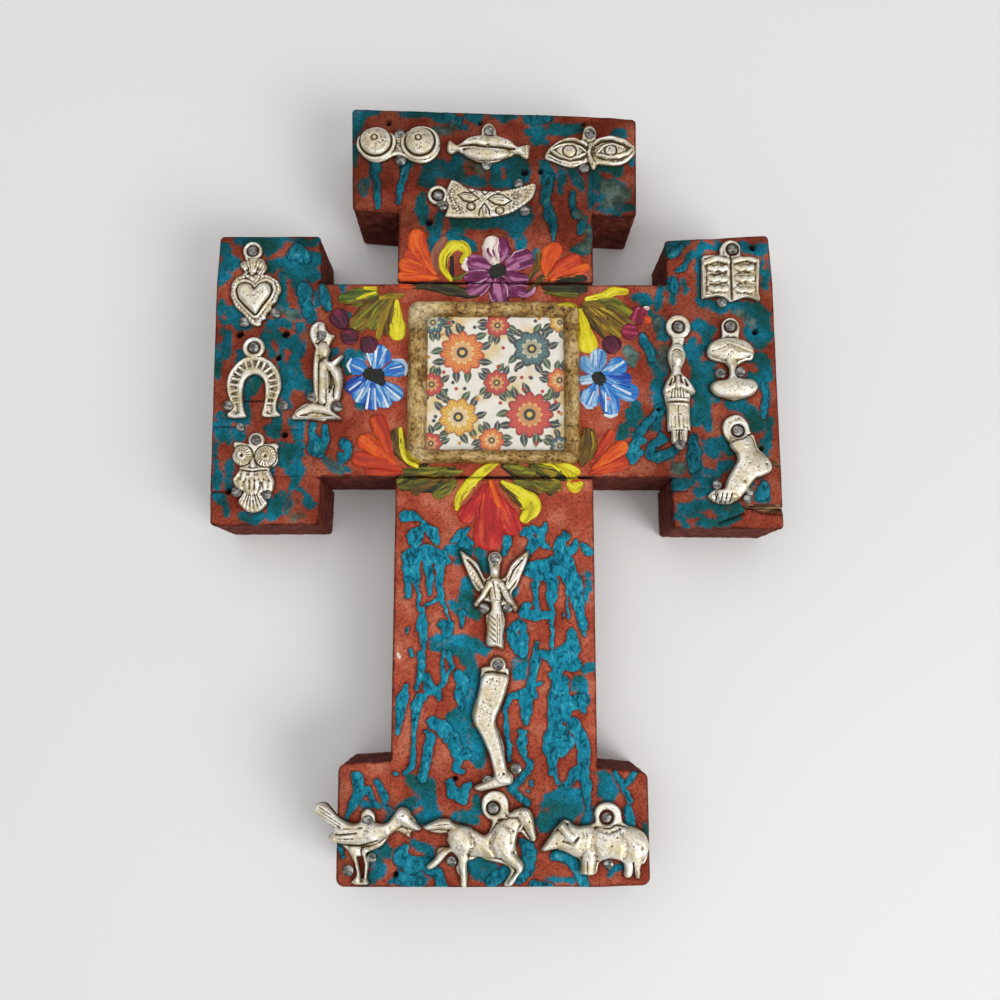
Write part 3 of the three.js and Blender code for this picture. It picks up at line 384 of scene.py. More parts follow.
        [(23.4, 68, 0.9), (26, 68.4, 1.6), (27, 70.6, 1.2)],
        [(27.2, 75, 0.8), (27.4, 72, 0.9)],
        [(34.4, 87.8, 2.2), (37.4, 86, 2.6), (36, 83.2, 2.4), (32.6, 83.6, 2.2)],
        [(30, 81, 0.9), (36, 80.6, 1), (41, 81.4, 0.8)],
        [(40.6, 96.4, 0.8), (40.8, 94.6, 0.6)],
        [(-75.4, 70.6, 1.2), (-70.6, 70.4, 1.8), (-66.4, 69.4, 2.2), (-66.6, 66.2, 1.6)],
        [(-65.4, 66.4, 1.2), (-65.2, 63.4, 1.7), (-65.8, 61, 1.2)],
        [(-63, 63.6, 2), (-60, 62.8, 3), (-57, 62.6, 2.9), (-54.8, 61.6, 1.8)],
        [(-60, 66.2, 1.8), (-58.4, 68, 2), (-57, 65.6, 2.4)],
        [(-54, 62.4, 0.9), (-52.4, 62.8, 0.8)],
        [(-79, 64, 1.7), (-77, 63.2, 2), (-78.6, 61, 1.5)],
        [(-80, 68.6, 0.7), (-79.4, 66, 0.9)],
        [(-79.8, 51, 1.1), (-79.4, 47.8, 1.4), (-77.4, 48.8, 1.7), (-78.8, 45.6, 1.3)],
        [(-75.4, 47.6, 1.6), (-76, 45.4, 1.2)],
        [(-74.8, 44.4, 1), (-72.2, 44, 1.1)],
        [(-62.8, 60.4, 1.2), (-62.6, 56.4, 1.2), (-62.8, 53.4, 1.6), (-61.4, 50.8, 1.5)],
        [(-63.4, 49.4, 1), (-59.6, 48.6, 1.3), (-57.4, 47.8, 1.2)],
        [(-58.2, 59.6, 1.4), (-57.2, 56, 2.1), (-56, 52, 2), (-54.8, 48.6, 1.9), (-54, 46.4, 1.3)],
        [(-59, 57.6, 0.9), (-57.6, 54, 1.2)],
        [(-44.8, 56.8, 0.9), (-44.2, 54.2, 0.8)],
        [(-42.9, 48, 0.7), (-42.6, 46.2, 0.5)],
        [(-65.6, 44.6, 1.4), (-62.6, 45.2, 1.4), (-60.4, 44.6, 1.2)],
        [(-66, 43, 1.6), (-64, 41.4, 1.4)],
        [(-62.4, 40, 1.8), (-60, 38.2, 2.4), (-58.4, 40, 1.8), (-57, 36.8, 1.9), (-57.6, 33.8, 1.3)],
        [(-62, 36.8, 1.5), (-61.6, 33.6, 1.2), (-60.4, 31, 2), (-60.2, 27.4, 2), (-60.4, 24.8, 1.4)],
        [(-56.8, 44.4, 1.4), (-56.8, 42.6, 0.9)],
        [(-66.6, 40.8, 1.4), (-66, 37.8, 1.3), (-65, 35.4, 0.9)],
        [(-79.8, 42.4, 1), (-78, 41.4, 1.4), (-78, 38.2, 1.3), (-78.6, 35.2, 1.2)],
        [(-80.4, 38, 0.7), (-80, 34, 0.8)],
        [(-54.2, 26.8, 1), (-53.6, 24, 1.1)],
        [(-71.6, 28.6, 1.4), (-69.2, 28.2, 1.8), (-71, 25.2, 1.8)],
        [(-71.4, 24, 1), (-71.3, 19.6, 0.9), (-71.6, 16, 0.9)],
        [(-79, 17.6, 1.2), (-77.4, 15.6, 2), (-78.4, 12, 1.8), (-75.4, 12.8, 1.6), (-76, 9.9, 0.9)],
        [(-74.6, 16.6, 1.4), (-72.4, 15.6, 1.2), (-73.6, 11.4, 1.6)],
        [(-62.9, 20.2, 0.9), (-62.7, 16, 1.3), (-62.4, 12.4, 1.3)],
        [(-60.2, 22.4, 1), (-59.6, 20.4, 0.8)],
        [(-58.4, 15.6, 1), (-57, 13.8, 1.8), (-55.6, 15.2, 0.9)],
        [(-56.8, 11.6, 0.9), (-56.4, 11.2, 0.8)],
        [(-46.6, 36.4, 1), (-48, 35, 0.8)],
        [(-42, 35.4, 1.8), (-39.6, 35.8, 1.4)],
        [(-44, 33, 1.3), (-42.8, 31, 1)],
        [(-39.2, 21, 1), (-38.6, 19.8, 0.7)],
        [(-60.6, 8.6, 1.8), (-58.4, 6.4, 3.2), (-57.4, 2.8, 2.6), (-60.6, 4.6, 2.2)],
        [(-56.2, 9.2, 1.4), (-55.4, 6, 0.9)],
        [(-57, 1.4, 1.9), (-56.6, -1.6, 1.5), (-57.8, -3.6, 0.9)],
        [(-58.2, -4.4, 0.8), (-58.4, -7.2, 1.3), (-58.8, -10, 1)],
        [(-63.6, -7.8, 1.1), (-61.4, -9, 1.5), (-60, -8, 1.2)],
        [(-55.4, -4, 0.4), (-53.4, -6, 0.7)],
        [(-53.2, -7.2, 1.1), (-52.4, -8.8, 0.9)],
        [(-49, 4.4, 1), (-46, 2.6, 1.3), (-42.6, 1.8, 0.9)],
        [(-80, 9.4, 0.6), (-79.9, 5.6, 0.6)],
        [(-79.4, 3.8, 1), (-79.2, 0, 1.2), (-79.4, -3.6, 1)],
        [(-75.8, 4.4, 0.8), (-75.7, 0, 0.9), (-75.9, -3.8, 0.8)],
        [(-79.4, -6, 1), (-77, -6.6, 1.4)],
        [(-76.2, -8.6, 0.9), (-76.2, -11.8, 0.6)],
        [(-70.6, -11.4, 1.6), (-68.4, -12, 2.1), (-66, -11, 1.4)],
        [(-64.6, -11.2, 1.2), (-63.2, -12.4, 0.9)],
        [(41.2, 53.4, 0.9), (43.4, 53.4, 1.6), (44.8, 51.6, 1.1)],
        [(49, 56.6, 0.8), (48, 53.4, 1.2), (47, 49.4, 0.9)],
        [(43.6, 50.4, 0.8), (45.2, 48.2, 1.1)],
        [(46.6, 47, 1.3), (48.4, 44.6, 1.8), (48.6, 41.8, 1.4)],
        [(43, 41.8, 0.9), (43.8, 39.6, 1.4), (45.2, 37.2, 1.2), (45.6, 34.8, 1)],
        [(45.2, 35.6, 1), (46, 32.4, 1.4), (46.8, 29.8, 1.1)],
        [(48.8, 35.4, 1.3), (48.8, 31.6, 1.5), (47.4, 28.4, 1.6), (46.6, 24.8, 1.8), (47.2, 21.8, 1.4)],
        [(38.4, 37.4, 1.2), (40, 35.2, 1.4), (39.4, 33.6, 1)],
        [(40.6, 21, 1.4), (39.8, 18, 2.2), (39.4, 15.4, 1.9)],
        [(37.6, 13.6, 1.6), (36, 12.2, 1.2)],
        [(46, 18.2, 1.3), (44, 15.6, 1.4), (42, 13, 1.3), (40.6, 12.2, 1)],
        [(56.8, 10.8, 1.2), (57.2, 6.6, 1.9), (56.8, 2.6, 1.8), (57.6, 0.6, 1.4)],
        [(52.2, 3, 1.4), (53.4, 2.2, 1.4)],
        [(61, 8, 1.6), (63.4, 6.8, 1.4)],
        [(62.6, 10.4, 1.2), (65.4, 10.2, 1.3), (66.6, 8.6, 0.9)],
        [(60.8, 1.6, 1.2), (64, 1.4, 1.3), (66.6, 2.4, 0.9)],
        [(57.6, 40, 1.2), (57.4, 36.8, 1.8), (59.4, 37.6, 1.6)],
        [(59.4, 45.4, 1.4), (61.6, 43.6, 1.9), (62.4, 41.2, 1.2)],
        [(57.6, 33, 1.9), (59.8, 30, 2.6), (58.4, 26, 2.8), (60.4, 22.6, 2.3), (58.4, 18.8, 2.2), (57.6, 15.8, 1.6)],
        [(62, 33, 1.5), (62.6, 29, 1.6)],
        [(62.6, 24.6, 1.6), (63.6, 23, 1.2)],
        [(60.6, 16.4, 1.4), (61.6, 13.4, 1.2)],
        [(67.6, 22.6, 1.2), (71, 21.6, 1.8), (73, 19.6, 1.8), (74.6, 17, 1.4)],
        [(60.8, 51.6, 1), (63, 50.8, 1.2), (66.4, 49.6, 1)],
        [(66, 51.6, 0.9), (71, 50.8, 1.2), (76.6, 51.2, 1.1)],
        [(73.2, 49, 1.4), (74, 46.4, 1.6), (76.6, 47, 1.8), (79.4, 47.4, 1.6), (78.6, 44.4, 1.6), (77, 41.4, 1.6),
         (76.6, 38.6, 0.9)],
        [(73.4, 43.6, 1.2), (74.4, 41.2, 1)],
        [(74.6, 34.6, 1), (77.2, 34.4, 1.4), (79.6, 33.8, 1.2)],
        [(74.4, 29.4, 1.4), (77.4, 29.6, 1.9), (79.8, 29.2, 1.2)],
        [(77.6, 31.6, 1), (79.6, 31.4, 1.2)],
        [(78, 27, 1.2), (78.2, 22.6, 1.2), (77.6, 18, 1)],
        [(76, 13.6, 1), (74.4, 14.8, 0.9)],
        [(76.6, 10, 1.2), (77.8, 6.6, 1)],
        [(50.6, 69.2, 1), (53.4, 69.6, 1.2), (56.6, 70.4, 0.7)],
        [(51, 66.4, 1), (53.2, 68, 1.5), (55, 69.2, 0.9)],
        [(57, 64.9, 0.9), (58.6, 66.8, 1)],
        [(52, 58.6, 1.2), (52.4, 55.6, 1.4), (52.2, 53, 1)],
        [(55.2, 58, 0.8), (56.2, 55.2, 0.9)],
        [(60.6, 69, 1), (60.6, 64, 1), (60.5, 58, 1), (60.7, 53.6, 1)],
        [(62, 69.8, 1.6), (65, 69.6, 1.9)],
        [(73, 69.4, 1.4), (76, 68.4, 1.7), (79.4, 68.6, 1.7)],
        [(79.6, 65, 1), (79.5, 60, 1.1), (79.4, 56.6, 0.9)],
        [(51, -1.2, 0.8), (54.4, -1.4, 1.1)],
        [(57.6, -3.8, 0.9), (60.4, -4.2, 1.1)],
        [(59, -1, 1.3), (61.6, -1.2, 1.2)],
        [(53.6, -9.4, 1.2), (56.4, -8.6, 1.6), (59.4, -8, 1.4)],
        [(52, -11.6, 1.2), (54, -12.6, 1.5), (56.2, -11.2, 1)],
        [(61.6, -9.4, 1.4), (65, -9.6, 1.9), (68.6, -9, 1.6)],
        [(62.8, -13, 1.1), (66, -12.6, 1.4), (68.6, -11.8, 1.2)],
        [(74.6, -1.6, 1.3), (77, -3, 1.7), (75.6, -5.6, 1.8), (77.6, -6.6, 1)],
    ],
    "bareRed": [   # where no teal was laid
        [(-7.6, 94, 2.2), (-5.4, 93.4, 1.8)],
        [(-3, 93, 0.9), (-2.6, 89.6, 0.8)],
        [(2.6, 93.6, 0.6), (2.7, 91, 0.5)],
        [(-14.8, 101, 1.6), (-14.4, 96.8, 1.3)],
        [(-18.4, 81.8, 0.9), (-18.6, 79.6, 0.6)],
        [(-14.6, 78, 1), (-14.9, 75.2, 0.9)],
        [(-7.6, 72.8, 1.5), (-4, 72.4, 2), (0, 71, 2.4)],
        [(12.2, 98, 1.1), (12, 88, 1.1), (12, 80, 1.2)],
        [(-66.2, 64.6, 0.7), (-63.6, 66.8, 1), (-61.2, 69.4, 1.2)],
        [(-60.6, 34.6, 0.7), (-60.2, 36.2, 0.5)],
        [(63, 71.2, 1.2), (64.4, 70.8, 0.8)],
        [(79.8, 66.4, 0.8), (79.9, 62.4, 0.7)],
        [(75, -1.2, 0.9), (75.2, -2, 0.7)],
        [(61, -10.4, 1.4), (62, -11, 1)],
        [(56, -13.2, 1), (56.8, -12.6, 0.8)],
        [(55.4, 31.6, 1.1), (55.6, 30.8, 0.9)],
        [(74.4, 32.2, 1.2), (73.4, 33, 0.7)],
        [(62.4, 4, 1.2), (60.8, 3.4, 1)],
        [(76.6, 24, 0.9), (76, 21, 0.9)],
        [(-79.6, 47.4, 0.6), (-79.4, 46.4, 0.6)],
    ],
    "worn": [   # rubbed and dirtied to a mottled grey-green
        [(-18, 105.6, 1.8), (-13, 106.2, 2.4)],
        [(33, 88, 2.4), (37.4, 85.6, 3.4), (33.6, 82.6, 2.4)],
        [(-39.4, 87.4, 2.2), (-39.6, 86.4, 2)],
        [(49.2, 38.4, 1.8), (48.8, 33.6, 1.9)],
        [(51.8, 3, 2.2), (53.4, 2.2, 2.2)],
        [(38.6, 37, 2), (39.8, 34.8, 2)],
        [(-62.4, 48.6, 1.8), (-57.6, 47.6, 1.6)],
        [(-48, 4.2, 1.6), (-44.6, 2.2, 1.6)],
        [(-58.3, -5.6, 1.1), (-58.6, -9.6, 1.3)],
        [(24.4, 79.4, 1.5), (26.2, 78, 1.4)],
        [(-6.8, 94, 2.4), (-4.6, 93.4, 2.2)],
        [(-56.6, -12, 1.6), (-54.6, -11.6, 1.6)],
        [(47.4, 46.4, 1.6), (47.4, 43.6, 1.4)],
        [(26.4, 69.4, 1.8), (27, 73.6, 1.4)],
        [(71.6, 48.6, 1.6), (75, 46, 1.4)],
        [(12.4, 66.4, 1.4), (12.6, 64.4, 1.2)],
        [(73, 10, 1.6), (76.4, 8, 1.4)],
    ],
    "splinters": [   # paint and surface torn off to the wood
        [(71.4, -8.6, 0.7), (75, -9, 1.1), (81.8, -9.2, 1.2)],
        [(79.6, 4.4, 0.9), (80.6, 3.4, 1)],
    ],
    "cracks": [   # thin dark splits
        [(63.6, -13.4, 0.2), (67, -12, 0.3), (70.7, -10.6, 0.3)],
        [(70.8, -8.4, 0.2), (76, -10.4, 0.3), (81.6, -10.8, 0.2)],
        [(-81, -4.7, 0.25), (-75.2, -4.6, 0.3)],
        [(-80.6, 14.3, 0.12), (-75, 14.2, 0.16)],
        [(-76, 21.9, 0.1), (-67, 21.8, 0.12)],
        [(-64, 13.3, 0.1), (-56, 13.3, 0.12)],
        [(74, -7.9, 0.15), (80, -8.1, 0.12)],
        [(50.6, -4.2, 0.1), (55, -4.3, 0.12)],
    ],
}

# Empty nail holes: (x, y, radius) in millimetres
nailHoles = [
    (-32.3, 108, 0.75), (-4.7, 108.1, 0.6), (26.5, 108.1, 0.55), (8.7, 92.4, 1.05), (13.5, 92.7, 0.8),
    (-19.8, 76.6, 1.0), (-74.5, 41.9, 1.0), (-61.2, 42, 1.05), (-63, 34.8, 0.8), (-60.5, 12, 0.85),
    (76, 43.1, 0.8), (76.2, 69.1, 0.9), (76.6, 8.4, 0.7), (47.3, 19.8, 0.6), (-75.9, -4.6, 0.75),
    (-26.5, -108.8, 0.7), (-10.7, -83.7, 0.7),
]

wood = {
    "thickness": 25.4,        # mm, one-inch board
    "arris": 0.8,             # mm, rounding along the sawn edges
    "corner": 1.3,            # mm, rounding of the upright corners
    "pitch": 0.4,             # mm, spacing of the face's mesh
    "tealBlob": 0.58,         # mm, height of the dribbled paint
    "tealFlat": 0.17,         # mm, height of the brushed paint
    "crackEdge": 0.2,         # mm, rounding beside the two open cracks
}


def strokeField(x, y, runs):
    # greatest depth inside any run of tapering capsules, in mm, negative outside
    field = np.full(x.shape, -9.0)
    left, right, bottom, top = x.min() - 4, x.max() + 4, y.min() - 4, y.max() + 4
    for run in runs:
        for (ax, ay, ar), (bx, by, br) in zip(run[:-1], run[1:]):
            if max(ax, bx) < left or min(ax, bx) > right or max(ay, by) < bottom or min(ay, by) > top:
                continue
            reach = max(ar, br) + 4
            near = (np.abs(x - (ax + bx) / 2) < abs(bx - ax) / 2 + reach)
            near &= (np.abs(y - (ay + by) / 2) < abs(by - ay) / 2 + reach)
            px, py = x[near], y[near]
            length = (bx - ax) ** 2 + (by - ay) ** 2 + 1e-9
            t = np.clip(((px - ax) * (bx - ax) + (py - ay) * (by - ay)) / length, 0, 1)
            depth = ar + (br - ar) * t - np.hypot(px - ax - t * (bx - ax), py - ay - t * (by - ay))
            field[near] = np.maximum(field[near], depth)
    return field


# The sawn outlines, anticlockwise from the lower left, in millimetres
boardCorners = {
    "beam": [(-81.2, -0.15), (82.1, -0.15), (81.8, 57.45), (-82, 57.45)],
    "upper_stem": [(-28.86, 57.8), (28.86, 57.8), (28.86, 110.7), (-28.86, 112.3)],
    "lower_stem": [(-28.46, -112.1), (28.26, -112.1), (28.1, -0.5), (-28.36, -0.5)],
    "cap_block_left": [(-42.6, 80.2), (-28.84, 79.1), (-28.84, 112.3), (-43.5, 112.8)],
    "cap_block_right": [(28.84, 79.1), (41.9, 78.5), (42.4, 109.9), (28.84, 110.7)],
    "arm_block_upper_left": [(-82, 57.43), (-51.1, 57.43), (-51.8, 72.2), (-81.4, 71.9)],
    "arm_block_upper_right": [(50.3, 57.43), (81.8, 57.43), (81.1, 73), (50.1, 71.2)],
    "arm_block_lower_left": [(-80.8, -14.3), (-50, -14.1), (-49.5, -0.13), (-81.2, -0.13)],
    "arm_block_lower_right": [(50.7, -14.7), (82.2, -15), (82.1, -0.13), (50.4, -0.13)],
    "foot_block_left": [(-42.6, -112.1), (-28.42, -112.1), (-28.4, -78.9), (-42.7, -79.8)],
    "foot_block_right": [(28.22, -112.1), (42.1, -111.6), (42, -81.9), (28.14, -80.6)],
}

# Glued seams, painted over: upright ones as (x, from y, to y), level ones as (y, from x, to x)
glueLines = {
    "upright": [(-28.85, 79.5, 130), (28.85, 79.4, 130), (-28.4, -130, -79.3), (28.2, -130, -81)],
    "level": [(57.44, -99, -51.5), (57.44, 50.5, 99), (-0.14, -99, -50), (-0.14, 50.9, 99)],
}


def glued(across, along, lines):
    # 1 beside a glued seam and 0 elsewhere
    share = np.zeros(np.shape(across))
    for place, low, high in lines:
        near = (np.abs(across - place) < 4) * smooth(low - 0.5, low + 0.5, along) * smooth(high + 0.5, high - 0.5, along)
        share = np.maximum(share, near)
    return share


def paintedWood():
    # household acrylic brushed on sawn pine: chalky, sandy red-brown with glossier teal ridges over it
    material, tree, shader = newMaterial("brushed acrylic on sawn pine")
    place = add(tree, "TexCoord").outputs["Object"]
    names = ("thick", "thin", "side", "dark", "worn", "torn", "grimeAndShade")
    thick, thin, side, dark, worn, torn, grimeAndShade = (add(tree, "Attribute", {"attribute_name": name}).outputs["Fac"]
                                                  for name in names)
    cloud = add(tree, "TexNoise", {"Scale": 1 / 0.009, "Detail": 4.0, "Roughness": 0.6}, {"Vector": place})
    sand = add(tree, "TexNoise", {"Scale": 1 / 0.0007, "Detail": 3.0, "Roughness": 0.7}, {"Vector": place})
    grit = add(tree, "TexNoise", {"Scale": 1 / 0.0016, "Detail": 2.0}, {"Vector": place})
    streak = add(tree, "Mapping", {"Scale": (1, 0.6, 1)}, {"Vector": place})
    wrinkle = add(tree, "TexNoise", {"Scale": 1 / 0.0014, "Detail": 3.0, "Distortion": 0.8}, {"Vector": streak})
    mottle = add(tree, "TexNoise", {"Scale": 1 / 0.003, "Detail": 4.0, "Roughness": 0.65}, {"Vector": place})

    red = ramp(tree, cloud, [(0.36, "#a44430"), (0.5, "#ba573f"), (0.64, "#ca7358")])
    speck = ramp(tree, sand, [(0.36, 0.45), (0.45, 0.88), (0.54, 1.02), (0.64, 1.25)])
    redSand = blendColours(tree, 0.9, red, speck, "MULTIPLY")
    # the sawn sides: darker paint, and darker still as painted shade
    sideBase = ramp(tree, mottle, [(0.34, "#501d15"), (0.5, "#6c2d22"), (0.66, "#86473a")])
    sideTone = blendColours(tree, 0.9, sideBase, speck, "MULTIPLY")
    ground = blendColours(tree, side, redSand, sideTone)

    # thin teal: greener and darker, and patchy where it was rubbed
    patch = add(tree, "Math", {"operation": "MULTIPLY_ADD", 1: 3.6, 2: -1.85}, {0: mottle})
    speckle = add(tree, "Math", {"operation": "MULTIPLY_ADD", 1: 0.8, 2: -0.4}, {0: grit})
    uneven = add(tree, "Math", {"operation": "ADD"}, {0: patch, 1: speckle})
    thinAll = add(tree, "Math", {"operation": "ADD"}, {0: thin, 1: uneven})
    thinCover = add(tree, "MapRange", {"interpolation_type": "SMOOTHSTEP", "From Min": -0.5, "From Max": 0.45},
                    {"Value": thinAll})
    thinTone = ramp(tree, cloud, [(0.36, "#14605c"), (0.48, "#0e7484"), (0.62, "#1292b2")])
    thinShade = blendColours(tree, 0.9, thinTone, speck, "MULTIPLY")
    washed = blendColours(tree, thinCover, ground, thinShade)

    # thick teal: strong colour, painted paler on its ridges as highlight and darker in its creases as shade
    tealGrit = add(tree, "Math", {"operation": "MULTIPLY_ADD", 1: 0.7, 2: -0.35}, {0: grit})
    thickAll = add(tree, "Math", {"operation": "ADD"}, {0: thick, 1: tealGrit})
    thickCover = add(tree, "MapRange", {"interpolation_type": "SMOOTHSTEP", "From Min": -0.05, "From Max": 0.1},
                     {"Value": thickAll})
    thickTone = ramp(tree, wrinkle, [(0.35, "#0a5668"), (0.44, "#1484a0"), (0.6, "#1e9cb8"), (0.74, "#60c0d0")])
    # a few cracks in the thickest of it
    bent = add(tree, "VectorMath", {"operation": "MULTIPLY_ADD", 1: (0.004, 0.004, 0)}, {0: mottle.outputs[1], 2: place})
    cells = add(tree, "TexVoronoi", {"feature": "DISTANCE_TO_EDGE", "Scale": 1 / 0.006}, {"Vector": bent})
    line = add(tree, "MapRange", {"From Max": 0.05, "To Min": 1.0, "To Max": 0.0}, {"Value": cells})
    deep = add(tree, "MapRange", {"From Min": 0.7, "From Max": 1.2}, {"Value": thick})
    some = add(tree, "MapRange", {"From Min": 0.5, "From Max": 0.56, "To Max": 0.85}, {"Value": cloud})
    lineHere = add(tree, "Math", {"operation": "MULTIPLY"}, {0: line, 1: deep})
    cracked = add(tree, "Math", {"operation": "MULTIPLY"}, {0: lineHere, 1: some})
    thickSand = blendColours(tree, 0.45, thickTone, speck, "MULTIPLY")
    thickShade = blendColours(tree, cracked, thickSand, "#06242c")
    # painted shadow: a dark band just outside the edge of the thick paint
    rim = add(tree, "MapRange", {"From Min": -0.7, "From Max": -0.1, "To Min": 1.0, "To Max": 0.4},
              {"Value": thickAll})
    shadowRimmed = blendColours(tree, 1.0, washed, rim.outputs[0], "MULTIPLY")
    painted = blendColours(tree, thickCover, shadowRimmed, thickShade)

    # rubbed places: grey-green over brown, in patches
    wornAll = add(tree, "Math", {"operation": "ADD"}, {0: worn, 1: uneven})
    wornCover = add(tree, "MapRange", {"interpolation_type": "SMOOTHSTEP", "From Min": -0.5, "From Max": 1.2,
                                       "To Max": 0.85}, {"Value": wornAll})
    wornTone = ramp(tree, mottle, [(0.34, "#3c3226"), (0.48, "#5c6a58"), (0.62, "#7f9c90")])
    rubbed = blendColours(tree, wornCover, painted, wornTone)

    # torn fibres of bare pine, and painted shade in cracks and holes
    fibre = add(tree, "Mapping", {"Scale": (0.08, 1, 1)}, {"Vector": place})
    grain = add(tree, "TexNoise", {"Scale": 1 / 0.0006, "Detail": 4.0}, {"Vector": fibre})
    pine = ramp(tree, grain, [(0.36, "#1c0e06"), (0.48, "#5c4029"), (0.66, "#b0906a")])
    # the grime mask holds dirt on the cap and the arms' ends, and painted shadow round the charms
    grimedAndShaded = blendColours(tree, grimeAndShade, rubbed, "#a39b92", "MULTIPLY")
    bared = blendColours(tree, torn, grimedAndShaded, pine)
    final = blendColours(tree, dark, bared, "#120604")
    tree.links.new(final, shader.inputs["Base Color"])
    shader.inputs["Specular IOR Level"].default_value = 0.12

    cover = add(tree, "Math", {"operation": "MAXIMUM"}, {0: thickCover, 1: thinCover})
    rough = add(tree, "MapRange", {"To Min": 0.85, "To Max": 0.55}, {"Value": cover})
    tree.links.new(rough.outputs[0], shader.inputs["Roughness"])
    sandBump = add(tree, "Bump", {"Strength": 0.9, "Distance": 0.0004}, {"Height": sand})
    ridgeHeight = add(tree, "Math", {"operation": "MULTIPLY"}, {0: wrinkle, 1: cover})
    ridgeBump = add(tree, "Bump", {"Strength": 0.8, "Distance": 0.0003}, {"Height": ridgeHeight, "Normal": sandBump})
    tree.links.new(ridgeBump.outputs[0], shader.inputs["Normal"])
    return material


def shadeAndDirtBesideCharms(x, y):
    # painted contact shadow and dirt round the charms: 1 at an outline, falling to 0 a millimetre out
    share = np.zeros(x.shape)
    for spec in charms.values():
        nail, ring = np.array(spec["nail"]), spec.get("ring", 0)
        outline = curveThrough(spec["outline"], 3) + nail
        low, high = np.minimum(outline.min(0), nail - ring) - 1.5, np.maximum(outline.max(0), nail + ring) + 1.5
        near = (x > low[0]) & (x < high[0]) & (y > low[1]) & (y < high[1])
        if near.any():
            depth = insideDistance(x[near], y[near], outline)
            depth = np.maximum(depth, ring - np.hypot(x[near] - nail[0], y[near] - nail[1]))
            share[near] = np.maximum(share[near], smooth(1.2, 0.2, -depth))
    return share


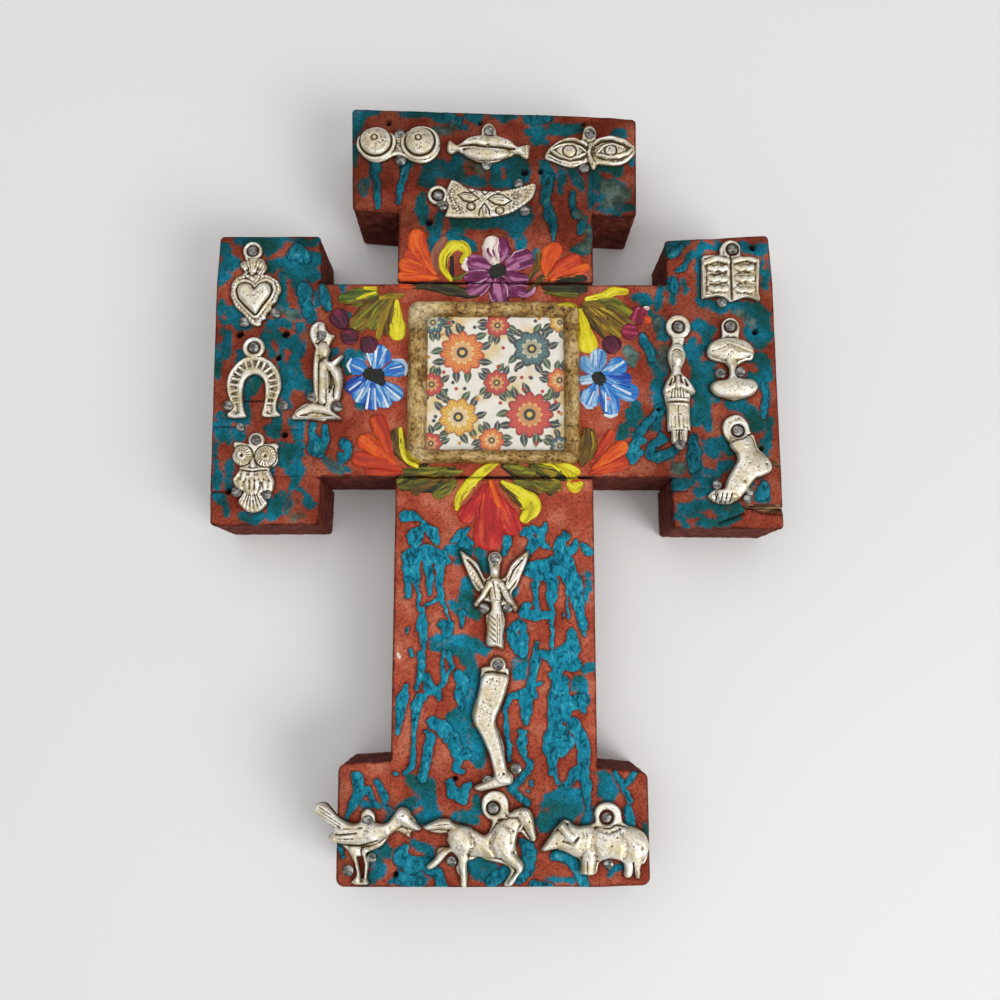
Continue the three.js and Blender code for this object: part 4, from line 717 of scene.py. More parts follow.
def buildBoard(node, material):
    # a face grid bent over its arris, walls carried down from its rim, and a flat back
    corners = np.array(boardCorners[node], float)
    thickness, arris, corner, pitch = wood["thickness"], wood["arris"], wood["corner"], wood["pitch"]
    width = np.linalg.norm(corners[1] - corners[0])
    height = np.linalg.norm(corners[3] - corners[0])
    cols, rows = int(width / pitch) + 1, int(height / pitch) + 1
    a, b = np.meshgrid(np.linspace(0, width, cols), np.linspace(0, height, rows))

    # round the four upright corners, but not where another board is glued on: a square is squeezed into a quarter disc
    seamed = np.maximum(glued(corners[:, 0], corners[:, 1], glueLines["upright"]),
                        glued(corners[:, 1], corners[:, 0], glueLines["level"]))
    radius = np.where(seamed > 0.4, 0.05, np.where(np.abs(np.abs(corners[:, 0]) - 28.5) < 0.6, 0.6, np.where(corners[:, 1] < -75, 1.7 * corner, corner)))
    lower = np.where(a < width / 2, radius[0], radius[1])
    upper = np.where(a < width / 2, radius[3], radius[2])
    round_ = np.where(b < height / 2, lower, upper)
    da, db = np.minimum(a, width - a), np.minimum(b, height - b)
    qa, qb = round_ - da, round_ - db
    inside = (qa > 0) & (qb > 0)
    most = np.maximum(qa, qb)
    squeeze = np.where(inside, most / np.maximum(np.hypot(qa, qb), 1e-9), 1)
    na = np.where(inside, round_ - qa * squeeze, da)
    nb = np.where(inside, round_ - qb * squeeze, db)
    a = np.where(a < width / 2, na, width - na)
    b = np.where(b < height / 2, nb, height - nb)
    s, t = a / width, b / height
    xy = ((1 - s) * (1 - t))[..., None] * corners[0] + (s * (1 - t))[..., None] * corners[1]
    xy = xy + (s * t)[..., None] * corners[2] + ((1 - s) * t)[..., None] * corners[3]
    x, y = xy[..., 0], xy[..., 1]
    seamX, seamY = glued(x, y, glueLines["upright"]), glued(y, x, glueLines["level"])
    depth = np.minimum(da + 5 * seamX, db + 5 * seamY)
    depth = np.where(inside, round_ - most, depth)     # distance in from the nearest free edge

    # the arris: a worn quarter round, a little uneven, and slight beside the cracks
    beside = (np.abs(x) < 28.6) & ((np.abs(y - 57.7) < 2) | (np.abs(y + 0.4) < 2))
    soft = np.where(beside, wood["crackEdge"], arris) * (1 + 0.35 * noise(x, y, 0, 5, 3))
    drop = np.where(depth < soft, soft - np.sqrt(np.clip(soft ** 2 - (soft - depth) ** 2, 0, None)), 0)
    warpX = 0.5 * noise(x, y, 0, 2.6, 11) + 0.22 * noise(x, y, 0, 0.9, 12)
    warpY = 0.5 * noise(x, y, 0, 2.6, 13) + 0.22 * noise(x, y, 0, 0.9, 14)
    fields = {key: strokeField(x + warpX, y + warpY, runs) for key, runs in strokes.items()}
    bareDepth = fields["bareRed"]
    thick = np.minimum(fields["thickTeal"] + 0.12, -bareDepth)
    thin = np.clip(np.minimum(fields["thinTeal"] + 0.25 - 0.35 * smooth(-70, -90, y), -bareDepth), None, 0.8)
    ridges = 1 + 0.8 * noise(x, y * 0.35, 0, 0.9, 21) + 0.3 * noise(x, y, 0, 0.5, 22)
    rise = wood["tealBlob"] * (1 - np.exp(-np.clip(thick, 0, None) / 0.35)) * ridges
    rise = np.maximum(rise, wood["tealFlat"] * (1 - np.exp(-np.clip(thin, 0, None) / 0.4)) * ridges)
    rough = 0.07 * noise(x, y, 0, 1.1, 31) + 0.06 * noise(x, y * 0.4, 0, 2.8, 32)
    z = thickness - drop + (rise + rough) * smooth(0, 0.6, depth)

    # torn fibres, splits and empty nail holes go down into the wood
    torn = smooth(-0.1, 0.25, fields["splinters"])
    z = z - torn * (0.5 + 0.4 * noise(x * 0.12, y, 0, 0.45, 33))
    split = smooth(-0.16, 0.1, strokeField(x, y, strokes["cracks"]))
    z = z - 0.7 * split
    # dark: splits and empty nail holes are painted near black as shade
    dark = 0.9 * split
    for holeX, holeY, holeRadius in nailHoles:
        inHole = smooth(0.22, -0.14, np.hypot(x - holeX, y - holeY) - holeRadius)
        z = z - 1.6 * inHole
        dark = np.maximum(dark, inHole)
    line = np.maximum(seamX * smooth(0.5, 0.0, da), seamY * smooth(0.5, 0.0, db))
    dark = np.maximum(dark, 0.12 * line * smooth(-0.2, 0.5, noise(x, y, 0, 3.5, 34)))
    # the paint is darker with dirt on the cap, the arms' ends and, a little, the foot
    grimeAndShade = np.maximum(smooth(45, 85, y), 0.55 * smooth(30, 48, np.abs(x)))
    grimeAndShade = np.maximum(grimeAndShade, 0.3 * smooth(-66, -96, y)) * (1 + 0.5 * noise(x, y, 0, 7, 36))
    # the dark band round the charms is painted shadow and dirt, carried in the same mask as the grime
    grimeAndShade = np.maximum(grimeAndShade, 0.9 * shadeAndDirtBesideCharms(x, y))
    # painted shade along the face's edge beside the two open cracks
    dark = np.maximum(dark, 0.8 * beside * smooth(0.3, 0.0, depth))

    face = np.stack([x, y, z], -1).reshape(-1, 3)
    # the rim, anticlockwise from the first corner
    index = np.arange(rows * cols).reshape(rows, cols)
    rim = np.concatenate([index[0, :-1], index[:-1, -1], index[-1, :0:-1], index[:0:-1, 0]])
    around = len(rim)
    levels = np.linspace(thickness - arris, arris, 20)[1:]
    foot = arris - arris * np.cos(np.linspace(0, np.pi / 2, 4)[1:])
    outline = face[rim][:, :2]
    ahead, behind = np.roll(outline, -1, 0), np.roll(outline, 1, 0)
    along = ahead - behind
    outward = np.stack([along[:, 1], -along[:, 0]], -1) / np.maximum(np.linalg.norm(along, axis=1), 1e-9)[:, None]
    rings = []
    for level in levels:
        saw = 0.12 * noise(outline[:, 0], outline[:, 1], level, 1.6, 41)
        saw = saw + 0.1 * noise(outline[:, 0] * 3, outline[:, 1] * 3, level * 0.5, 2.2, 42)
        ring = outline + outward * (saw - 0.12)[:, None]
        rings.append(np.column_stack([ring, np.full(around, level)]))
    for angle, inset in zip(np.linspace(0, np.pi / 2, 4)[1:], foot):
        ring = outline - outward * (inset + 0.12)
        rings.append(np.column_stack([ring, np.full(around, arris * (1 - np.sin(angle)))]))
    walls = np.concatenate(rings)
    points = np.concatenate([face, walls])
    first = len(face)
    chain = np.concatenate([rim[None, :], first + np.arange(len(walls)).reshape(-1, around)])
    here, below = chain[:-1], chain[1:]
    wallFaces = np.stack([here, below, np.roll(below, -1, 1), np.roll(here, -1, 1)], -1).reshape(-1, 4)
    back = chain[-1][::-1][None, :]
    # the sides' darker colour reaches onto the face's rounded edge: darker paint and painted shade
    sideShare = smooth(0.8, 0.1, depth + 0.25 * noise(x, y, 0, 1.5, 35))
    onWalls = {"thick": -9, "thin": -9, "side": 1, "dark": 0, "worn": -9, "torn": 0, "grimeAndShade": 0}
    onFace = {"thick": thick, "thin": thin, "side": sideShare, "dark": dark, "worn": fields["worn"], "torn": torn,
              "grimeAndShade": np.clip(grimeAndShade, 0, 1)}
    attributes = {key: np.concatenate([onFace[key].ravel(), np.full(len(walls), value)]) for key, value in onWalls.items()}
    piece = addMesh("painted_" + node, points, [gridFaces(rows, cols), wallFaces, back], material,
                    attributes)
    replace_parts(piece, node)
    return piece


# Cast charms

def curveThrough(points, steps=5):
    # closed smooth curve through the points: on each side, a cubic whose slopes are the chords of its neighbours
    p1 = np.array(points, float)
    p0, p2, p3 = np.roll(p1, 1, 0), np.roll(p1, -1, 0), np.roll(p1, -2, 0)
    t = (np.arange(steps) / steps)[None, :, None]
    p0, p1, p2, p3 = (p[:, None, :] for p in (p0, p1, p2, p3))
    curve = 0.5 * (2 * p1 + (p2 - p0) * t + (2 * p0 - 5 * p1 + 4 * p2 - p3) * t ** 2
                   + (3 * p1 - p0 - 3 * p2 + p3) * t ** 3)
    return curve.reshape(-1, 2)


def insideDistance(x, y, outline):
    # distance in from a closed outline, in mm, negative outside: least distance to its sides, signed by crossings
    least = np.full(x.shape, 1e9)
    inside = np.zeros(x.shape, bool)
    for (ax, ay), (bx, by) in zip(outline, np.roll(outline, -1, 0)):
        ex, ey = bx - ax, by - ay
        t = np.clip(((x - ax) * ex + (y - ay) * ey) / (ex * ex + ey * ey + 1e-12), 0, 1)
        least = np.minimum(least, (x - ax - t * ex) ** 2 + (y - ay - t * ey) ** 2)
        if ay != by:
            inside ^= ((ay > y) != (by > y)) & (x < ax + (y - ay) * ex / ey)
    return np.where(inside, 1, -1) * np.sqrt(least)


def ellipseDepth(x, y, cx, cy, halfWidth, halfHeight, turn=0):
    # 1 at the middle of a turned ellipse and 0 on its edge
    c, s = math.cos(math.radians(turn)), math.sin(math.radians(turn))
    u, v = (x - cx) * c + (y - cy) * s, (y - cy) * c - (x - cx) * s
    return 1 - np.hypot(u / halfWidth, v / halfHeight)


def dome(depth):
    # height of a half round, from how far in a point is, 0 to 1
    return np.sqrt(np.clip(1 - (1 - np.clip(depth, 0, 1)) ** 2, 0, 1))


def runDepth(x, y, run):
    # 1 on the middle of a tapering run of (x, y, half width) and 0 at its edge
    best = np.full(x.shape, -9.0)
    for (ax, ay, ar), (bx, by, br) in zip(run[:-1], run[1:]):
        length = (bx - ax) ** 2 + (by - ay) ** 2 + 1e-9
        t = np.clip(((x - ax) * (bx - ax) + (y - ay) * (by - ay)) / length, 0, 1)
        away = np.hypot(x - ax - t * (bx - ax), y - ay - t * (by - ay))
        best = np.maximum(best, 1 - away / (ar + (br - ar) * t))
    return best


def relief(x, y, forms):
    # bodies are blended, each keeping the greatest height, and then lines are raised on them or cut into them
    total = np.zeros(x.shape)
    for kind, *v in forms:
        if kind == "mound":
            body = v[5] * dome(ellipseDepth(x, y, *v[:5]))
        elif kind == "limb":
            body = v[1] * dome(runDepth(x, y, v[0]))
        elif kind == "plate":
            body = v[1] * dome(insideDistance(x, y, curveThrough(v[0], 3)) / v[2])
        else:
            continue
        total = (total ** 4 + body ** 4) ** 0.25
    for kind, *v in forms:
        if kind == "ridge":
            total += v[1] * dome(runDepth(x, y, v[0]))
        elif kind == "groove":
            total -= v[1] * smooth(0, 0.8, runDepth(x, y, v[0]))
        elif kind == "bead":
            total += v[3] * dome(ellipseDepth(x, y, v[0], v[1], v[2], v[2]))
        elif kind == "pit":
            total -= v[3] * smooth(0, 0.8, ellipseDepth(x, y, v[0], v[1], v[2], v[2]))
        elif kind == "ring":
            total += v[4] * dome(1 - np.abs(np.hypot(x - v[0], y - v[1]) - v[2]) / v[3])
        elif kind == "moat":
            total -= v[4] * smooth(0, 0.8, 1 - np.abs(np.hypot(x - v[0], y - v[1]) - v[2]) / v[3])
        elif kind == "rays":
            cx, cy, near, far, count, height = v
            angle, away = np.arctan2(y - cy, x - cx), np.hypot(x - cx, y - cy)
            total += height * np.cos(angle * count) * smooth(near, near + 0.3, away) * smooth(far, far - 0.3, away)
        elif kind == "fan":
            cx, cy, near, far, start, end, count, height = v
            angle, away = np.degrees(np.arctan2(y - cy, x - cx)) % 360, np.hypot(x - cx, y - cy)
            share = (angle - start) / (end - start)
            within = smooth(0, 0.03, share) * smooth(1, 0.97, share) * smooth(near, near + 0.3, away)
            total += height * np.cos(share * count * 2 * math.pi) * within * smooth(far, far - 0.3, away)
    return total


def beadRow(points, count, radius, height):
    # beads evenly along a run of (x, y)
    points = np.array(points, float)
    reach = np.concatenate([[0], np.cumsum(np.hypot(*np.diff(points, axis=0).T))])
    at = np.linspace(0, reach[-1], count)
    xs, ys = np.interp(at, reach, points[:, 0]), np.interp(at, reach, points[:, 1])
    return [("bead", a, b, radius, height) for a, b in zip(xs, ys)]


casting = {
    "back": 25.35,         # mm, where the charms lie
    "wall": 0.55,          # mm, upright part of the edge
    "thickness": 1.45,     # mm, plate without its relief
    "edge": 0.75,          # mm, rounding of the edge
    "pitch": 0.17,         # mm, spacing of the mesh
    "ripple": 0.055,       # mm, unevenness left by the mould
}

# Each outline is measured from the charm's nail; its forms are measured from the middle of the cross.
# All are in millimetres, and a form's last number is its height or depth.
charms = {
    "domes": {
        "nail": (-28.8, 103.9), "eye": 0,
        "outline": [
            (0.2, -1), (3.7, 1.8), (6.8, 2.5), (9.9, 1.6), (11.8, -0.5), (12.3, -3.4), (11.6, -6.3), (9.6, -8.4),
            (7, -9.3), (4.4, -8.9), (-0.5, -6.9), (-4.4, -8.6), (-6.9, -9.2), (-9.4, -8.5), (-11.5, -6.6),
            (-12.8, -4.3), (-12.6, -1.6), (-10.5, 0.7), (-7.5, 1.9), (-4.6, 1.5), (-2.4, 0.2),
        ],
        "forms": [
            ("mound", -35.9, 101.4, 4.9, 4.7, 0, 1.9), ("mound", -22.7, 101.3, 4.6, 4.6, 0, 1.9),
            ("ring", -35.9, 101.3, 5.5, 0.55, 0.5), ("ring", -22.7, 101.2, 5.2, 0.55, 0.5),
            ("moat", -35.9, 101.4, 4.7, 0.4, 0.5), ("moat", -22.7, 101.3, 4.4, 0.4, 0.5),
            ("bead", -36.2, 101.8, 0.6, 0.45), ("bead", -23.1, 101.8, 0.6, 0.45),
            ("moat", -36.2, 101.8, 0.9, 0.35, 0.2), ("moat", -23.1, 101.8, 0.9, 0.35, 0.2),
            ("rays", -35.9, 101.4, 2.7, 4.5, 38, 0.07), ("rays", -22.7, 101.3, 2.6, 4.2, 38, 0.07),
        ],
    },
    "lips": {
        "nail": (-2.1, 104.8), "eye": 1.15,
        "outline": [
            (-2.6, -1.2), (-5.8, -2), (-9.2, -4.4), (-10.9, -3.3), (-12, -3.1), (-12.5, -4.7), (-12.4, -6.4),
            (-11.2, -7.2), (-9, -6.6), (-6.3, -8.5), (-3.6, -9.7), (-0.5, -10.1), (2.9, -9.6), (5.9, -8.3),
            (8.3, -7.3), (10.9, -8.6), (12, -8.2), (12.3, -6.1), (12.3, -4.3), (11.2, -4.1), (8.6, -4.8),
            (6.3, -3), (2.7, -1.3), (2.2, 0.6), (1.1, 2.4), (0, 2.8), (-1.2, 2.3), (-2.2, 0.8),
        ],
        "forms": [
            ("mound", -6.2, 101.3, 5.4, 2, 10, 1.2), ("mound", 1.6, 101, 5.4, 2, -12, 1.2),
            ("mound", -2.8, 97.6, 7, 2.2, 0, 1.4), ("limb", [(-11, 99.5, 1.2), (-13.6, 100.2, 1.6)], 0.6),
            ("limb", [(5.5, 98.8, 1.2), (9, 98.8, 1.7)], 0.6),
            ("groove", [(-11, 99.8, 0.4), (-6, 100.1, 0.6), (-2.7, 99.4, 0.6), (2, 99.3, 0.6), (5.6, 98.9, 0.4)], 1.1),
            ("groove", [(-2.4, 101.6, 0.9), (-2.2, 103.2, 1.3)], 0.16),
            ("ridge", [(-13.6, 101.2, 0.5), (-13.9, 98.6, 0.5)], 0.25),
            ("ridge", [(9.2, 100, 0.5), (9.4, 97.4, 0.5)], 0.25),
        ],
    },
    "eyes": {
        "nail": (28.2, 104), "eye": 1.15,
        "outline": [
            (-2.7, -1.9), (-4.3, -1.2), (-7.3, -1.4), (-10.2, -2.9), (-12.9, -5.4), (-13.6, -7.1), (-13.1, -8.1),
            (-10.6, -9), (-7.8, -10.2), (-5.1, -10.5), (-2.9, -9.8), (-0.8, -9), (0, -10.2), (0.6, -11.1),
            (1.5, -10.9), (2.2, -9.6), (4, -9.7), (6.8, -9.9), (9.3, -9.6), (11.6, -8.3), (13.4, -6.1),
            (13.3, -4.2), (11.7, -2.1), (8.9, -0.9), (5.1, -0.4), (2, -1.4), (2.1, 0.4), (1.5, 2.1), (0, 2.9),
            (-1.5, 2.2), (-2.2, 0.4),
        ],
        "forms": [
            ("ridge", [(15.6, 99, 0.5), (18.6, 101.6, 0.75), (22.6, 102.4, 0.8), (26, 101.2, 0.7), (28.2, 99.6, 0.6)], 0.8),
            ("ridge", [(28.4, 99.8, 0.6), (31, 102, 0.8), (34.6, 102.7, 0.8), (38.4, 101.7, 0.7), (41, 99.4, 0.5)], 0.8),
            ("groove", [(17.4, 99.9, 0.35), (20, 101.3, 0.6), (23.6, 101.5, 0.6), (26.4, 100.1, 0.35)], 0.8),
            ("groove", [(29.6, 100.2, 0.4), (31.6, 101.7, 0.7), (34.8, 101.8, 0.6), (37.6, 100.7, 0.35)], 0.8),
            ("mound", 21.8, 98.2, 5.2, 2.4, -3, 0.9), ("mound", 34.3, 98.5, 4.8, 2.3, 3, 0.8),
            ("ridge", [(16.4, 98.6, 0.3), (19.4, 100.4, 0.4), (22.6, 100.8, 0.4), (25.4, 99.6, 0.4), (27.4, 97.9, 0.3)], 0.45),
            ("ridge", [(16.4, 98.6, 0.3), (19, 96.6, 0.4), (22.2, 95.8, 0.4), (25.2, 96.6, 0.4), (27.4, 97.9, 0.3)], 0.45),
            ("ridge", [(30.2, 97.6, 0.3), (32.2, 100, 0.4), (35, 100.6, 0.4), (38, 99.6, 0.3)], 0.4),
            ("ridge", [(30, 97.2, 0.4), (33, 96.4, 0.6), (36.6, 96.6, 0.6), (39.4, 97.8, 0.6), (41, 99.4, 0.5)], 0.6),
            ("ridge", [(15.2, 97.4, 0.3), (18.6, 95.6, 0.4), (22, 94.7, 0.4), (25.4, 95.3, 0.3)], 0.3),
            ("groove", [(15.6, 96.7, 0.2), (19.4, 94.9, 0.25)], 0.35),
            ("groove", [(15.4, 97.9, 0.2), (19.6, 95.9, 0.25)], 0.3),
            ("moat", 22, 98.2, 2, 0.4, 0.45), ("bead", 22, 98.2, 1.4, 0.2),
            ("moat", 34.3, 98.5, 1.8, 0.4, 0.4), ("bead", 34.3, 98.5, 1.2, 0.2), ("pit", 34, 99, 0.4, 0.4),
            ("ridge", [(28.3, 100.4, 0.6), (27.8, 97.6, 0.5), (28.6, 95, 0.8)], 0.7),
            ("bead", 27.9, 94.4, 0.6, 0.5), ("bead", 29.3, 94.6, 0.6, 0.5),
            *[("groove", [(a, 102.6 - b, 0.14), (a + 0.5, 101.6 - b, 0.14)], 0.3)
              for a, b in ((36.2, 0), (37, 0.2), (37.8, 0.5), (38.6, 0.9), (39.3, 1.4))],
        ],
    },
    "horn_plate": {
        "nail": (-17.2, 84.6), "eye": 1.85, "ring": 3.1,
        "outline": [
            (4.6, 4.8), (6.2, 4.1), (8, 2.7), (10.1, 1.9), (16.9, 1.3), (23.2, 2.2), (28.8, 3.8), (28.6, 0.1),
            (26.4, -2.5), (22.6, -5.1), (19.8, -6.1), (15.8, -6.9), (11.3, -7.1), (2.8, -6.9), (2.4, -5.7),
            (3, -3.3), (2.6, -2.4), (2.2, 0), (2.8, 2.4), (3.8, 4.6),
        ],
        "forms": [
            ("mound", -8.1, 83.8, 3, 1.3, -9, 0.5), ("mound", 1.2, 83, 3.3, 1.6, -5, 0.5),
            ("groove", [(-11.2, 84.6, 0.25), (-9.4, 85.4, 0.35), (-7, 85, 0.35), (-4.9, 83.4, 0.25)], 0.5),
            ("groove", [(-11.2, 84.6, 0.25), (-9.6, 82.8, 0.35), (-7.2, 82.2, 0.35), (-4.9, 83.4, 0.25)], 0.5),
            ("groove", [(-2.5, 83.3, 0.25), (-0.4, 84.7, 0.35), (2, 84.6, 0.35), (4.7, 82.8, 0.25)], 0.5),
            ("groove", [(-2.5, 83.3, 0.25), (-0.2, 81.6, 0.35), (2.4, 81.3, 0.35), (4.7, 82.8, 0.25)], 0.5),
            ("ridge", [(-9.8, 84.1, 0.25), (-6, 83.5, 0.25)], 0.25), ("ridge", [(-1, 83.2, 0.25), (3.4, 82.9, 0.25)], 0.25),
            ("groove", [(-4.9, 87, 0.25), (-4, 85.4, 0.3), (-3.2, 84.6, 0.3), (-2.4, 85.4, 0.3), (-1.6, 87, 0.25)], 0.5),
            ("groove", [(-5, 78, 0.25), (-4.7, 80, 0.3), (-3.4, 82, 0.3), (-2, 80, 0.3), (-1.7, 78, 0.25)], 0.5),
            ("ridge", [(-3.4, 78, 0.3), (-3.4, 80.2, 0.35)], 0.4), ("bead", -3.2, 86.2, 0.6, 0.3),
            ("bead", -7.1, 86.6, 0.95, 0.7), ("bead", 0.6, 86.2, 0.9, 0.7), ("bead", -7.3, 80.9, 1, 0.8),
            ("bead", 1.2, 79.7, 1, 0.8), ("moat", -7.3, 80.9, 1.25, 0.25, 0.3), ("moat", 1.2, 79.7, 1.25, 0.25, 0.3),
            ("moat", -7.1, 86.6, 1.2, 0.25, 0.3), ("moat", 0.6, 86.2, 1.15, 0.25, 0.3),
            *beadRow([(-10.2, 87.8), (-12.8, 86.3), (-13.2, 84.6), (-12.5, 82), (-10.9, 79.2)], 13, 0.34, 0.35),
            *beadRow([(3.4, 86.2), (6.6, 86.6), (10.6, 88)], 8, 0.34, 0.35),
            *beadRow([(4.4, 79.6), (7.6, 81.4), (9.8, 84), (10.8, 87)], 9, 0.34, 0.3),
        ],
    },
    "heart": {
        "nail": (-71.4, 66.9), "eye": 1.7, "ring": 2.9,
        "outline": [
            (-2, -1.7), (-2.2, -2.9), (-3.4, -3.8), (-3.4, -5.1), (-2.3, -6.4), (-3, -7.5), (-4.3, -7.9), (-5.1, -8.9),
            (-5.8, -10.3), (-5.9, -12.3), (-6, -13.7), (-5.3, -15.3), (-4.6, -17), (-3.5, -18.2), (-2.2, -19.3),
            (-1.2, -20.6), (0.2, -22.2), (1.9, -23), (3.2, -22.6), (3.5, -21.4), (4.6, -20.6), (4.9, -19.2),
            (6.1, -18), (6.4, -16.6), (7.6, -15.4), (8, -13.8), (8.8, -12.2), (8.5, -10.4), (7.6, -9),
            (6.2, -8.1), (5, -7.2), (3.6, -7.1), (4.6, -5.2), (3.7, -3.2), (2.3, -2.2),
        ],
        "forms": [
            ("plate", [(-70.3, 54.9), (-71.4, 56.2), (-72.9, 56.7), (-74.6, 56.1), (-75.2, 54.4),
                       (-74.5, 52.0), (-72.6, 49.9), (-70.2, 47.7), (-69.4, 47.8), (-67.9, 50.2),
                       (-66.2, 52.6), (-65.5, 54.4), (-66.0, 56.2), (-67.5, 56.9),
                       (-69.1, 56.3)], 1.5, 1.5),
            ("groove", [(-70.3, 55.1, 0.35), (-71.5, 56.5, 0.35), (-73.1, 57.0, 0.35), (-74.9, 56.3, 0.35),
                        (-75.5, 54.5, 0.35), (-74.8, 52.0, 0.35), (-72.7, 49.7, 0.35), (-70.2, 47.3, 0.35),
                        (-69.3, 47.5, 0.35), (-67.7, 50.0, 0.35), (-65.9, 52.6, 0.35), (-65.2, 54.5, 0.35),
                        (-65.7, 56.4, 0.35), (-67.3, 57.2, 0.35), (-69.0, 56.6, 0.35),
                        (-70.3, 55.1, 0.35)], 0.45),
            ("ridge", [(-70.3, 55.5, 0.4), (-71.7, 57.2, 0.4), (-73.5, 57.7, 0.4), (-75.6, 57.0, 0.4),
                       (-76.3, 54.9, 0.4), (-75.5, 52.0, 0.4), (-73.1, 49.3, 0.4), (-70.2, 46.6, 0.4),
                       (-69.2, 46.8, 0.4), (-67.3, 49.7, 0.4), (-65.2, 52.6, 0.4), (-64.4, 54.9, 0.4),
                       (-65.0, 57.1, 0.4), (-66.9, 58.0, 0.4), (-68.8, 57.3, 0.4),
                       (-70.3, 55.5, 0.4)], 0.3),
            ("limb", [(-73.6, 61.6, 1.1), (-70.8, 63.4, 1.3), (-68, 61.8, 1.1)], 0.9),
            ("limb", [(-71, 60.8, 1.2), (-70.8, 64.4, 1.4)], 1.0),
            ("fan", -70.9, 57.8, 1.8, 7.2, 40, 140, 9, 0.16),
            ("pit", -72.4, 59.8, 0.6, 0.5), ("pit", -70, 59.8, 0.6, 0.5), ("bead", -71.2, 59.7, 0.5, 0.8),
            *beadRow([(-72.6, 59.1), (-75.2, 58.3), (-76.8, 55.6), (-76.3, 51.4), (-73.4, 48), (-70.6, 45.6)],
                     17, 0.44, 0.4),
            *beadRow([(-69.4, 58.9), (-66.6, 59.2), (-64, 57.6), (-63.2, 54.6), (-64.8, 51.2), (-67.6, 47.2),
                      (-69, 45.2)], 18, 0.44, 0.4),
        ],
    },
    "horseshoe": {
        "nail": (-70, 37.5), "eye": 1.75, "ring": 3.3,
        "outline": [
            (-1.7, -2.7), (-3.3, -3.4), (-5.2, -5.1), (-6.9, -7.8), (-7.4, -10.8), (-7, -13.7), (-6.1, -16.1),
            (-5.4, -17.4), (-5.9, -18.6), (-6.9, -19.6), (-6.4, -20.7), (-4.1, -20.9), (-1.4, -20.5),
            (-2.1, -18.2), (-2.6, -14.9), (-2.5, -11.6), (-1.8, -9.3), (0.4, -8), (2.4, -8.8), (3.5, -10.7),
            (3.8, -14), (3.5, -17.3), (2.9, -19.4), (3.5, -20.5), (5.8, -20.6), (8.1, -20.3), (8.2, -19.5),
            (7.2, -18.2), (7.3, -15.7), (8.3, -12.4), (8.3, -9.9), (7.4, -6.7), (5.6, -4.4), (3.6, -3.1), (2.1, -2.6),
        ],
        "band": [(-74.5, 18.6), (-75, 22), (-75.3, 26), (-74.6, 29.2), (-72.8, 31.8), (-69.7, 33),
                 (-66.4, 31.8), (-64.4, 29), (-63.8, 25.6), (-64.6, 21.8), (-64.8, 18.6)],
        "forms": [],
    },
    "owl": {
        "nail": (-68.2, 10.1), "eye": 1.15, "ring": 2.4,
        "outline": [
            (-2.1, -1), (-4.4, -0.4), (-6.2, -0.4), (-6.5, -1.5), (-6.1, -2.8), (-6.7, -4.5), (-6.2, -6.3),
            (-4.5, -7.8), (-5.1, -9.8), (-6.2, -11.3), (-5.6, -13.2), (-4.3, -14.5), (-3, -15.1), (-4.5, -17.7),
            (-3.1, -19.6), (-1.3, -20.8), (1.1, -20.7), (2.6, -19.8), (3.8, -17.9), (2, -15.4), (4.8, -15),
            (5.5, -13.2), (5.6, -11.6), (4.8, -9.8), (4.2, -8.1), (5.6, -7.3), (6.4, -5.8), (6.4, -4.3),
            (6.1, -2.8), (6.5, -1.5), (5.2, -0.7), (2, -1.1),
        ],
        "forms": [
            ("mound", -72, 5.6, 3.1, 3.1, 0, 0.7), ("mound", -65.3, 5.4, 3.2, 3.2, 0, 0.7),
            ("mound", -68.6, -1.4, 6, 5.4, 0, 0.7), ("mound", -68.6, -7.6, 4.6, 3.4, 0, 0.4),
            ("moat", -72, 5.6, 3.1, 0.3, 0.5), ("moat", -65.3, 5.4, 3.2, 0.3, 0.5),
            ("rays", -72, 5.6, 1, 2.8, 18, 0.2), ("rays", -65.3, 5.4, 1, 2.9, 18, 0.2),
            ("ring", -72, 5.6, 0.95, 0.3, 0.3), ("ring", -65.3, 5.4, 0.95, 0.3, 0.3),
            ("pit", -72, 5.6, 0.5, 0.6), ("pit", -65.3, 5.4, 0.5, 0.6),
            ("limb", [(-68.8, 4.6, 0.5), (-68.7, 2.6, 0.9)], 1.4),
            ("ridge", [(-72.8, 2, 0.3), (-68.8, 1.4, 0.35), (-64.6, 2, 0.3)], 0.35),
            ("groove", [(-72.8, 1.4, 0.25), (-68.8, 0.8, 0.25), (-64.6, 1.4, 0.25)], 0.4),
            *[("ridge", [(a, 0.4, 0.75), (b, -1.5, 0.6)], 0.45)
              for a, b in ((-73.2, -74.2), (-71, -71.4), (-68.8, -68.8), (-66.5, -66.2), (-64.3, -63.2))],
            *[("ridge", [(a, -2.2, 0.75), (b, -4.2, 0.55)], 0.4)
              for a, b in ((-72.2, -72), (-70.1, -70.1), (-67.3, -67.3), (-65, -65))],
            ("ridge", [(-68.7, -1.8, 0.7), (-68.7, -5.6, 0.5)], 0.6),
            *[("bead", a, b, 0.85, 0.4) for a, b in ((-69.9, -0.9), (-67.6, -0.9), (-71.2, -5.6), (-69.6, -4.9),
                                                     (-67.8, -4.9), (-66.2, -5.6), (-68.7, -6.6))],
            ("fan", -68.7, -2.6, 3, 8.2, 222, 318, 10, 0.16),
        ],
    },
    "kneeling_figure": {
        "nail": (-50.3, 40.9), "eye": 1.15,
        "outline": [
            (0.6, 4.2), (-1.5, 4.5), (-3.1, 3.3), (-3.7, 1.4), (-3.4, -0.7), (-2.3, -2.8), (-1.8, -4),
            (-2.2, -6.5), (-2.3, -11), (-2, -16.1), (-1.3, -18.6), (-2.4, -19.7), (-4.2, -19.9), (-5.8, -20.9),
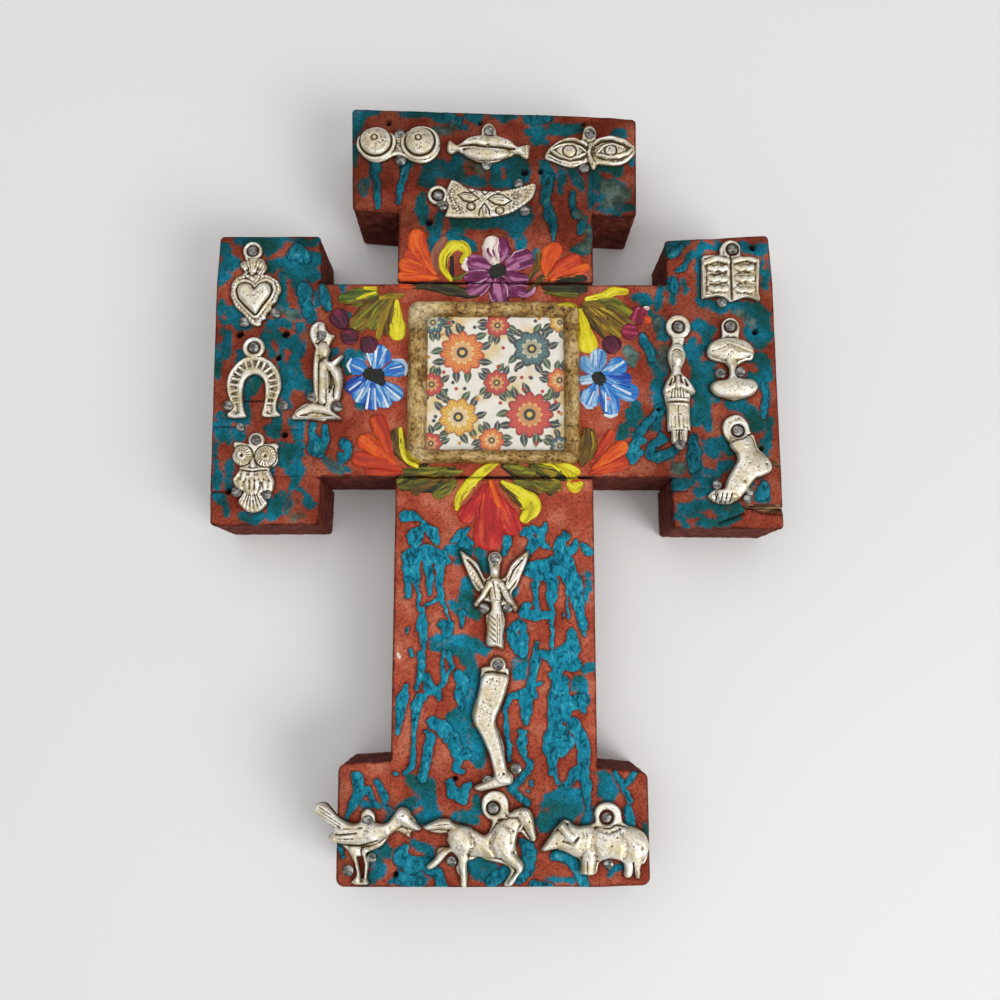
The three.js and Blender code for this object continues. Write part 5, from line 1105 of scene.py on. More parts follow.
            (-7.4, -22.5), (-8.1, -24.2), (-7.1, -24.7), (-2.7, -24.7), (1.1, -25.2), (2.3, -24.7),
            (5.7, -24.6), (6.1, -24), (4.7, -22.9), (3.5, -21.7), (3.9, -19.8), (5.6, -19), (6.3, -15.9),
            (6.6, -12.3), (5.9, -9.9), (5.2, -8.6), (6.3, -6.3), (5.9, -5.6), (2.8, -7.6), (2.1, -6.5),
            (2.6, -4.4), (2.4, -2.6), (3.7, 0.3), (2.4, 0.8), (1.2, 2.1),
        ],
        "forms": [
            ("limb", [(-52.3, 37.6, 1.1), (-51.9, 34, 1.2), (-51.8, 28, 1.3), (-51.6, 22.5, 1.4)], 1.2),
            ("limb", [(-49.2, 40, 2), (-49.4, 43.4, 2)], 0.6), ("mound", -49.9, 36.6, 2, 2.4, 0, 1.3),
            ("limb", [(-49.6, 32, 1.4), (-46.9, 32.2, 1), (-44.6, 34.8, 0.6)], 1.3),
            ("limb", [(-48.6, 33, 1.3), (-45.6, 29.6, 1.3), (-44.8, 25.6, 1.2), (-45.6, 22.4, 1.2)], 1.3),
            ("limb", [(-49.6, 31, 1.4), (-49.4, 22, 1.6)], 1.2),
            ("limb", [(-47.6, 24, 1.4), (-47.4, 20, 1.4)], 1.1),
            ("limb", [(-56.8, 17.6, 0.7), (-52.6, 19.6, 1.3), (-48.4, 19, 1.2), (-45, 17.4, 0.8)], 0.8),
            ("groove", [(-47.6, 30.2, 0.5), (-47.2, 26.6, 0.7), (-47.6, 24, 0.4)], 0.6),
            ("groove", [(-50.8, 33.4, 0.25), (-50.6, 21.5, 0.3)], 0.4),
            ("groove", [(-48.6, 30.4, 0.2), (-48.4, 21, 0.25)], 0.35),
            ("groove", [(-46.6, 28, 0.2), (-46.2, 22.4, 0.3)], 0.35),
            ("groove", [(-51.2, 35, 0.3), (-48.6, 34, 0.3)], 0.35),
            ("groove", [(-51.6, 38.8, 0.25), (-50.4, 39.4, 0.3), (-48.8, 38.8, 0.25)], 0.3),
            ("ridge", [(-56.4, 16.9, 0.25), (-50, 16.7, 0.25), (-44.6, 16.9, 0.25)], 0.35),
            ("bead", -50.3, 36.2, 0.28, 0.12), ("pit", -51, 37, 0.25, 0.12), ("pit", -49.7, 37, 0.25, 0.12),
        ],
    },
    "book": {
        "nail": (69.9, 68), "eye": 1.85,
        "outline": [
            (-9.3, -2.6), (-7.1, -1.7), (-4.1, -1.6), (-3.9, 0), (-2.9, 1.7), (-1.6, 2.7), (-0.2, 2.9),
            (1.2, 2.4), (2.4, 0.9), (2.6, -2.1), (5.5, -2.1), (7.3, -2.8), (8, -4.3), (7.7, -8.4), (7.4, -12.8),
            (7.8, -15.2), (7, -15.9), (5, -15.1), (3, -14.9), (0.8, -15.6), (-1.4, -16.1), (-3.3, -14.7),
            (-5.4, -14.6), (-8.9, -15.2), (-9.6, -14.4), (-9.5, -8),
        ],
        "forms": [
            ("limb", [(61.4, 63.6, 0.8), (65, 65, 0.9), (68.4, 64.2, 0.9)], 0.7),
            ("limb", [(70, 64.2, 0.8), (73.6, 65.2, 0.9), (77, 64.2, 0.8)], 0.7),
            ("ridge", [(61, 65, 0.35), (61, 53.6, 0.35)], 0.3), ("ridge", [(77.2, 64.6, 0.35), (77, 52.8, 0.35)], 0.3),
            ("ridge", [(61.2, 53.4, 0.3), (65, 53.9, 0.35), (68.2, 52.6, 0.3)], 0.35),
            ("ridge", [(69.6, 52.2, 0.3), (73.4, 53.6, 0.35), (76.8, 52.6, 0.3)], 0.35),
            ("groove", [(62.1, 64.4, 0.4), (61.9, 54.6, 0.4)], 0.15), ("groove", [(76.3, 64, 0.4), (76.2, 54, 0.4)], 0.15),
            ("groove", [(69.2, 66, 0.5), (69.2, 52, 0.6)], 0.5),
            *[("ridge", [(62.9 + 1.2 * k, y + 0.2 * (-1) ** k, 0.85) for k in range(5)], 0.55)
              for y in (61.9, 58.7, 55.6)],
            *[("ridge", [(70.8 + 1.15 * k, y + 0.2 * (-1) ** k, 0.85) for k in range(5)], 0.55)
              for y in (62.1, 58.8, 55.4)],
            *[("groove", [(62.8, y, 0.4), (65, y - 0.2, 0.6), (67.8, y + 0.3, 0.4)], 0.18) for y in (60.3, 57.2)],
            *[("groove", [(71, y, 0.4), (73, y + 0.3, 0.6), (75.6, y + 0.1, 0.4)], 0.18) for y in (60.5, 57.1)],
        ],
    },
    "praying_figure": {
        "nail": (53.3, 44.2), "eye": 1.85, "ring": 3.7,
        "outline": [
            (-1.9, -3), (-1.9, -4.8), (-3.2, -7.5), (-3.4, -10.1), (-2.5, -12.8), (-2.8, -14.4), (-4.2, -16.8),
            (-5, -19.4), (-4.6, -21.5), (-4, -24.9), (-3.9, -30.8), (-3, -31.4), (-2.8, -34.6), (-0.6, -35.1),
            (1.5, -34.3), (2.1, -31), (2.9, -30.5), (2.9, -21.7), (4.2, -20.2), (4.4, -19.1), (3, -16.5),
            (1.3, -14.6), (0.6, -12.9), (1.7, -10.4), (2.1, -8.2), (1.3, -6.1), (1.6, -4.6), (1.6, -3),
        ],
        "forms": [
            ("mound", 52.6, 35.4, 2.6, 3.6, 0, 0.9), ("mound", 52.5, 34.4, 1.7, 2.3, 0, 1.5),
            ("limb", [(52.4, 32.4, 1), (52.4, 30, 1.3)], 0.8), ("mound", 52.4, 26, 4.2, 4.6, 0, 0.9),
            ("limb", [(50.7, 28.8, 1), (48.9, 25, 1), (52, 26.6, 0.9)], 1.3),
            ("limb", [(54.3, 28.6, 1), (57, 24.8, 1), (53, 26.6, 0.9)], 1.3),
            ("limb", [(52.5, 26, 0.9), (52.6, 28.8, 0.6)], 1.7),
            ("limb", [(52.4, 24, 3), (52.6, 20.6, 3.1), (52.6, 16, 3.3)], 0.8),
            ("limb", [(50.8, 13.4, 1.1), (50.9, 10.6, 1)], 0.9), ("limb", [(54.4, 13.2, 1.1), (54.5, 10.8, 0.9)], 0.9),
            ("groove", [(50.9, 28.4, 0.35), (50.2, 26.6, 0.6)], 0.7), ("groove", [(54.5, 28.2, 0.35), (55.2, 26.4, 0.6)], 0.7),
            *[("groove", [(52.4 + 0.75 * k, 25.2, 0.16), (52.4 + 0.95 * k, 22.8, 0.2)], 0.3) for k in (-2, -1, 0, 1, 2)],
            ("ridge", [(49.2, 22.2, 0.35), (52.6, 22.3, 0.4), (56, 22.2, 0.35)], 0.4),
            ("ridge", [(49.4, 20.8, 0.3), (52.6, 20.9, 0.35), (55.9, 20.8, 0.3)], 0.35),
            ("groove", [(49.4, 21.5, 0.25), (56, 21.5, 0.25)], 0.3),
            ("groove", [(52.5, 20, 0.2), (52.7, 13.6, 0.25)], 0.3), ("pit", 53, 18, 0.45, 0.3),
            *[("groove", [(a, 17.5, 0.14), (a, 13.6, 0.22)], 0.2) for a in (50.3, 51.5, 54, 55.1)],
            ("groove", [(49.4, 13.3, 0.3), (55.8, 13.3, 0.3)], 0.35), ("groove", [(52.7, 13, 0.35), (52.7, 10, 0.5)], 0.7),
            ("groove", [(51.1, 36.6, 0.25), (52.5, 37.3, 0.3), (53.9, 36.6, 0.25)], 0.3),
            ("pit", 51.8, 34.9, 0.3, 0.2), ("pit", 53.2, 34.9, 0.3, 0.2), ("bead", 52.5, 34.3, 0.35, 0.2),
            ("groove", [(52, 33.3, 0.15), (53, 33.3, 0.15)], 0.15),
        ],
    },
    "mushroom": {
        "nail": (68.5, 44.4), "eye": 1.85,
        "outline": [
            (-2.7, -3), (-4.2, -3.9), (-6.2, -5.3), (-7.2, -7.7), (-6.7, -9.5), (-4.7, -10.5), (-2.7, -10.9),
            (-1.4, -12), (-0.9, -13.5), (-1.1, -15.2), (-2.2, -16), (-4, -16.1), (-5.7, -16.8), (-6.5, -18.2),
            (-6.1, -19.7), (-4.7, -20.9), (-2.6, -21.5), (0.6, -22.2), (5.2, -21), (6.9, -19.5), (7.6, -17.9),
            (6.9, -16.4), (5.4, -15.6), (2.8, -15.5), (1.3, -14.9), (1, -13.4), (1.9, -11.7), (3.9, -10.5),
            (5.9, -10.1), (6.7, -8.7), (6.6, -6.8), (5.5, -5.3), (3.8, -4.1), (2.5, -3.4), (2.9, -0.5),
            (2.2, 1.6), (0.4, 2.7), (-1.3, 2.2), (-2.6, 0.6),
        ],
        "forms": [
            ("mound", 68.2, 37.4, 7, 3.4, 0, 1.5), ("mound", 68.9, 25.8, 6.9, 3.1, 2, 1.6),
            ("limb", [(68.3, 36, 1.6), (68.4, 28, 1.5)], 1),
            ("groove", [(62, 36.4, 0.3), (65.4, 37.4, 0.5), (68.2, 38.6, 0.5), (71.4, 37.2, 0.5), (74.6, 36.4, 0.3)], 0.16),
            ("ridge", [(62.2, 35.6, 0.6), (66.4, 35.8, 0.6), (68.2, 37.2, 0.5), (70.2, 35.8, 0.6), (74.4, 35.6, 0.6)], 0.2),
            ("pit", 67.2, 38.6, 0.5, 0.35), ("pit", 68.8, 39.4, 0.45, 0.3), ("pit", 69.2, 37.9, 0.35, 0.25),
            ("pit", 66.2, 39.6, 0.35, 0.2),
        ],
    },
    "foot": {
        "nail": (69.7, 13.3), "eye": 1.85,
        "outline": [
            (-4.5, 0.7), (-3.9, 2.9), (-2.1, 4.4), (0.1, 4.8), (2, 3.7), (3.2, 1.8), (3.7, -0.2), (4.7, -1.6),
            (5.2, -3.6), (6, -5.4), (7.9, -7.2), (9.2, -9.1), (9.4, -11), (8.4, -12.3), (6.2, -13.4),
            (4.4, -14.1), (2.4, -16.8), (1.1, -18.4), (-0.4, -20), (-1.9, -20.7), (-3.2, -21.3), (-4.5, -21.4),
            (-5.7, -21.3), (-6.9, -21), (-8.1, -20.4), (-9.2, -19.3), (-8.7, -18.1), (-7, -17), (-4.9, -16.8),
            (-4.1, -15), (-3, -12.7), (-1.5, -10.2), (-0.8, -8.7), (-1, -6.9), (-2.4, -5.1), (-2.8, -3.5), (-4, -1.5),
        ],
        "forms": [
            ("limb", [(70.4, 9, 3.6), (71.6, 5, 3.6), (75, 2.4, 4)], 1.7),
            ("limb", [(71.4, 2, 4), (67.6, -3.4, 3.4), (65, -5.2, 2.4)], 1.6),
            ("groove", [(66.4, 9.4, 0.4), (70.6, 11, 0.4), (73.8, 12.6, 0.4)], 0.7),
            *[("bead", a, b, r, 0.5) for a, b, r in ((61.9, -6, 0.8), (63.2, -6.7, 0.75), (64.5, -7.1, 0.75),
                                                     (65.8, -7.1, 0.75), (67.8, -6.4, 1.1))],
            *[("groove", [(a, -7.6, 0.25), (a + 0.5, -5, 0.2)], 0.7) for a in (62.5, 63.8, 65.1, 66.5)],
            ("pit", 70.8, -1.6, 0.8, 0.3), ("pit", 77.2, 3.4, 0.9, 0.3), ("pit", 72.2, 3.6, 0.35, 0.25),
            ("pit", 70.6, 3, 0.3, 0.2), ("pit", 69, 1, 0.35, 0.2),
        ],
    },
    "angel": {
        "nail": (0, -23.6), "eye": 1.15, "ring": 2,
        "outline": [
            (-1.6, -1), (-1.5, -4.2), (-2.6, -5.5), (-3.9, -3.4), (-4.7, -1.4), (-7.1, 0.7), (-9.7, 2.2),
            (-9.4, 0.1), (-8.1, -3.1), (-6.7, -6.5), (-5.2, -9), (-3.9, -9.6), (-5.9, -12.2), (-5.7, -13.4),
            (-4.7, -13.5), (-3.3, -12), (-1.4, -12.5), (-1.2, -14.3), (-2.5, -16), (-2.3, -19.7), (-2.5, -23.5),
            (-1.5, -24.5), (0.4, -24.5), (2.1, -25.1), (2.5, -24.6), (2.5, -20.6), (3, -17.8), (2.5, -15.1),
            (2.2, -13.3), (4.3, -13.1), (5.1, -14.5), (6.1, -14.6), (6.4, -13.3), (4.8, -9.8), (6.2, -7.7),
            (7.4, -4.9), (9, -1.2), (9.6, 1.9), (8.6, 1.9), (6.1, 0), (4.3, -2), (3.1, -4.7), (1.7, -5.6),
            (1.4, -4.2), (1.4, -1),
        ],
        "forms": [
            ("mound", -0.1, -27.2, 1.5, 1.8, 0, 1.6), ("mound", -0.1, -27, 1.8, 2.2, 0, 1),
            ("limb", [(0.2, -30.6, 1.9), (0.2, -35, 1.5)], 1.1),
            ("limb", [(-1.4, -30.6, 1), (-3.4, -34, 0.9), (-5.4, -36.6, 0.6)], 1.3),
            ("limb", [(1.8, -31, 1), (3.6, -34.6, 0.9), (5.7, -37.3, 0.6)], 1.3),
            ("limb", [(0.2, -36.4, 1.4), (0.2, -42, 2.3), (0.2, -47.4, 2.5)], 1.2),
            ("limb", [(-3.6, -31.6, 0.7), (-6.6, -27.4, 1.3), (-9.4, -22, 0.6)], 0.8),
            ("limb", [(3.6, -31.4, 1), (6, -27.4, 1.5), (8.9, -22.2, 0.7)], 0.9),
            ("ridge", [(-2.8, -29.6, 0.35), (-4.2, -26.9, 0.4), (-5.6, -24.9, 0.45), (-9, -22.1, 0.35)], 0.55),
            ("ridge", [(-4.2, -33, 0.35), (-6.3, -30.2, 0.4), (-8, -26.6, 0.4), (-9.1, -23, 0.3)], 0.4),
            ("ridge", [(3.3, -28.8, 0.35), (4.6, -25.9, 0.45), (6.3, -24, 0.4), (8.6, -22.2, 0.35)], 0.55),
            ("ridge", [(4.6, -32.8, 0.35), (6.2, -30.8, 0.4), (7.6, -27.6, 0.4), (9, -23.6, 0.3)], 0.4),
            ("groove", [(-3.4, -30.4, 0.3), (-5, -27.2, 0.4), (-7.8, -24, 0.25)], 0.8),
            ("groove", [(3.9, -30, 0.3), (5.2, -26.9, 0.4), (7.6, -24, 0.25)], 0.8),
            ("bead", -5.2, -36.6, 0.85, 0.7), ("bead", 5.6, -37.2, 0.85, 0.7),
            *[("groove", [(-4.6 - 0.62 * k, -32 + 1.15 * k, 0.14), (-4.2 - 0.66 * k, -30.4 + 1.0 * k, 0.16)], 0.3)
              for k in range(8)],
            *[("groove", [(3.9 + k * 0.55, -30.8 + k * 0.55, 0.14), (7.2 + k * 0.45, -24.4 + 0.55 * k, 0.14)], 0.3)
              for k in range(4)],
            *[("groove", [(-2.4, -38.6 - 1.5 * k, 0.14), (0.3, -40.8 - 1.5 * k, 0.2)], 0.35) for k in range(5)],
            *[("groove", [(0.7 + 0.7 * k, -39, 0.14), (0.7 + 0.75 * k, -47.6, 0.2)], 0.35) for k in range(3)],
            *[("groove", [(-2 - 0.62 * k, -31 - 0.9 * k, 0.12), (-2.8 - 0.62 * k, -31.4 - 0.9 * k, 0.12)], 0.25)
              for k in range(5)],
            *[("groove", [(2.2 + 0.62 * k, -32 - 0.9 * k, 0.12), (3 + 0.62 * k, -32.4 - 0.9 * k, 0.12)], 0.25)
              for k in range(5)],
            ("ridge", [(-1.6, -35.6, 0.25), (1.7, -35.6, 0.25)], 0.3), ("groove", [(-0.6, -30, 0.2), (0.2, -34.6, 0.25)], 0.3),
            ("groove", [(-1.3, -26, 0.2), (-0.1, -25.6, 0.25), (1.1, -26, 0.2)], 0.25),
            ("pit", -0.6, -27, 0.22, 0.15), ("pit", 0.4, -27, 0.22, 0.15),
        ],
    },
    "leg": {
        "nail": (0.9, -53.1), "eye": 1.15, "ring": 2.3,
        "outline": [
            (-3.9, -0.4), (-4.8, -2.3), (-5.2, -6.2), (-6.4, -10), (-7.1, -13.5), (-6.7, -15.8), (-5.1, -18.3),
            (-3.6, -21.3), (-2.3, -24.3), (-1.5, -27.5), (-1.3, -29.6), (-3.3, -31), (-6.2, -32.3),
            (-6.1, -33.4), (-4.3, -33.9), (-2.2, -33.3), (0.3, -32.8), (2.4, -32.3), (3.6, -32.1), (4.3, -31),
            (4.2, -29.5), (3.1, -28.3), (2.4, -27), (2.1, -24.6), (1.6, -21.3), (0.6, -18.3), (-0.4, -15.3),
            (0.5, -12.2), (2.1, -8.2), (2.9, -5.6), (3.1, -2.6), (2.3, -0.6),
        ],
        "forms": [
            ("plate", [(-2.8, -55.4), (3.8, -56), (3.4, -59), (2, -63.6), (0.2, -68.2), (1.4, -72.8), (2.6, -77.6),
                       (3.4, -81), (3.6, -84.4), (1, -84.6), (-1.4, -79.8), (-3.6, -73), (-5.8, -68), (-4.6, -61.4)],
             1.3, 1.1),
            ("limb", [(3, -83.6, 1.8), (-1, -84.8, 1.4), (-4.6, -86, 0.9)], 1.2),
            ("groove", [(-3.6, -54.8, 0.6), (0, -55.1, 0.7), (3.6, -55.5, 0.6)], 0.2),
            *[("groove", [(a, -86.9, 0.15), (a + 0.3, -85.9, 0.15)], 0.45) for a in (-4.7, -4, -3.3, -2.6)],
            ("pit", 2.5, -82.1, 0.55, 0.5), ("pit", -2, -57.6, 0.3, 0.2), ("pit", -0.6, -56.8, 0.3, 0.2),
            ("pit", 0.6, -57.4, 0.35, 0.2), ("pit", -1.2, -57.9, 0.3, 0.2), ("pit", 1.2, -56.6, 0.25, 0.2),
            ("pit", -0.2, -58.4, 0.3, 0.2), ("pit", 0.1, -66.4, 0.3, 0.2),
        ],
    },
    "rooster": {
        "nail": (-34.1, -94.6), "eye": 1.15,
        "outline": [
            (-14.7, 2.4), (-13.9, 4.3), (-11.6, 4.7), (-10.1, 3.4), (-8.4, 1.5), (-6.4, 0.2), (-3.9, -0.6),
            (-2.2, -0.1), (-1.9, 1.8), (-0.1, 3.2), (1.7, 1.8), (2.2, -0.2), (4.1, -0.6), (5.7, 0.1),
            (8, 3.2), (9.8, 3.6), (11.2, 2.8), (12.3, 0.9), (14.4, -1.8), (13.7, -2.6), (11.8, -2.9),
            (11.4, -4.4), (10.1, -3.8), (8.1, -2.8), (6.5, -3.4), (5.4, -4.7), (3.8, -6.6), (1.8, -7.6),
            (-0.2, -8.6), (0.5, -10.9), (0.1, -14.5), (0.5, -16.2), (-1.6, -16.6), (-4.2, -16), (-2.8, -13.9),
            (-3.3, -11.6), (-4.5, -9.1), (-5.6, -7.6), (-7, -6.4), (-9.2, -5.5), (-10.9, -4.7), (-9.1, -2.4),
            (-10.9, -0.9), (-13, 1),
        ],
        "gap": [(-2.6, -9.3), (-1.5, -14.6), (-0.8, -14.6), (-0.7, -11.4), (-1.3, -9.2)],
        "forms": [
            ("mound", -36.8, -97.8, 7.4, 3.3, 3, 1.5), ("limb", [(-40, -96, 2), (-44, -93.4, 1.8), (-47.4, -91.4, 1.8)], 1),
            ("limb", [(-44.4, -99.4, 0.7), (-39, -98.8, 1.8), (-33, -98.6, 2.2)], 1.3),
            ("limb", [(-32.6, -98, 2.6), (-29.4, -96.6, 2.2), (-25.8, -93.6, 2.2)], 1.5),
            ("mound", -24.8, -93.2, 2.4, 2.2, -20, 1.6), ("limb", [(-24, -94.6, 1.5), (-20.4, -96.7, 0.6)], 1.1),
            ("bead", -23.2, -98.2, 0.8, 0.7),
            ("limb", [(-37.4, -102.2, 1.8), (-36.4, -105.4, 1), (-36.8, -110.2, 1)], 1.1),
            ("limb", [(-34.4, -102.6, 1.3), (-34.2, -106, 0.8), (-34.2, -110.4, 0.9)], 1.1),
            ("groove", [(-45, -99.9, 0.25), (-41.4, -100.7, 0.4), (-36, -100.9, 0.4), (-31.4, -99.6, 0.3)], 0.8),
            ("groove", [(-44.8, -97.6, 0.3), (-41.6, -98.1, 0.45), (-37, -97.6, 0.3)], 0.3),
            ("groove", [(-42.6, -99.2, 0.3), (-38, -99.1, 0.4)], 0.25), ("groove", [(-40.6, -96.6, 0.3), (-35.6, -96.2, 0.5)], 0.2),
            *[("groove", [(-41 - 0.3 * k, -94.6 - 0.8 * k, 0.15), (-47.4 - 0.35 * k, -90.8 - 0.75 * k, 0.2)], 0.3)
              for k in (0, 1, 2)],
            ("pit", -24.6, -93, 0.35, 0.3), ("groove", [(-22.8, -96.6, 0.15), (-20.6, -97.1, 0.15)], 0.3),
        ],
    },
    "horse": {
        "nail": (-0.3, -91.3), "eye": 1.85,
        "outline": [
            (-19, -4.9), (-17, -3.7), (-14.8, -2.7), (-12.1, -2.7), (-10.3, -3.9), (-6.5, -4.8), (-4.3, -6),
            (-2.3, -6.9), (-0.9, -5.6), (-0.4, -3.5), (-1.8, -2.6), (-3.1, -0.6), (-3, 2.4), (-1.4, 4.1),
            (0.6, 4.6), (2.8, 3.9), (4.1, 1.9), (4.4, -0.9), (6, -0.2), (8.2, 0.3), (10, -0.4), (10.9, -2.6),
            (11.3, -5.4), (11.7, -7.5), (11.1, -8.6), (9.7, -8.5), (7.2, -6.3), (6.4, -7.8), (6.2, -9.7),
            (6.8, -12.2), (8.2, -14.2), (8.2, -15.9), (6.8, -17.5), (5.3, -19.7), (3.6, -20.3), (2.9, -19.5),
            (4.6, -16.5), (3.1, -14.8), (-2, -13.5), (-3.9, -12.8), (-5.4, -13.5), (-6.9, -14.2),
            (-6.7, -18.2), (-7.1, -20.3), (-8, -20.6), (-8.7, -19.7), (-8.9, -18.2), (-10, -15.6),
            (-9.4, -13.7), (-10.3, -12.2), (-11.6, -11.5), (-14.2, -14.4), (-15.5, -15.6), (-17.3, -15.9),
            (-18, -15), (-15.6, -12.7), (-14.9, -10.7), (-13.6, -10.1), (-11.8, -9.9), (-12.6, -8.4),
            (-12.4, -6.7), (-14.3, -6.7), (-17, -6.2),
        ],
        "forms": [
            ("limb", [(-9.2, -99.6, 3.6), (-5, -100.6, 3.2), (-1, -101, 3.2), (2.6, -100, 3.6)], 1.6),
            ("mound", -9, -99.6, 3.6, 4.4, 20, 2), ("mound", 2.4, -99.4, 3.6, 5, -14, 2),
            ("limb", [(3, -97.6, 3), (5.6, -94.8, 2.6), (8.4, -92.6, 2)], 1.6),
            ("limb", [(8.6, -93, 2), (9.8, -96.2, 1.6), (10.8, -99.2, 0.9)], 1.6),
            ("limb", [(-11.4, -95.6, 1.4), (-14.6, -95.4, 1.3), (-18.6, -96.4, 0.7)], 1.1),
            ("limb", [(-10.6, -102, 1.8), (-13.6, -103.2, 1.2), (-17.2, -106.4, 0.9)], 1.2),
            ("limb", [(-8.6, -103.6, 1.7), (-8.1, -107.6, 1), (-8.2, -111, 0.9)], 1.2),
            ("limb", [(3.4, -103.4, 1.8), (6.8, -106.4, 1.1), (6.8, -108, 0.9), (4.4, -110.8, 0.9)], 1.2),
            ("groove", [(-6.6, -97.4, 0.8), (-5.6, -100.4, 1.1), (-6.8, -103, 0.9)], 0.32),
            ("groove", [(0, -97.4, 0.8), (-1.2, -100.6, 1.1), (0.2, -103.2, 0.9)], 0.3),
            ("groove", [(3.8, -93.6, 0.5), (6.2, -93.6, 0.6), (7.1, -95.2, 0.7), (6.2, -97.4, 0.5)], 0.4),
            ("groove", [(2.4, -95.4, 0.6), (4.9, -97.2, 0.9), (4.6, -99.8, 0.8)], 0.3),
            *[("bead", a, b, 1.0, 0.4) for a, b in ((2.3, -93.4), (4, -92.4), (5.7, -91.8), (7.3, -91.7))],
            ("groove", [(-17.6, -96, 0.15), (-12, -95.2, 0.2)], 0.3), ("pit", 9.4, -94.6, 0.35, 0.35),
            ("pit", 10.9, -98.6, 0.25, 0.3), ("bead", 8.6, -91.7, 0.6, 0.5), ("groove", [(1, -94.4, 0.4), (3.4, -94, 0.4)], 0.4),
            ("groove", [(8, -97, 0.2), (9.4, -96.6, 0.2)], 0.3),
        ],
    },
    "pig": {
        "nail": (30.4, -93.7), "eye": 1.85,
        "outline": [
            (-3.3, -1.3), (-6, -2), (-8.5, -2), (-10.3, -0.8), (-11.6, -0.6), (-13, -1.6), (-14.7, -3.6),
            (-16.4, -6), (-17.8, -8.1), (-17.4, -8.8), (-15.3, -8.7), (-13.3, -8.5), (-11.2, -9.1), (-9.2, -10.1),
            (-7.4, -11.3), (-7.4, -14.4), (-6.4, -14.8), (-4.3, -15), (-2.8, -14.4), (-2.2, -12.2),
            (-1, -11.1), (1.1, -10.7), (3.7, -11.5), (4.4, -13), (4.3, -14.8), (5.1, -15.8), (6.5, -15.5),
            (7, -14.8), (7.8, -15.8), (8.8, -15.6), (9, -12.6), (10.1, -12), (10.9, -10.3), (11.4, -7.9),
            (11.2, -5.9), (10.2, -4), (8, -2.6), (5.3, -1.8), (4.3, -0.8), (3.9, 1.8), (2.3, 3.5),
            (-0.2, 4), (-2.5, 3), (-3.4, 1),
        ],
        "forms": [
            ("mound", 32.6, -100.8, 9.2, 5, -3, 2.1), ("mound", 22.6, -99.6, 6, 4.4, 6, 1.7),
            ("limb", [(21, -98.6, 3.4), (17.4, -99.4, 2.4), (13.6, -101.6, 0.9)], 1.6),
            ("limb", [(18, -95.8, 1.3), (20.6, -98.6, 1.4)], 1.8), ("mound", 38, -100.4, 3.4, 4.6, 16, 1.9),
            ("limb", [(25.6, -103, 2.2), (25.2, -107.6, 1.8)], 1.5), ("limb", [(36.6, -103.4, 2.4), (35.8, -108, 1.3)], 1.4),
            ("limb", [(38, -103.4, 2), (38.6, -108, 1)], 1.4),
            ("groove", [(18.4, -99.6, 0.5), (21, -100.5, 0.8), (22.6, -98.6, 0.5)], 0.3),
            ("groove", [(37.2, -105.2, 0.3), (37.6, -108.6, 0.35)], 0.8), ("groove", [(24.8, -105, 0.25), (24.8, -108.4, 0.3)], 0.4),
            ("groove", [(27, -97.6, 1.1), (26.2, -100.6, 1.3), (27.4, -103.6, 1.0)], 0.26),
            ("groove", [(34.4, -97.6, 1.0), (35.4, -101, 1.2), (34.6, -104, 1.0)], 0.24),
            ("groove", [(27.2, -96.4, 0.7), (30.4, -97.5, 0.8), (33.8, -96.6, 0.7)], 0.34),
            ("pit", 16.6, -100.2, 0.4, 0.4), ("pit", 13.6, -101.8, 0.3, 0.3), ("pit", 30.2, -97.4, 0.3, 0.25),
            ("pit", 33, -98.6, 0.35, 0.3), ("pit", 31.4, -100.8, 0.4, 0.3), ("pit", 39.6, -101.4, 0.8, 0.3),
            ("groove", [(14.4, -102.2, 0.15), (18, -101.6, 0.15)], 0.25),
        ],
    },
}


def bandForms(run):
    # a recessed band between two rims, with a row of plain raised blocks along its middle
    points = np.array(run, float)
    reach = np.concatenate([[0], np.cumsum(np.hypot(*np.diff(points, axis=0).T))])
    forms = [("groove", [(a, b, 1.75) for a, b in run], 0.55)]
    for at in np.arange(2.6, reach[-1] - 2, 1.75):
        ends = []
        for side in (-0.75, 0.75):
            middle = [np.interp(at, reach, points[:, k]) for k in (0, 1)]
            ahead = [np.interp(at + 0.5, reach, points[:, k]) for k in (0, 1)]
            tx, ty = ahead[0] - middle[0], ahead[1] - middle[1]
            size = math.hypot(tx, ty)
            ends.append((middle[0] - ty / size * side, middle[1] + tx / size * side, 0.42))
        forms.append(("ridge", ends, 0.45))
    return forms


def blur(values, passes):
    # repeated averages of each point with its four neighbours
    for _ in range(passes):
        padded = np.pad(values, 1, mode="edge")
        values = (padded[:-2, 1:-1] + padded[2:, 1:-1] + padded[1:-1, :-2] + padded[1:-1, 2:] + values) / 5
    return values


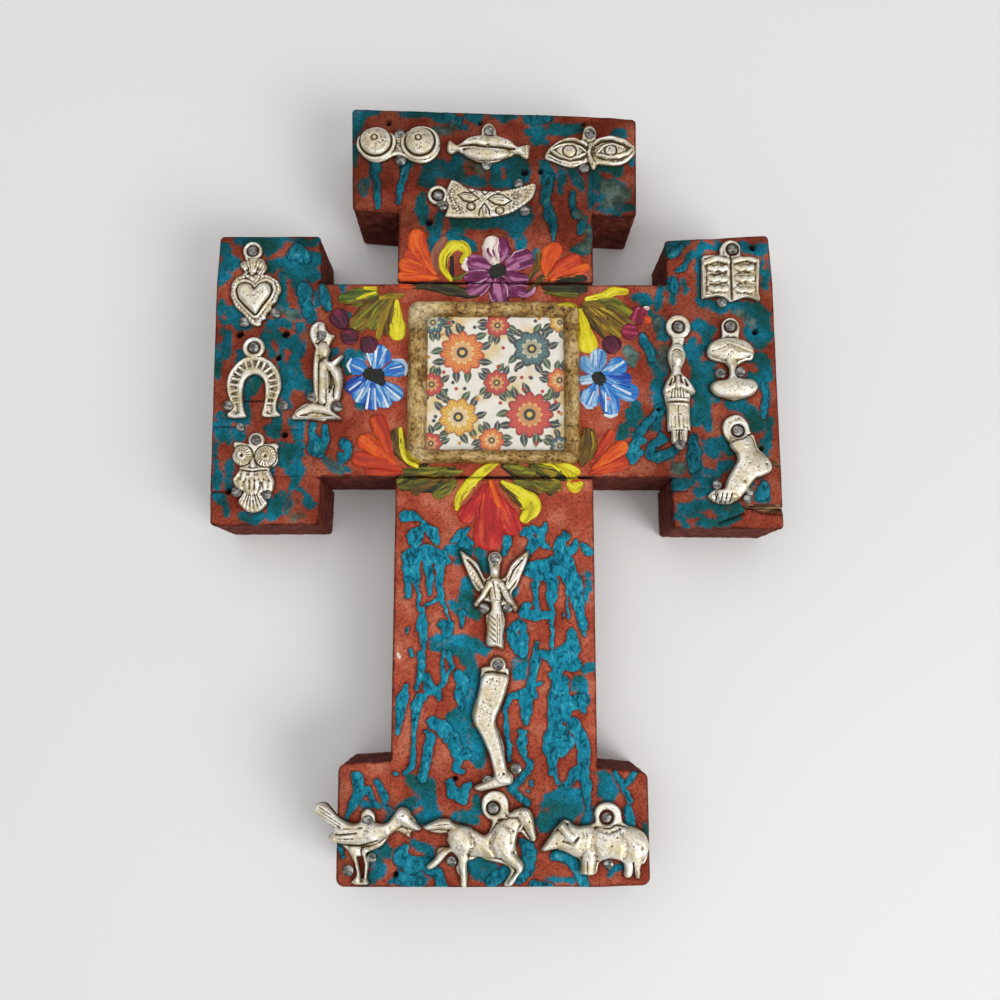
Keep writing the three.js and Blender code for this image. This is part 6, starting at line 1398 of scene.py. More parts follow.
def castSilver():
    # silver-plated casting, tumbled and then darkened: bright on the raised parts, olive-brown dirt in the hollows
    material, tree, shader = newMaterial("antiqued silver casting")
    place = add(tree, "TexCoord").outputs["Object"]
    hollow = add(tree, "Attribute", {"attribute_name": "hollow"}).outputs["Fac"]
    cloud = add(tree, "TexNoise", {"Scale": 1 / 0.004, "Detail": 4.0}, {"Vector": place})
    grain = add(tree, "TexNoise", {"Scale": 1 / 0.0006, "Detail": 3.0, "Roughness": 0.65}, {"Vector": place})
    uneven = add(tree, "Math", {"operation": "MULTIPLY_ADD", 1: 0.26, 2: -0.13}, {0: cloud})
    fine = add(tree, "Math", {"operation": "MULTIPLY_ADD", 1: 0.46, 2: -0.23}, {0: grain})
    sumOne = add(tree, "Math", {"operation": "ADD"}, {0: hollow, 1: uneven})
    sumTwo = add(tree, "Math", {"operation": "ADD"}, {0: sumOne, 1: fine})
    # the castings on the cap are darker, as its paint is
    height = add(tree, "SeparateXYZ", links={0: place})
    aged = add(tree, "MapRange", {"From Min": 0.05, "From Max": 0.085, "To Max": 0.05}, {"Value": height.outputs["Y"]})
    sumThree = add(tree, "Math", {"operation": "ADD"}, {0: sumTwo, 1: aged})
    dirt = add(tree, "MapRange", {"interpolation_type": "SMOOTHSTEP", "From Min": 0.01, "From Max": 0.16},
               {"Value": sumThree})
    film = add(tree, "MapRange", {"interpolation_type": "SMOOTHSTEP", "From Min": -0.05, "From Max": 0.09, "To Max": 0.6},
               {"Value": sumThree})
    tone = ramp(tree, cloud, [(0.36, "#d6c8a6"), (0.5, "#ede5d2"), (0.64, "#fcf9f2")])
    filmed = blendColours(tree, film, tone, "#b89e68")
    colour = blendColours(tree, dirt, filmed, "#4c3a16")
    tree.links.new(colour, shader.inputs["Base Color"])
    metal = add(tree, "MapRange", {"To Min": 0.66, "To Max": 0.3}, {"Value": dirt})
    tree.links.new(metal.outputs[0], shader.inputs["Metallic"])
    rough = add(tree, "MapRange", {"To Min": 0.4, "To Max": 0.65}, {"Value": dirt})
    tree.links.new(rough.outputs[0], shader.inputs["Roughness"])
    bump = add(tree, "Bump", {"Strength": 0.7, "Distance": 0.0002}, {"Height": grain})
    tree.links.new(bump.outputs[0], shader.inputs["Normal"])
    return material


def buildCharm(name, spec, material):
    # a relief over a grid, kept where it is inside the outline, its border moved onto the outline, closed below
    nailX, nailY = spec["nail"]
    outline = curveThrough(spec["outline"]) + np.array(spec["nail"])
    ring = spec.get("ring", 0)
    pitch = casting["pitch"]
    low = np.minimum(outline.min(0), (nailX - ring, nailY - ring)) - 3 * pitch
    high = np.maximum(outline.max(0), (nailX + ring, nailY + ring)) + 3 * pitch
    x, y = np.meshgrid(np.arange(low[0], high[0], pitch), np.arange(low[1], high[1], pitch))
    depth = insideDistance(x, y, outline)
    away = np.hypot(x - nailX, y - nailY)
    if ring:
        depth = np.maximum(depth, ring - away)
    if spec["eye"] > 1.2:
        depth = np.minimum(depth, away - spec["eye"])
    if "gap" in spec:
        depth = np.minimum(depth, -insideDistance(x, y, np.array(spec["gap"]) + np.array(spec["nail"])))
    rows, cols = x.shape
    middle = (depth[:-1, :-1] + depth[1:, :-1] + depth[:-1, 1:] + depth[1:, 1:]) / 4
    kept = middle > 0
    uses = np.zeros(x.shape, int)
    for dr, dc in ((0, 0), (0, 1), (1, 0), (1, 1)):
        uses[dr:rows - 1 + dr, dc:cols - 1 + dc] += kept
    border = (uses > 0) & (uses < 4)
    slopeY, slopeX = np.gradient(depth, pitch)
    steep = np.maximum(np.hypot(slopeX, slopeY), 0.5)
    shift = np.where(border, np.clip(-depth, -pitch, pitch), 0)
    x, y = x + shift * slopeX / steep ** 2, y + shift * slopeY / steep ** 2
    depth = np.where(border, 0, np.maximum(depth, 0))

    forms = spec["forms"] + (bandForms(spec["band"]) if "band" in spec else [])
    height = casting["thickness"] - casting["wall"] + relief(x, y, forms)
    if ring or spec["eye"] > 1.2:
        loop = np.clip(away - spec["eye"], 0, None) < (ring or 3) - spec["eye"]
        height = np.where(loop & (away < (ring or 3) * 1.02), np.minimum(height, 1.1), height)
    height = height + casting["ripple"] * (1.5 * noise(x, y, 0, 2.4, 53) + noise(x, y, 0, 1.3, 51) + 0.8 * noise(x, y, 0, 0.6, 52))
    height = np.clip(height, 0.25, None) * dome(depth / casting["edge"])
    top = casting["back"] + casting["wall"] + height
    hollow = blur(top, 14) - top

    index = np.arange(rows * cols).reshape(rows, cols)
    quads = np.stack([index[:-1, :-1], index[:-1, 1:], index[1:, 1:], index[1:, :-1]], -1)[kept]
    used = np.unique(quads)
    renumber = np.full(rows * cols, -1)
    renumber[used] = np.arange(len(used))
    quads = renumber[quads]
    count = len(used)
    upper = np.column_stack([x.ravel()[used], y.ravel()[used], top.ravel()[used]])
    lower = np.column_stack([upper[:, :2], np.full(count, casting["back"])])
    starts = quads.ravel()
    ends = np.roll(quads, -1, 1).ravel()
    lone = ~np.isin(starts * count + ends, ends * count + starts)
    a, b = starts[lone], ends[lone]
    walls = np.stack([b, a, a + count, b + count], -1)
    points = np.concatenate([upper, lower])
    # the walls get a fixed 0.3, so the charm's edge is dark: painted shade and dirt
    shade = np.concatenate([hollow.ravel()[used], np.full(count, 0.3)])
    piece = addMesh("cast_" + name, points, [quads, walls, quads[:, ::-1] + count], material,
                    {"hollow": shade})
    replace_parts(piece, "charm_" + name)
    return piece


# Nails

nailSpots = {
    # heads in or over the charms' eyes: (x, y, head radius, underside)
    "nail_domes": (-28.8, 103.9, 1.6, 26.2), "nail_lips": (-2.1, 104.8, 1.6, 26.9),
    "nail_eyes": (28.2, 104, 1.6, 26.9), "nail_horn_plate": (-17.2, 84.6, 1.55, 25.7),
    "nail_heart": (-71.4, 66.9, 1.5, 26.0), "nail_horseshoe": (-70, 37.5, 1.5, 26.0),
    "nail_owl": (-68.2, 10.1, 1.6, 26.9), "nail_kneeling_figure": (-50.3, 40.9, 1.6, 26.9),
    "nail_book": (69.9, 68, 1.55, 26.1), "nail_praying_figure": (53.3, 44.2, 1.55, 26.0),
    "nail_mushroom": (68.5, 44.4, 1.55, 26.1), "nail_foot": (69.7, 13.3, 1.6, 26.1),
    "nail_angel": (0, -23.6, 1.5, 26.9), "nail_leg": (0.9, -53.1, 1.6, 26.9),
    "nail_rooster": (-34.1, -94.6, 1.6, 26.9), "nail_horse": (-0.3, -91.3, 1.55, 25.9),
    "nail_pig": (30.4, -93.7, 1.35, 26.3),
    # heads beside the charms, over their rims
    "nail_domes_rim": (-28.3, 95.3, 1.6, 26.4), "nail_horn_plate_rim": (8.6, 79.6, 1.6, 26.2),
    "nail_heart_rim": (-64, 47.9, 1.6, 26.2), "nail_horseshoe_rim": (-60.8, 20.4, 1.55, 26.2),
    "nail_kneeling_figure_rim": (-45.2, 19.8, 1.6, 26.9), "nail_praying_figure_rim": (52.8, 9.1, 1.5, 26.6),
    "nail_mushroom_rim": (65.2, 30.3, 1.6, 26.2), "nail_leg_rim": (5.9, -80.8, 1.6, 26.2),
    "nail_foot_rim": (71.9, -6.5, 1.4, 26.2),
}
extraNails = [
    (-2.7, 94, 1.55, 26.4), (26.3, 93.2, 1.6, 26.4), (-15.8, 81.1, 1.6, 26.8), (6.8, 88.2, 1.5, 26.2),
    (-73, 45.1, 1.6, 26.2), (-76.7, 20.2, 1.55, 26.2), (-52.6, 22.9, 1.55, 26.3), (-73, -4.8, 1.6, 26.3),
    (-64.6, -5.6, 1.5, 26.6), (66.2, 51.6, 1.55, 26.2), (70.9, 30.7, 1.55, 26.2), (63.2, -2.5, 1.4, 26.3),
    (72.3, -4.4, 1.4, 25.9), (-3, -37.5, 1.5, 26.6), (3.6, -37.5, 1.35, 26.5), (-1.9, -84.1, 1.55, 26.6),
    (-11.5, -105.1, 1.45, 26.2), (-39.2, -107.5, 1.6, 26), (-32.9, -104.2, 1.35, 26.2),
    (30.7, -105.8, 1.5, 26), (-73.1, 14.1, 1.35, 25.5),
]


def wireSteel():
    # drawn steel wire nail, its head struck flat: dull grey scale with bright hammer scratches
    material, tree, shader = newMaterial("hammered wire nail steel")
    place = add(tree, "TexCoord").outputs["Object"]
    scratch = add(tree, "Mapping", {"Rotation": (0, 0, 0.6), "Scale": (1, 1.7, 1)}, {"Vector": place})
    marks = add(tree, "TexNoise", {"Scale": 1 / 0.0016, "Detail": 4.0, "Roughness": 0.6}, {"Vector": scratch})
    tone = ramp(tree, marks, [(0.36, "#4c4a46"), (0.5, "#7c7a76"), (0.64, "#b6b4af")])
    tree.links.new(tone.outputs[0], shader.inputs["Base Color"])
    rough = add(tree, "MapRange", {"From Min": 0.3, "From Max": 0.7, "To Min": 0.6, "To Max": 0.32}, {"Value": marks})
    tree.links.new(rough.outputs[0], shader.inputs["Roughness"])
    shader.inputs["Metallic"].default_value = 0.85
    bump = add(tree, "Bump", {"Strength": 0.3, "Distance": 0.0001}, {"Height": marks})
    tree.links.new(bump.outputs[0], shader.inputs["Normal"])
    return material


def buildNail(name, spot, material, seed):
    # a profile turned once round: domed head, its thin edge, the shank and its point; the head dented by noise
    x, y, radius, under = spot
    profile = np.array([
        (0.0, 0.78), (0.3, 0.77), (0.55, 0.74), (0.75, 0.68), (0.88, 0.58), (0.96, 0.45), (1.0, 0.28), (0.98, 0.1),
        (0.9, 0.0),
    ]) * (radius, 1)
    shank = np.array([(0.8, -0.1), (0.75, -0.5), (0.75, -12.5), (0.0, -14.5)])
    profile = np.concatenate([profile, shank])
    turns = np.linspace(0, 2 * math.pi, 29)[:-1]
    r, a = np.meshgrid(profile[:, 0], turns, indexing="ij")
    h = np.repeat(profile[:, 1][:, None], len(turns), 1)
    px, py = x + r * np.cos(a), y + r * np.sin(a)
    wobble = 1 + 0.035 * noise(px, py, 0, 1.0, seed)
    px, py = x + r * wobble * np.cos(a), y + r * wobble * np.sin(a)
    tilt = np.random.default_rng(seed).uniform(-0.09, 0.09, 2)
    dents = 0.09 * noise(px, py, 0, 0.8, seed + 1) * (h > 0.2)
    z = under + h + dents + ((px - x) * tilt[0] + (py - y) * tilt[1]) * (h > -0.2)
    z[0], z[-1] = z[0].mean(), z[-1].mean()
    rows, cols = r.shape
    points = np.stack([px, py, z], -1).reshape(-1, 3)
    points = np.concatenate([[points[0]], points[cols:-cols], [points[-1]]])
    middle = gridFaces(rows - 2, cols, closedCols=True, first=1)[:, ::-1]
    ring = np.arange(cols)
    ahead = (ring + 1) % cols
    last = len(points) - 1
    cap = np.stack([np.zeros(cols, int), 1 + ring, 1 + ahead], -1)
    tip = np.stack([np.full(cols, last), last - cols + ahead, last - cols + ring], -1)
    return addMesh(name, points, [middle, cap, tip], material)


# Painted flowers round the frame

petalPaint = {
    # main colour, streaks of a lighter one, streaks of a darker one
    "orange": ("#dc4c08", "#ee7016", "#a42c06"), "redOrange": ("#c43610", "#de5618", "#8e1e0a"),
    "red": ("#c41c1c", "#e05a3c", "#8c1014"), "yellow": ("#e4d404", "#f2e840", "#9c8a08"),
    "plum": ("#701650", "#c880ac", "#3e0828"), "cream": ("#ecdccb", "#fbf4ea", "#b07a9a"),
    "pink": ("#b87aa0", "#ecd0de", "#7a2c5c"), "blue": ("#2f84d0", "#b0d6f0", "#0e44ac"),
    "paleBlue": ("#84b6dc", "#e6f0f8", "#3470b6"), "deepBlue": ("#1450b6", "#70aee4", "#0a2a84"),
    "white": ("#dce8f0", "#ffffff", "#8cb8e0"), "maroon": ("#4a0a28", "#7c2040", "#260414"),
    "berryRed": ("#8c1038", "#c04468", "#50061c"), "olive": ("#64620c", "#9c9a20", "#2e2e08"),
    "gold": ("#94780c", "#c4a420", "#4c3808"), "leafGreen": ("#5a6c10", "#a0a828", "#2c3a0a"),
    "darkLeaf": ("#26260e", "#4c4a14", "#0e1006"), "black": ("#0c0c0a", "#26281e", "#040404"),
    "oliveBrown": ("#5a4008", "#8c6c14", "#261a06"), "rose": ("#d88aa4", "#f0c4d0", "#a85070"),
    "rust": ("#8c4c38", "#a06a54", "#5c2c20"),
}

# Brush strokes in the order they were laid: paint, then x, y and half width at each point, in millimetres
petals = {
    "petals_top": [
        ("rust", -15.5, 70.5, 1.6, -17.8, 66, 1.8, -17.3, 61, 0.6),
        ("orange", -17.4, 59, 0.4, -22, 59.5, 1.4, -27.2, 59.7, 1.6),
        ("orange", -17.4, 59.4, 0.5, -22, 62, 1.8, -26.4, 63.2, 2.2),
        ("redOrange", -17.6, 60, 0.5, -20.8, 63.6, 2.2, -24.8, 65.8, 2.4),
        ("orange", -17.8, 60.4, 0.5, -21, 65, 2.2, -23.2, 69.6, 3.0, -23.3, 71.6, 2.8),
        ("orange", -19, 56.2, 0.3, -24, 56.5, 0.6, -27.8, 56.8, 0.8),
        ("yellow", -13.2, 58.8, 0.7, -15.7, 62.3, 1.3, -15.4, 66, 1.5, -13, 69.2, 1.7, -10.1, 69.6, 1.7,
         -8, 67.2, 1.4, -9.8, 64.4, 0.9),
        ("black", -12.8, 65.4, 0.5, -12.9, 60, 0.7), ("black", -14.6, 61.5, 0.12, -14.3, 65.6, 0.14, -12.2, 68.2, 0.12, -9.6, 68.4, 0.1),
        ("darkLeaf", -25, 56.4, 0.4, -20, 56.6, 1.1, -14, 55.7, 1.9, -8, 54.4, 1.6, -5.4, 53.9, 0.6),
        ("olive", -13.5, 58.9, 0.5, -10.5, 59.3, 0.8, -8.6, 60.6, 0.5),
        ("oliveBrown", 12.8, 66.4, 0.9, 12.6, 63, 1.1, 10, 59, 0.6), ("oliveBrown", 17.4, 61.5, 0.4, 13, 58.8, 0.9, 8, 52.8, 0.3),
        ("orange", 14.9, 59.4, 0.6, 14.9, 63.4, 2, 16.4, 66.8, 2.8, 17.6, 68.2, 2.1),
        ("redOrange", 15.6, 59, 0.5, 19.5, 62.6, 2.2, 23, 64.6, 2.4), ("orange", 16.4, 58.6, 0.4, 21.5, 60.6, 1.7, 26.3, 62.4, 1.5),
        ("darkLeaf", 14, 56.4, 0.5, 18, 55.8, 1.7, 22.5, 55.6, 2.1, 26, 56, 1.2),
        ("olive", 14.5, 54.8, 0.3, 19, 54.2, 0.8, 23.5, 54, 0.9), ("darkLeaf", 18, 58.8, 0.7, 23, 59.2, 1.3, 26.2, 59.2, 0.9),
        ("plum", 3, 62.4, 1.4, 6.4, 64.4, 3.1, 8.6, 65.2, 2.8), ("plum", -2, 62.4, 1.4, -5.1, 63.6, 3, -6.2, 63.8, 2.7),
        ("cream", -8.4, 64.8, 0.7, -9.2, 62.8, 0.9, -8.2, 61.2, 0.4), ("plum", -2.4, 60.2, 1.2, -5.7, 59.6, 2.1, -7.8, 59.2, 1.6),
        ("plum", -2, 58.4, 1, -5, 56.2, 2.2, -7, 55.4, 1.8), ("plum", 3, 60, 1.4, 5.8, 58.8, 2.6, 7.8, 58.8, 2.1),
        ("plum", 2.8, 57.6, 1.2, 6, 55.4, 2.3, 8.2, 54.6, 1.7), ("plum", 0.6, 58, 1.4, 1, 54.8, 3, 1.1, 53.4, 2.8),
        ("cream", 0, 64, 1.4, -1.2, 67, 2.9, -1, 69.8, 2.4), ("plum", 0.8, 64.4, 0.9, 2.4, 67.4, 2.2, 2.1, 70, 1.8),
        ("plum", -0.8, 66, 0.9, -1.8, 67.8, 1.4, -0.8, 69.4, 0.9), ("cream", -1.4, 64.2, 0.3, 1.6, 64.8, 0.35, 3.6, 66.4, 0.25),
        ("pink", -2, 54.6, 0.15, -1, 51.9, 0.25, 1, 50.9, 0.3, 3.4, 51.8, 0.25), ("pink", 9, 53.6, 0.6, 10.8, 54.8, 0.8, 11.4, 56, 0.5),
        ("pink", -8, 57.4, 0.12, -4.6, 57.8, 0.18, -2.4, 58.8, 0.12), ("pink", -4.4, 53.6, 0.15, -2.8, 55, 0.2, -1.6, 57, 0.12),
        ("pink", 3.6, 53.4, 0.15, 3.4, 56, 0.2, 2.4, 58, 0.12), ("pink", 4.4, 56.4, 0.12, 7, 56.8, 0.18, 9.4, 56.6, 0.12),
        ("pink", 3.4, 61.6, 0.12, 7, 61.8, 0.18, 9.8, 62.8, 0.15), ("pink", -3, 61.4, 0.12, -6, 61.3, 0.18, -8.6, 61, 0.15),
        ("pink", 3.8, 64.4, 0.12, 5.6, 67, 0.2, 8.6, 68, 0.15), ("black", 0.1, 61, 2.2, 0.9, 61.4, 2.4),
        ("darkLeaf", -0.6, 61.6, 0.6, 0.8, 60.2, 0.7, 2, 61.9, 0.6),
    ],
    "petals_left": [
        ("oliveBrown", -31, 53, 1.6, -36, 49.4, 3.4, -40.4, 45.4, 2.4), ("olive", -30.6, 52.4, 1.2, -33.8, 48, 2.8, -35.8, 44.6, 1.6),
        ("leafGreen", -44.6, 52.8, 1.5, -40.6, 53.2, 2.8, -36, 54.2, 1.8), ("oliveBrown", -44, 51.2, 0.5, -40, 51.6, 0.9, -36, 52.4, 0.7),
        ("olive", -31.3, 53.8, 0.9, -37, 48.6, 2.1, -42.2, 42.8, 1.0), ("oliveBrown", -31.3, 53.6, 0.8, -35.4, 48, 1.8, -39.2, 43.2, 0.9),
        ("olive", -31, 53.6, 0.8, -34.2, 48.6, 1.8, -36.8, 44.6, 0.9), ("oliveBrown", -30, 52, 0.6, -31, 47, 1.5, -31.6, 42.4, 0.8),
        ("gold", -30.4, 53.6, 0.8, -32.8, 47.6, 1.7, -34, 41, 0.8), ("gold", -27.2, 53.8, 0.5, -30, 53.6, 1.1, -33.4, 53, 0.9),
        ("yellow", -40.5, 52.4, 0.5, -37.6, 53.8, 0.8, -35.2, 54.5, 0.5), ("yellow", -38.4, 55.9, 0.5, -35.2, 55.7, 0.6),
        ("yellow", -28.9, 52, 0.6, -28.8, 47, 1.8, -28.6, 42.8, 2.8),
        ("blue", -34.6, 31.6, 1.2, -34.2, 34.4, 3.7, -34, 35.4, 3.6), ("blue", -37.6, 31, 1.2, -40, 32.2, 2.7, -40.4, 32.4, 2.5),
        ("blue", -31.8, 30.6, 1.2, -28.6, 31.8, 2.8, -28.2, 31.9, 2.7), ("deepBlue", -37.6, 28.4, 1.2, -40.4, 26.6, 2.6, -41, 26.2, 2.4),
        ("blue", -36.8, 27.2, 1.2, -38.4, 24.2, 2.6, -38.8, 23.6, 2.5), ("blue", -32.4, 27, 1.2, -29.4, 24.6, 2.6, -28.8, 24.2, 2.5),
        ("deepBlue", -35.4, 26.8, 1.2, -35.6, 22.8, 2.9, -35.6, 22, 2.8), ("blue", -33.8, 26.4, 1.2, -32.2, 23, 2.8, -32, 22.4, 2.7),
        ("white", -36, 32.6, 0.2, -37.2, 36.6, 0.5), ("white", -34.8, 33, 0.2, -34.6, 38.4, 0.55), ("white", -33.6, 32.6, 0.2, -31.8, 37.2, 0.5),
        ("white", -29.8, 34.2, 0.35, -26.9, 34, 0.55, -25.5, 32, 0.6, -26, 29.8, 0.35), ("white", -30.6, 31.4, 0.15, -27.2, 32.2, 0.3),
        ("white", -41.8, 34.4, 0.3, -42.8, 32.4, 0.5, -42, 30.6, 0.3), ("white", -38.6, 31.4, 0.15, -41.4, 32.6, 0.3),
        ("white", -37.8, 26, 0.2, -39.8, 22, 0.5), ("white", -36.2, 25.6, 0.2, -37, 19.9, 0.45), ("white", -34.8, 25.6, 0.2, -34.4, 19.6, 0.4),
        ("white", -33, 25.2, 0.2, -31, 20.4, 0.45), ("white", -31.4, 26, 0.2, -27.6, 22.8, 0.4), ("paleBlue", -38.8, 27.6, 0.2, -42, 25.2, 0.35),
        ("black", -36.2, 29.8, 2.2, -34.2, 29.4, 2.2), ("black", -33.6, 27.8, 1.4, -32.8, 27.4, 1.2),
        ("maroon", -45.6, 46.8, 2.8, -45.2, 46.2, 2.8), ("maroon", -42.6, 41.2, 2.4, -42.2, 41.2, 2.4), ("maroon", -36.8, 38.8, 2.5, -36.6, 38.4, 2.5),
        ("berryRed", -46.6, 47.8, 0.5, -45.4, 48.4, 0.4), ("berryRed", -43.2, 42.2, 0.4, -42.2, 42.5, 0.3),
        ("redOrange", -26.5, 0.8, 0.4, -32, 1, 0.9, -36.4, 1.2, 0.8), ("redOrange", -27, 1.8, 0.6, -33, 3.8, 1.9, -38.4, 4.8, 2.5),
        ("orange", -28.6, 3.6, 0.5, -33, 7.2, 1.8, -37.2, 10, 2.2), ("redOrange", -29.3, 5.2, 0.6, -31.6, 11, 2, -33.5, 15.4, 2.5),
        ("oliveBrown", -24.6, 3.8, 0.9, -27.2, 8, 2.7, -28.2, 12, 1.9), ("yellow", -27.2, 13.6, 0.6, -26.6, 8.4, 1.1, -25.4, 4.6, 1, -22.4, 2.8, 0.6),
    ],
    "petals_right": [
        ("oliveBrown", 26.8, 50.4, 2, 32, 48.2, 4, 38.4, 45, 2.6),
        ("oliveBrown", 27, 51.4, 1.6, 33, 48, 3.4, 38.4, 43.8, 1.8), ("gold", 27, 50.2, 1.2, 31.4, 46.2, 2.6, 35.6, 42, 1.2),
        ("olive", 28, 52.6, 1, 35, 51.4, 2, 40, 48.2, 1.2), ("oliveBrown", 26.8, 49, 0.8, 29.4, 45.2, 1.8, 31.6, 41.8, 0.9),
        ("gold", 29.5, 50.8, 0.3, 34.4, 48.2, 0.7, 38, 45.2, 0.4), ("darkLeaf", 32.8, 50, 0.4, 33.2, 45.5, 0.6),
        ("yellow", 26.9, 52.8, 0.8, 32.2, 53.9, 1.3, 34.6, 55.4, 1.5, 38.1, 55.2, 1.1), ("yellow", 24.9, 49.5, 0.6, 25.8, 45.4, 1.5, 26.9, 39.2, 2.8),
        ("paleBlue", 28.2, 30.4, 0.9, 26.2, 32.4, 1.7, 25.9, 34.4, 1.4), ("paleBlue", 29.4, 30.8, 1.1, 29.8, 34.2, 2.7, 29.9, 35.4, 2.5),
        ("blue", 31.8, 30.6, 1.1, 35, 32.2, 2.8, 36, 32.8, 2.4), ("deepBlue", 32.2, 28.8, 1.1, 36, 28.9, 2.2, 38, 28.9, 1.6),
        ("paleBlue", 28, 28.6, 1.1, 25.8, 28.4, 1.6), ("blue", 28.9, 26.6, 1.1, 27.6, 23.8, 3, 27.3, 22.9, 2.8),
        ("blue", 31.2, 26.4, 1.1, 33.2, 21.8, 3, 33.4, 20.6, 2.9), ("blue", 32, 27.6, 1.2, 37, 25.4, 2.9, 39, 24.7, 2.6),
        ("white", 33.4, 31, 0.2, 37.2, 33.8, 0.45), ("white", 29.4, 32.4, 0.2, 29, 37, 0.5), ("blue", 30.4, 32, 0.2, 30.8, 36.8, 0.4),
        ("white", 33.8, 26.8, 0.2, 39, 24.2, 0.5), ("deepBlue", 33.6, 27.8, 0.3, 38.8, 26.6, 0.7), ("white", 31.9, 24.6, 0.2, 32, 19.2, 0.4),
        ("white", 31.6, 18, 0.4, 33.2, 17.5, 0.55, 35, 18.2, 0.4), ("white", 28.6, 25, 0.2, 27, 21.2, 0.4), ("white", 25, 21.8, 0.3, 26.4, 20.2, 0.45, 28, 20, 0.3),
        ("black", 29.8, 28.9, 2.1, 30.3, 28.5, 2.1), ("rose", 32.4, 22.9, 0.7, 32.8, 22.7, 0.7),
        ("berryRed", 41.9, 47.6, 2.5, 42.1, 48.2, 2.5), ("cream", 44, 50, 0.8, 44.5, 50, 0.7), ("orange", 44.2, 46.7, 1.1, 44.5, 46.5, 1.1),
        ("berryRed", 39.2, 43, 2.4, 39.5, 43, 2.4), ("maroon", 33.8, 39.2, 2.6, 34, 38.8, 2.6), ("rose", 41, 49.4, 0.4, 42, 50, 0.3),
        ("oliveBrown", 24.8, 3.8, 0.9, 26.4, 8.6, 3, 26.8, 12.2, 2), ("gold", 27.2, 5.2, 0.4, 28.6, 9, 0.9, 28, 12.8, 0.6),
        ("redOrange", 27.4, 1, 0.5, 32, 2.4, 1.6, 36, 3.8, 2.2), ("orange", 28.2, 2.4, 0.6, 32.4, 5.6, 1.7, 36.2, 8.4, 2.1),
        ("redOrange", 28.8, 5.6, 0.6, 31.6, 9.6, 1.5, 33.2, 12.2, 1.4),
    ],
    "petals_bottom": [
        ("cream", -26.9, -50, 0.45, -26.5, -50.9, 0.6),
        ("darkLeaf", -20, 2.6, 1.1, -23, -0.2, 2.5, -26, -3, 1.5), ("oliveBrown", -19, 2.4, 1, -20.6, -1.2, 2.3, -22.6, -4.4, 1.3),
        ("oliveBrown", -12, 2.2, 0.9, -13.4, -1.6, 2.5, -15.2, -5.2, 1.5), ("olive", -21.6, 2.2, 0.6, -25, 0.6, 1.5, -27.2, -1.4, 1),
        ("darkLeaf", 2.6, 3, 0.9, 6.6, 1.4, 2.3, 10.4, -0.6, 1.3), ("oliveBrown", 6, 2, 0.9, 9.4, -1.6, 2.3, 12.4, -4, 1.4),
        ("oliveBrown", 10.6, 3.2, 0.9, 13.6, -0.6, 2.6, 15.8, -4.2, 1.5), ("gold", 14.4, 3.2, 0.7, 17, 0.4, 1.8, 18, -3.4, 1.1),
        ("yellow", 18.2, 3.6, 0.8, 21.2, 1, 1.9, 23, -2.4, 1.4),
        ("darkLeaf", -11.6, 1.8, 0.7, -17.5, 0.9, 1.7, -24.4, 0.6, 1.5), ("oliveBrown", -14, 0.4, 0.8, -18.8, -1.2, 1.7, -25.6, -3.2, 1.3),
        ("darkLeaf", -12, -2.6, 1, -17, -3.2, 1.7, -24, -2.8, 1.7),
        ("oliveBrown", 3.4, 2.8, 0.9, 8.6, 0.4, 2, 13.6, -1.6, 2, 17.4, -2.8, 1.4), ("darkLeaf", 10.4, 2.6, 0.8, 15, 0.6, 1.8, 19.4, -0.4, 1),
        ("olive", -14, 2.2, 0.6, -19, 1.5, 1.3, -26, 1.1, 1.0), ("oliveBrown", -18, 0.6, 0.4, -22, 0.3, 0.5, -26.5, 0.2, 0.4),
        ("olive", -20, -1.8, 0.7, -23.6, -2.6, 1.6, -26.8, -3, 0.9), ("oliveBrown", -17, -2, 0.5, -20.6, -3.4, 1.5, -23.6, -4, 0.7),
        ("olive", -9.6, 1.4, 0.5, -13, 0.9, 1.0, -16, 1.2, 0.6), ("olive", -11.6, -1.9, 0.9, -14, -3.6, 2, -16.4, -5, 1.5),
        ("darkLeaf", -12.2, -2.6, 0.2, -14.6, -4.6, 0.4), 
        ("yellow", 0.6, 3.8, 0.5, -2.8, 2, 1.4, -5.8, -0.6, 1.4, -8.6, -3.8, 1.7, -10.4, -6.6, 1.3, -10.8, -9.4, 0.6), ("gold", -6, -3, 0.2, -9, -5.4, 0.4, -10, -8.2, 0.3),
        ("olive", 3, 3, 0.7, 7, 1.9, 1.6, 10.8, 1.3, 1.1), ("olive", 5.8, -1.8, 0.7, 9, -2.3, 1.2, 11, -2, 0.8),
        ("olive", 10.6, 3, 0.7, 14.4, 1.7, 1.7, 18, 1.2, 1.1), ("gold", 12.6, 2.2, 0.3, 15, 1.2, 0.8, 17.4, 0.8, 0.5),
        ("olive", 11.6, -2, 0.9, 14.8, -3, 1.9, 17.2, -2.4, 1.4), ("gold", 13.4, -1.8, 0.4, 15.6, -2.6, 0.9, 17, -2, 0.6),
        ("yellow", 13, 4, 0.3, 16.4, 3.2, 0.5, 18.4, 1.6, 0.4), ("yellow", 17.4, 3.9, 0.7, 20.6, 2.7, 1.5, 23.4, 1.3, 1.0),
        ("yellow", 21.6, -2.3, 1.3, 22.8, -3.2, 1.6, 24.1, -2.3, 1.1), ("redOrange", 21.8, -1.5, 0.6, 24.1, -1.4, 0.65),
        ("yellow", 2.2, -1.8, 0.7, 6, -4.2, 1.8, 9.6, -7.2, 2.8, 10.6, -9.4, 2.7, 8.6, -11.8, 1.8),
        ("oliveBrown", 1.8, -2.4, 0.4, 5.2, -5.8, 1, 8.4, -9.2, 0.5), ("red", -2.6, -3, 0.8, -6, -8, 2, -8.1, -11.2, 2.4),
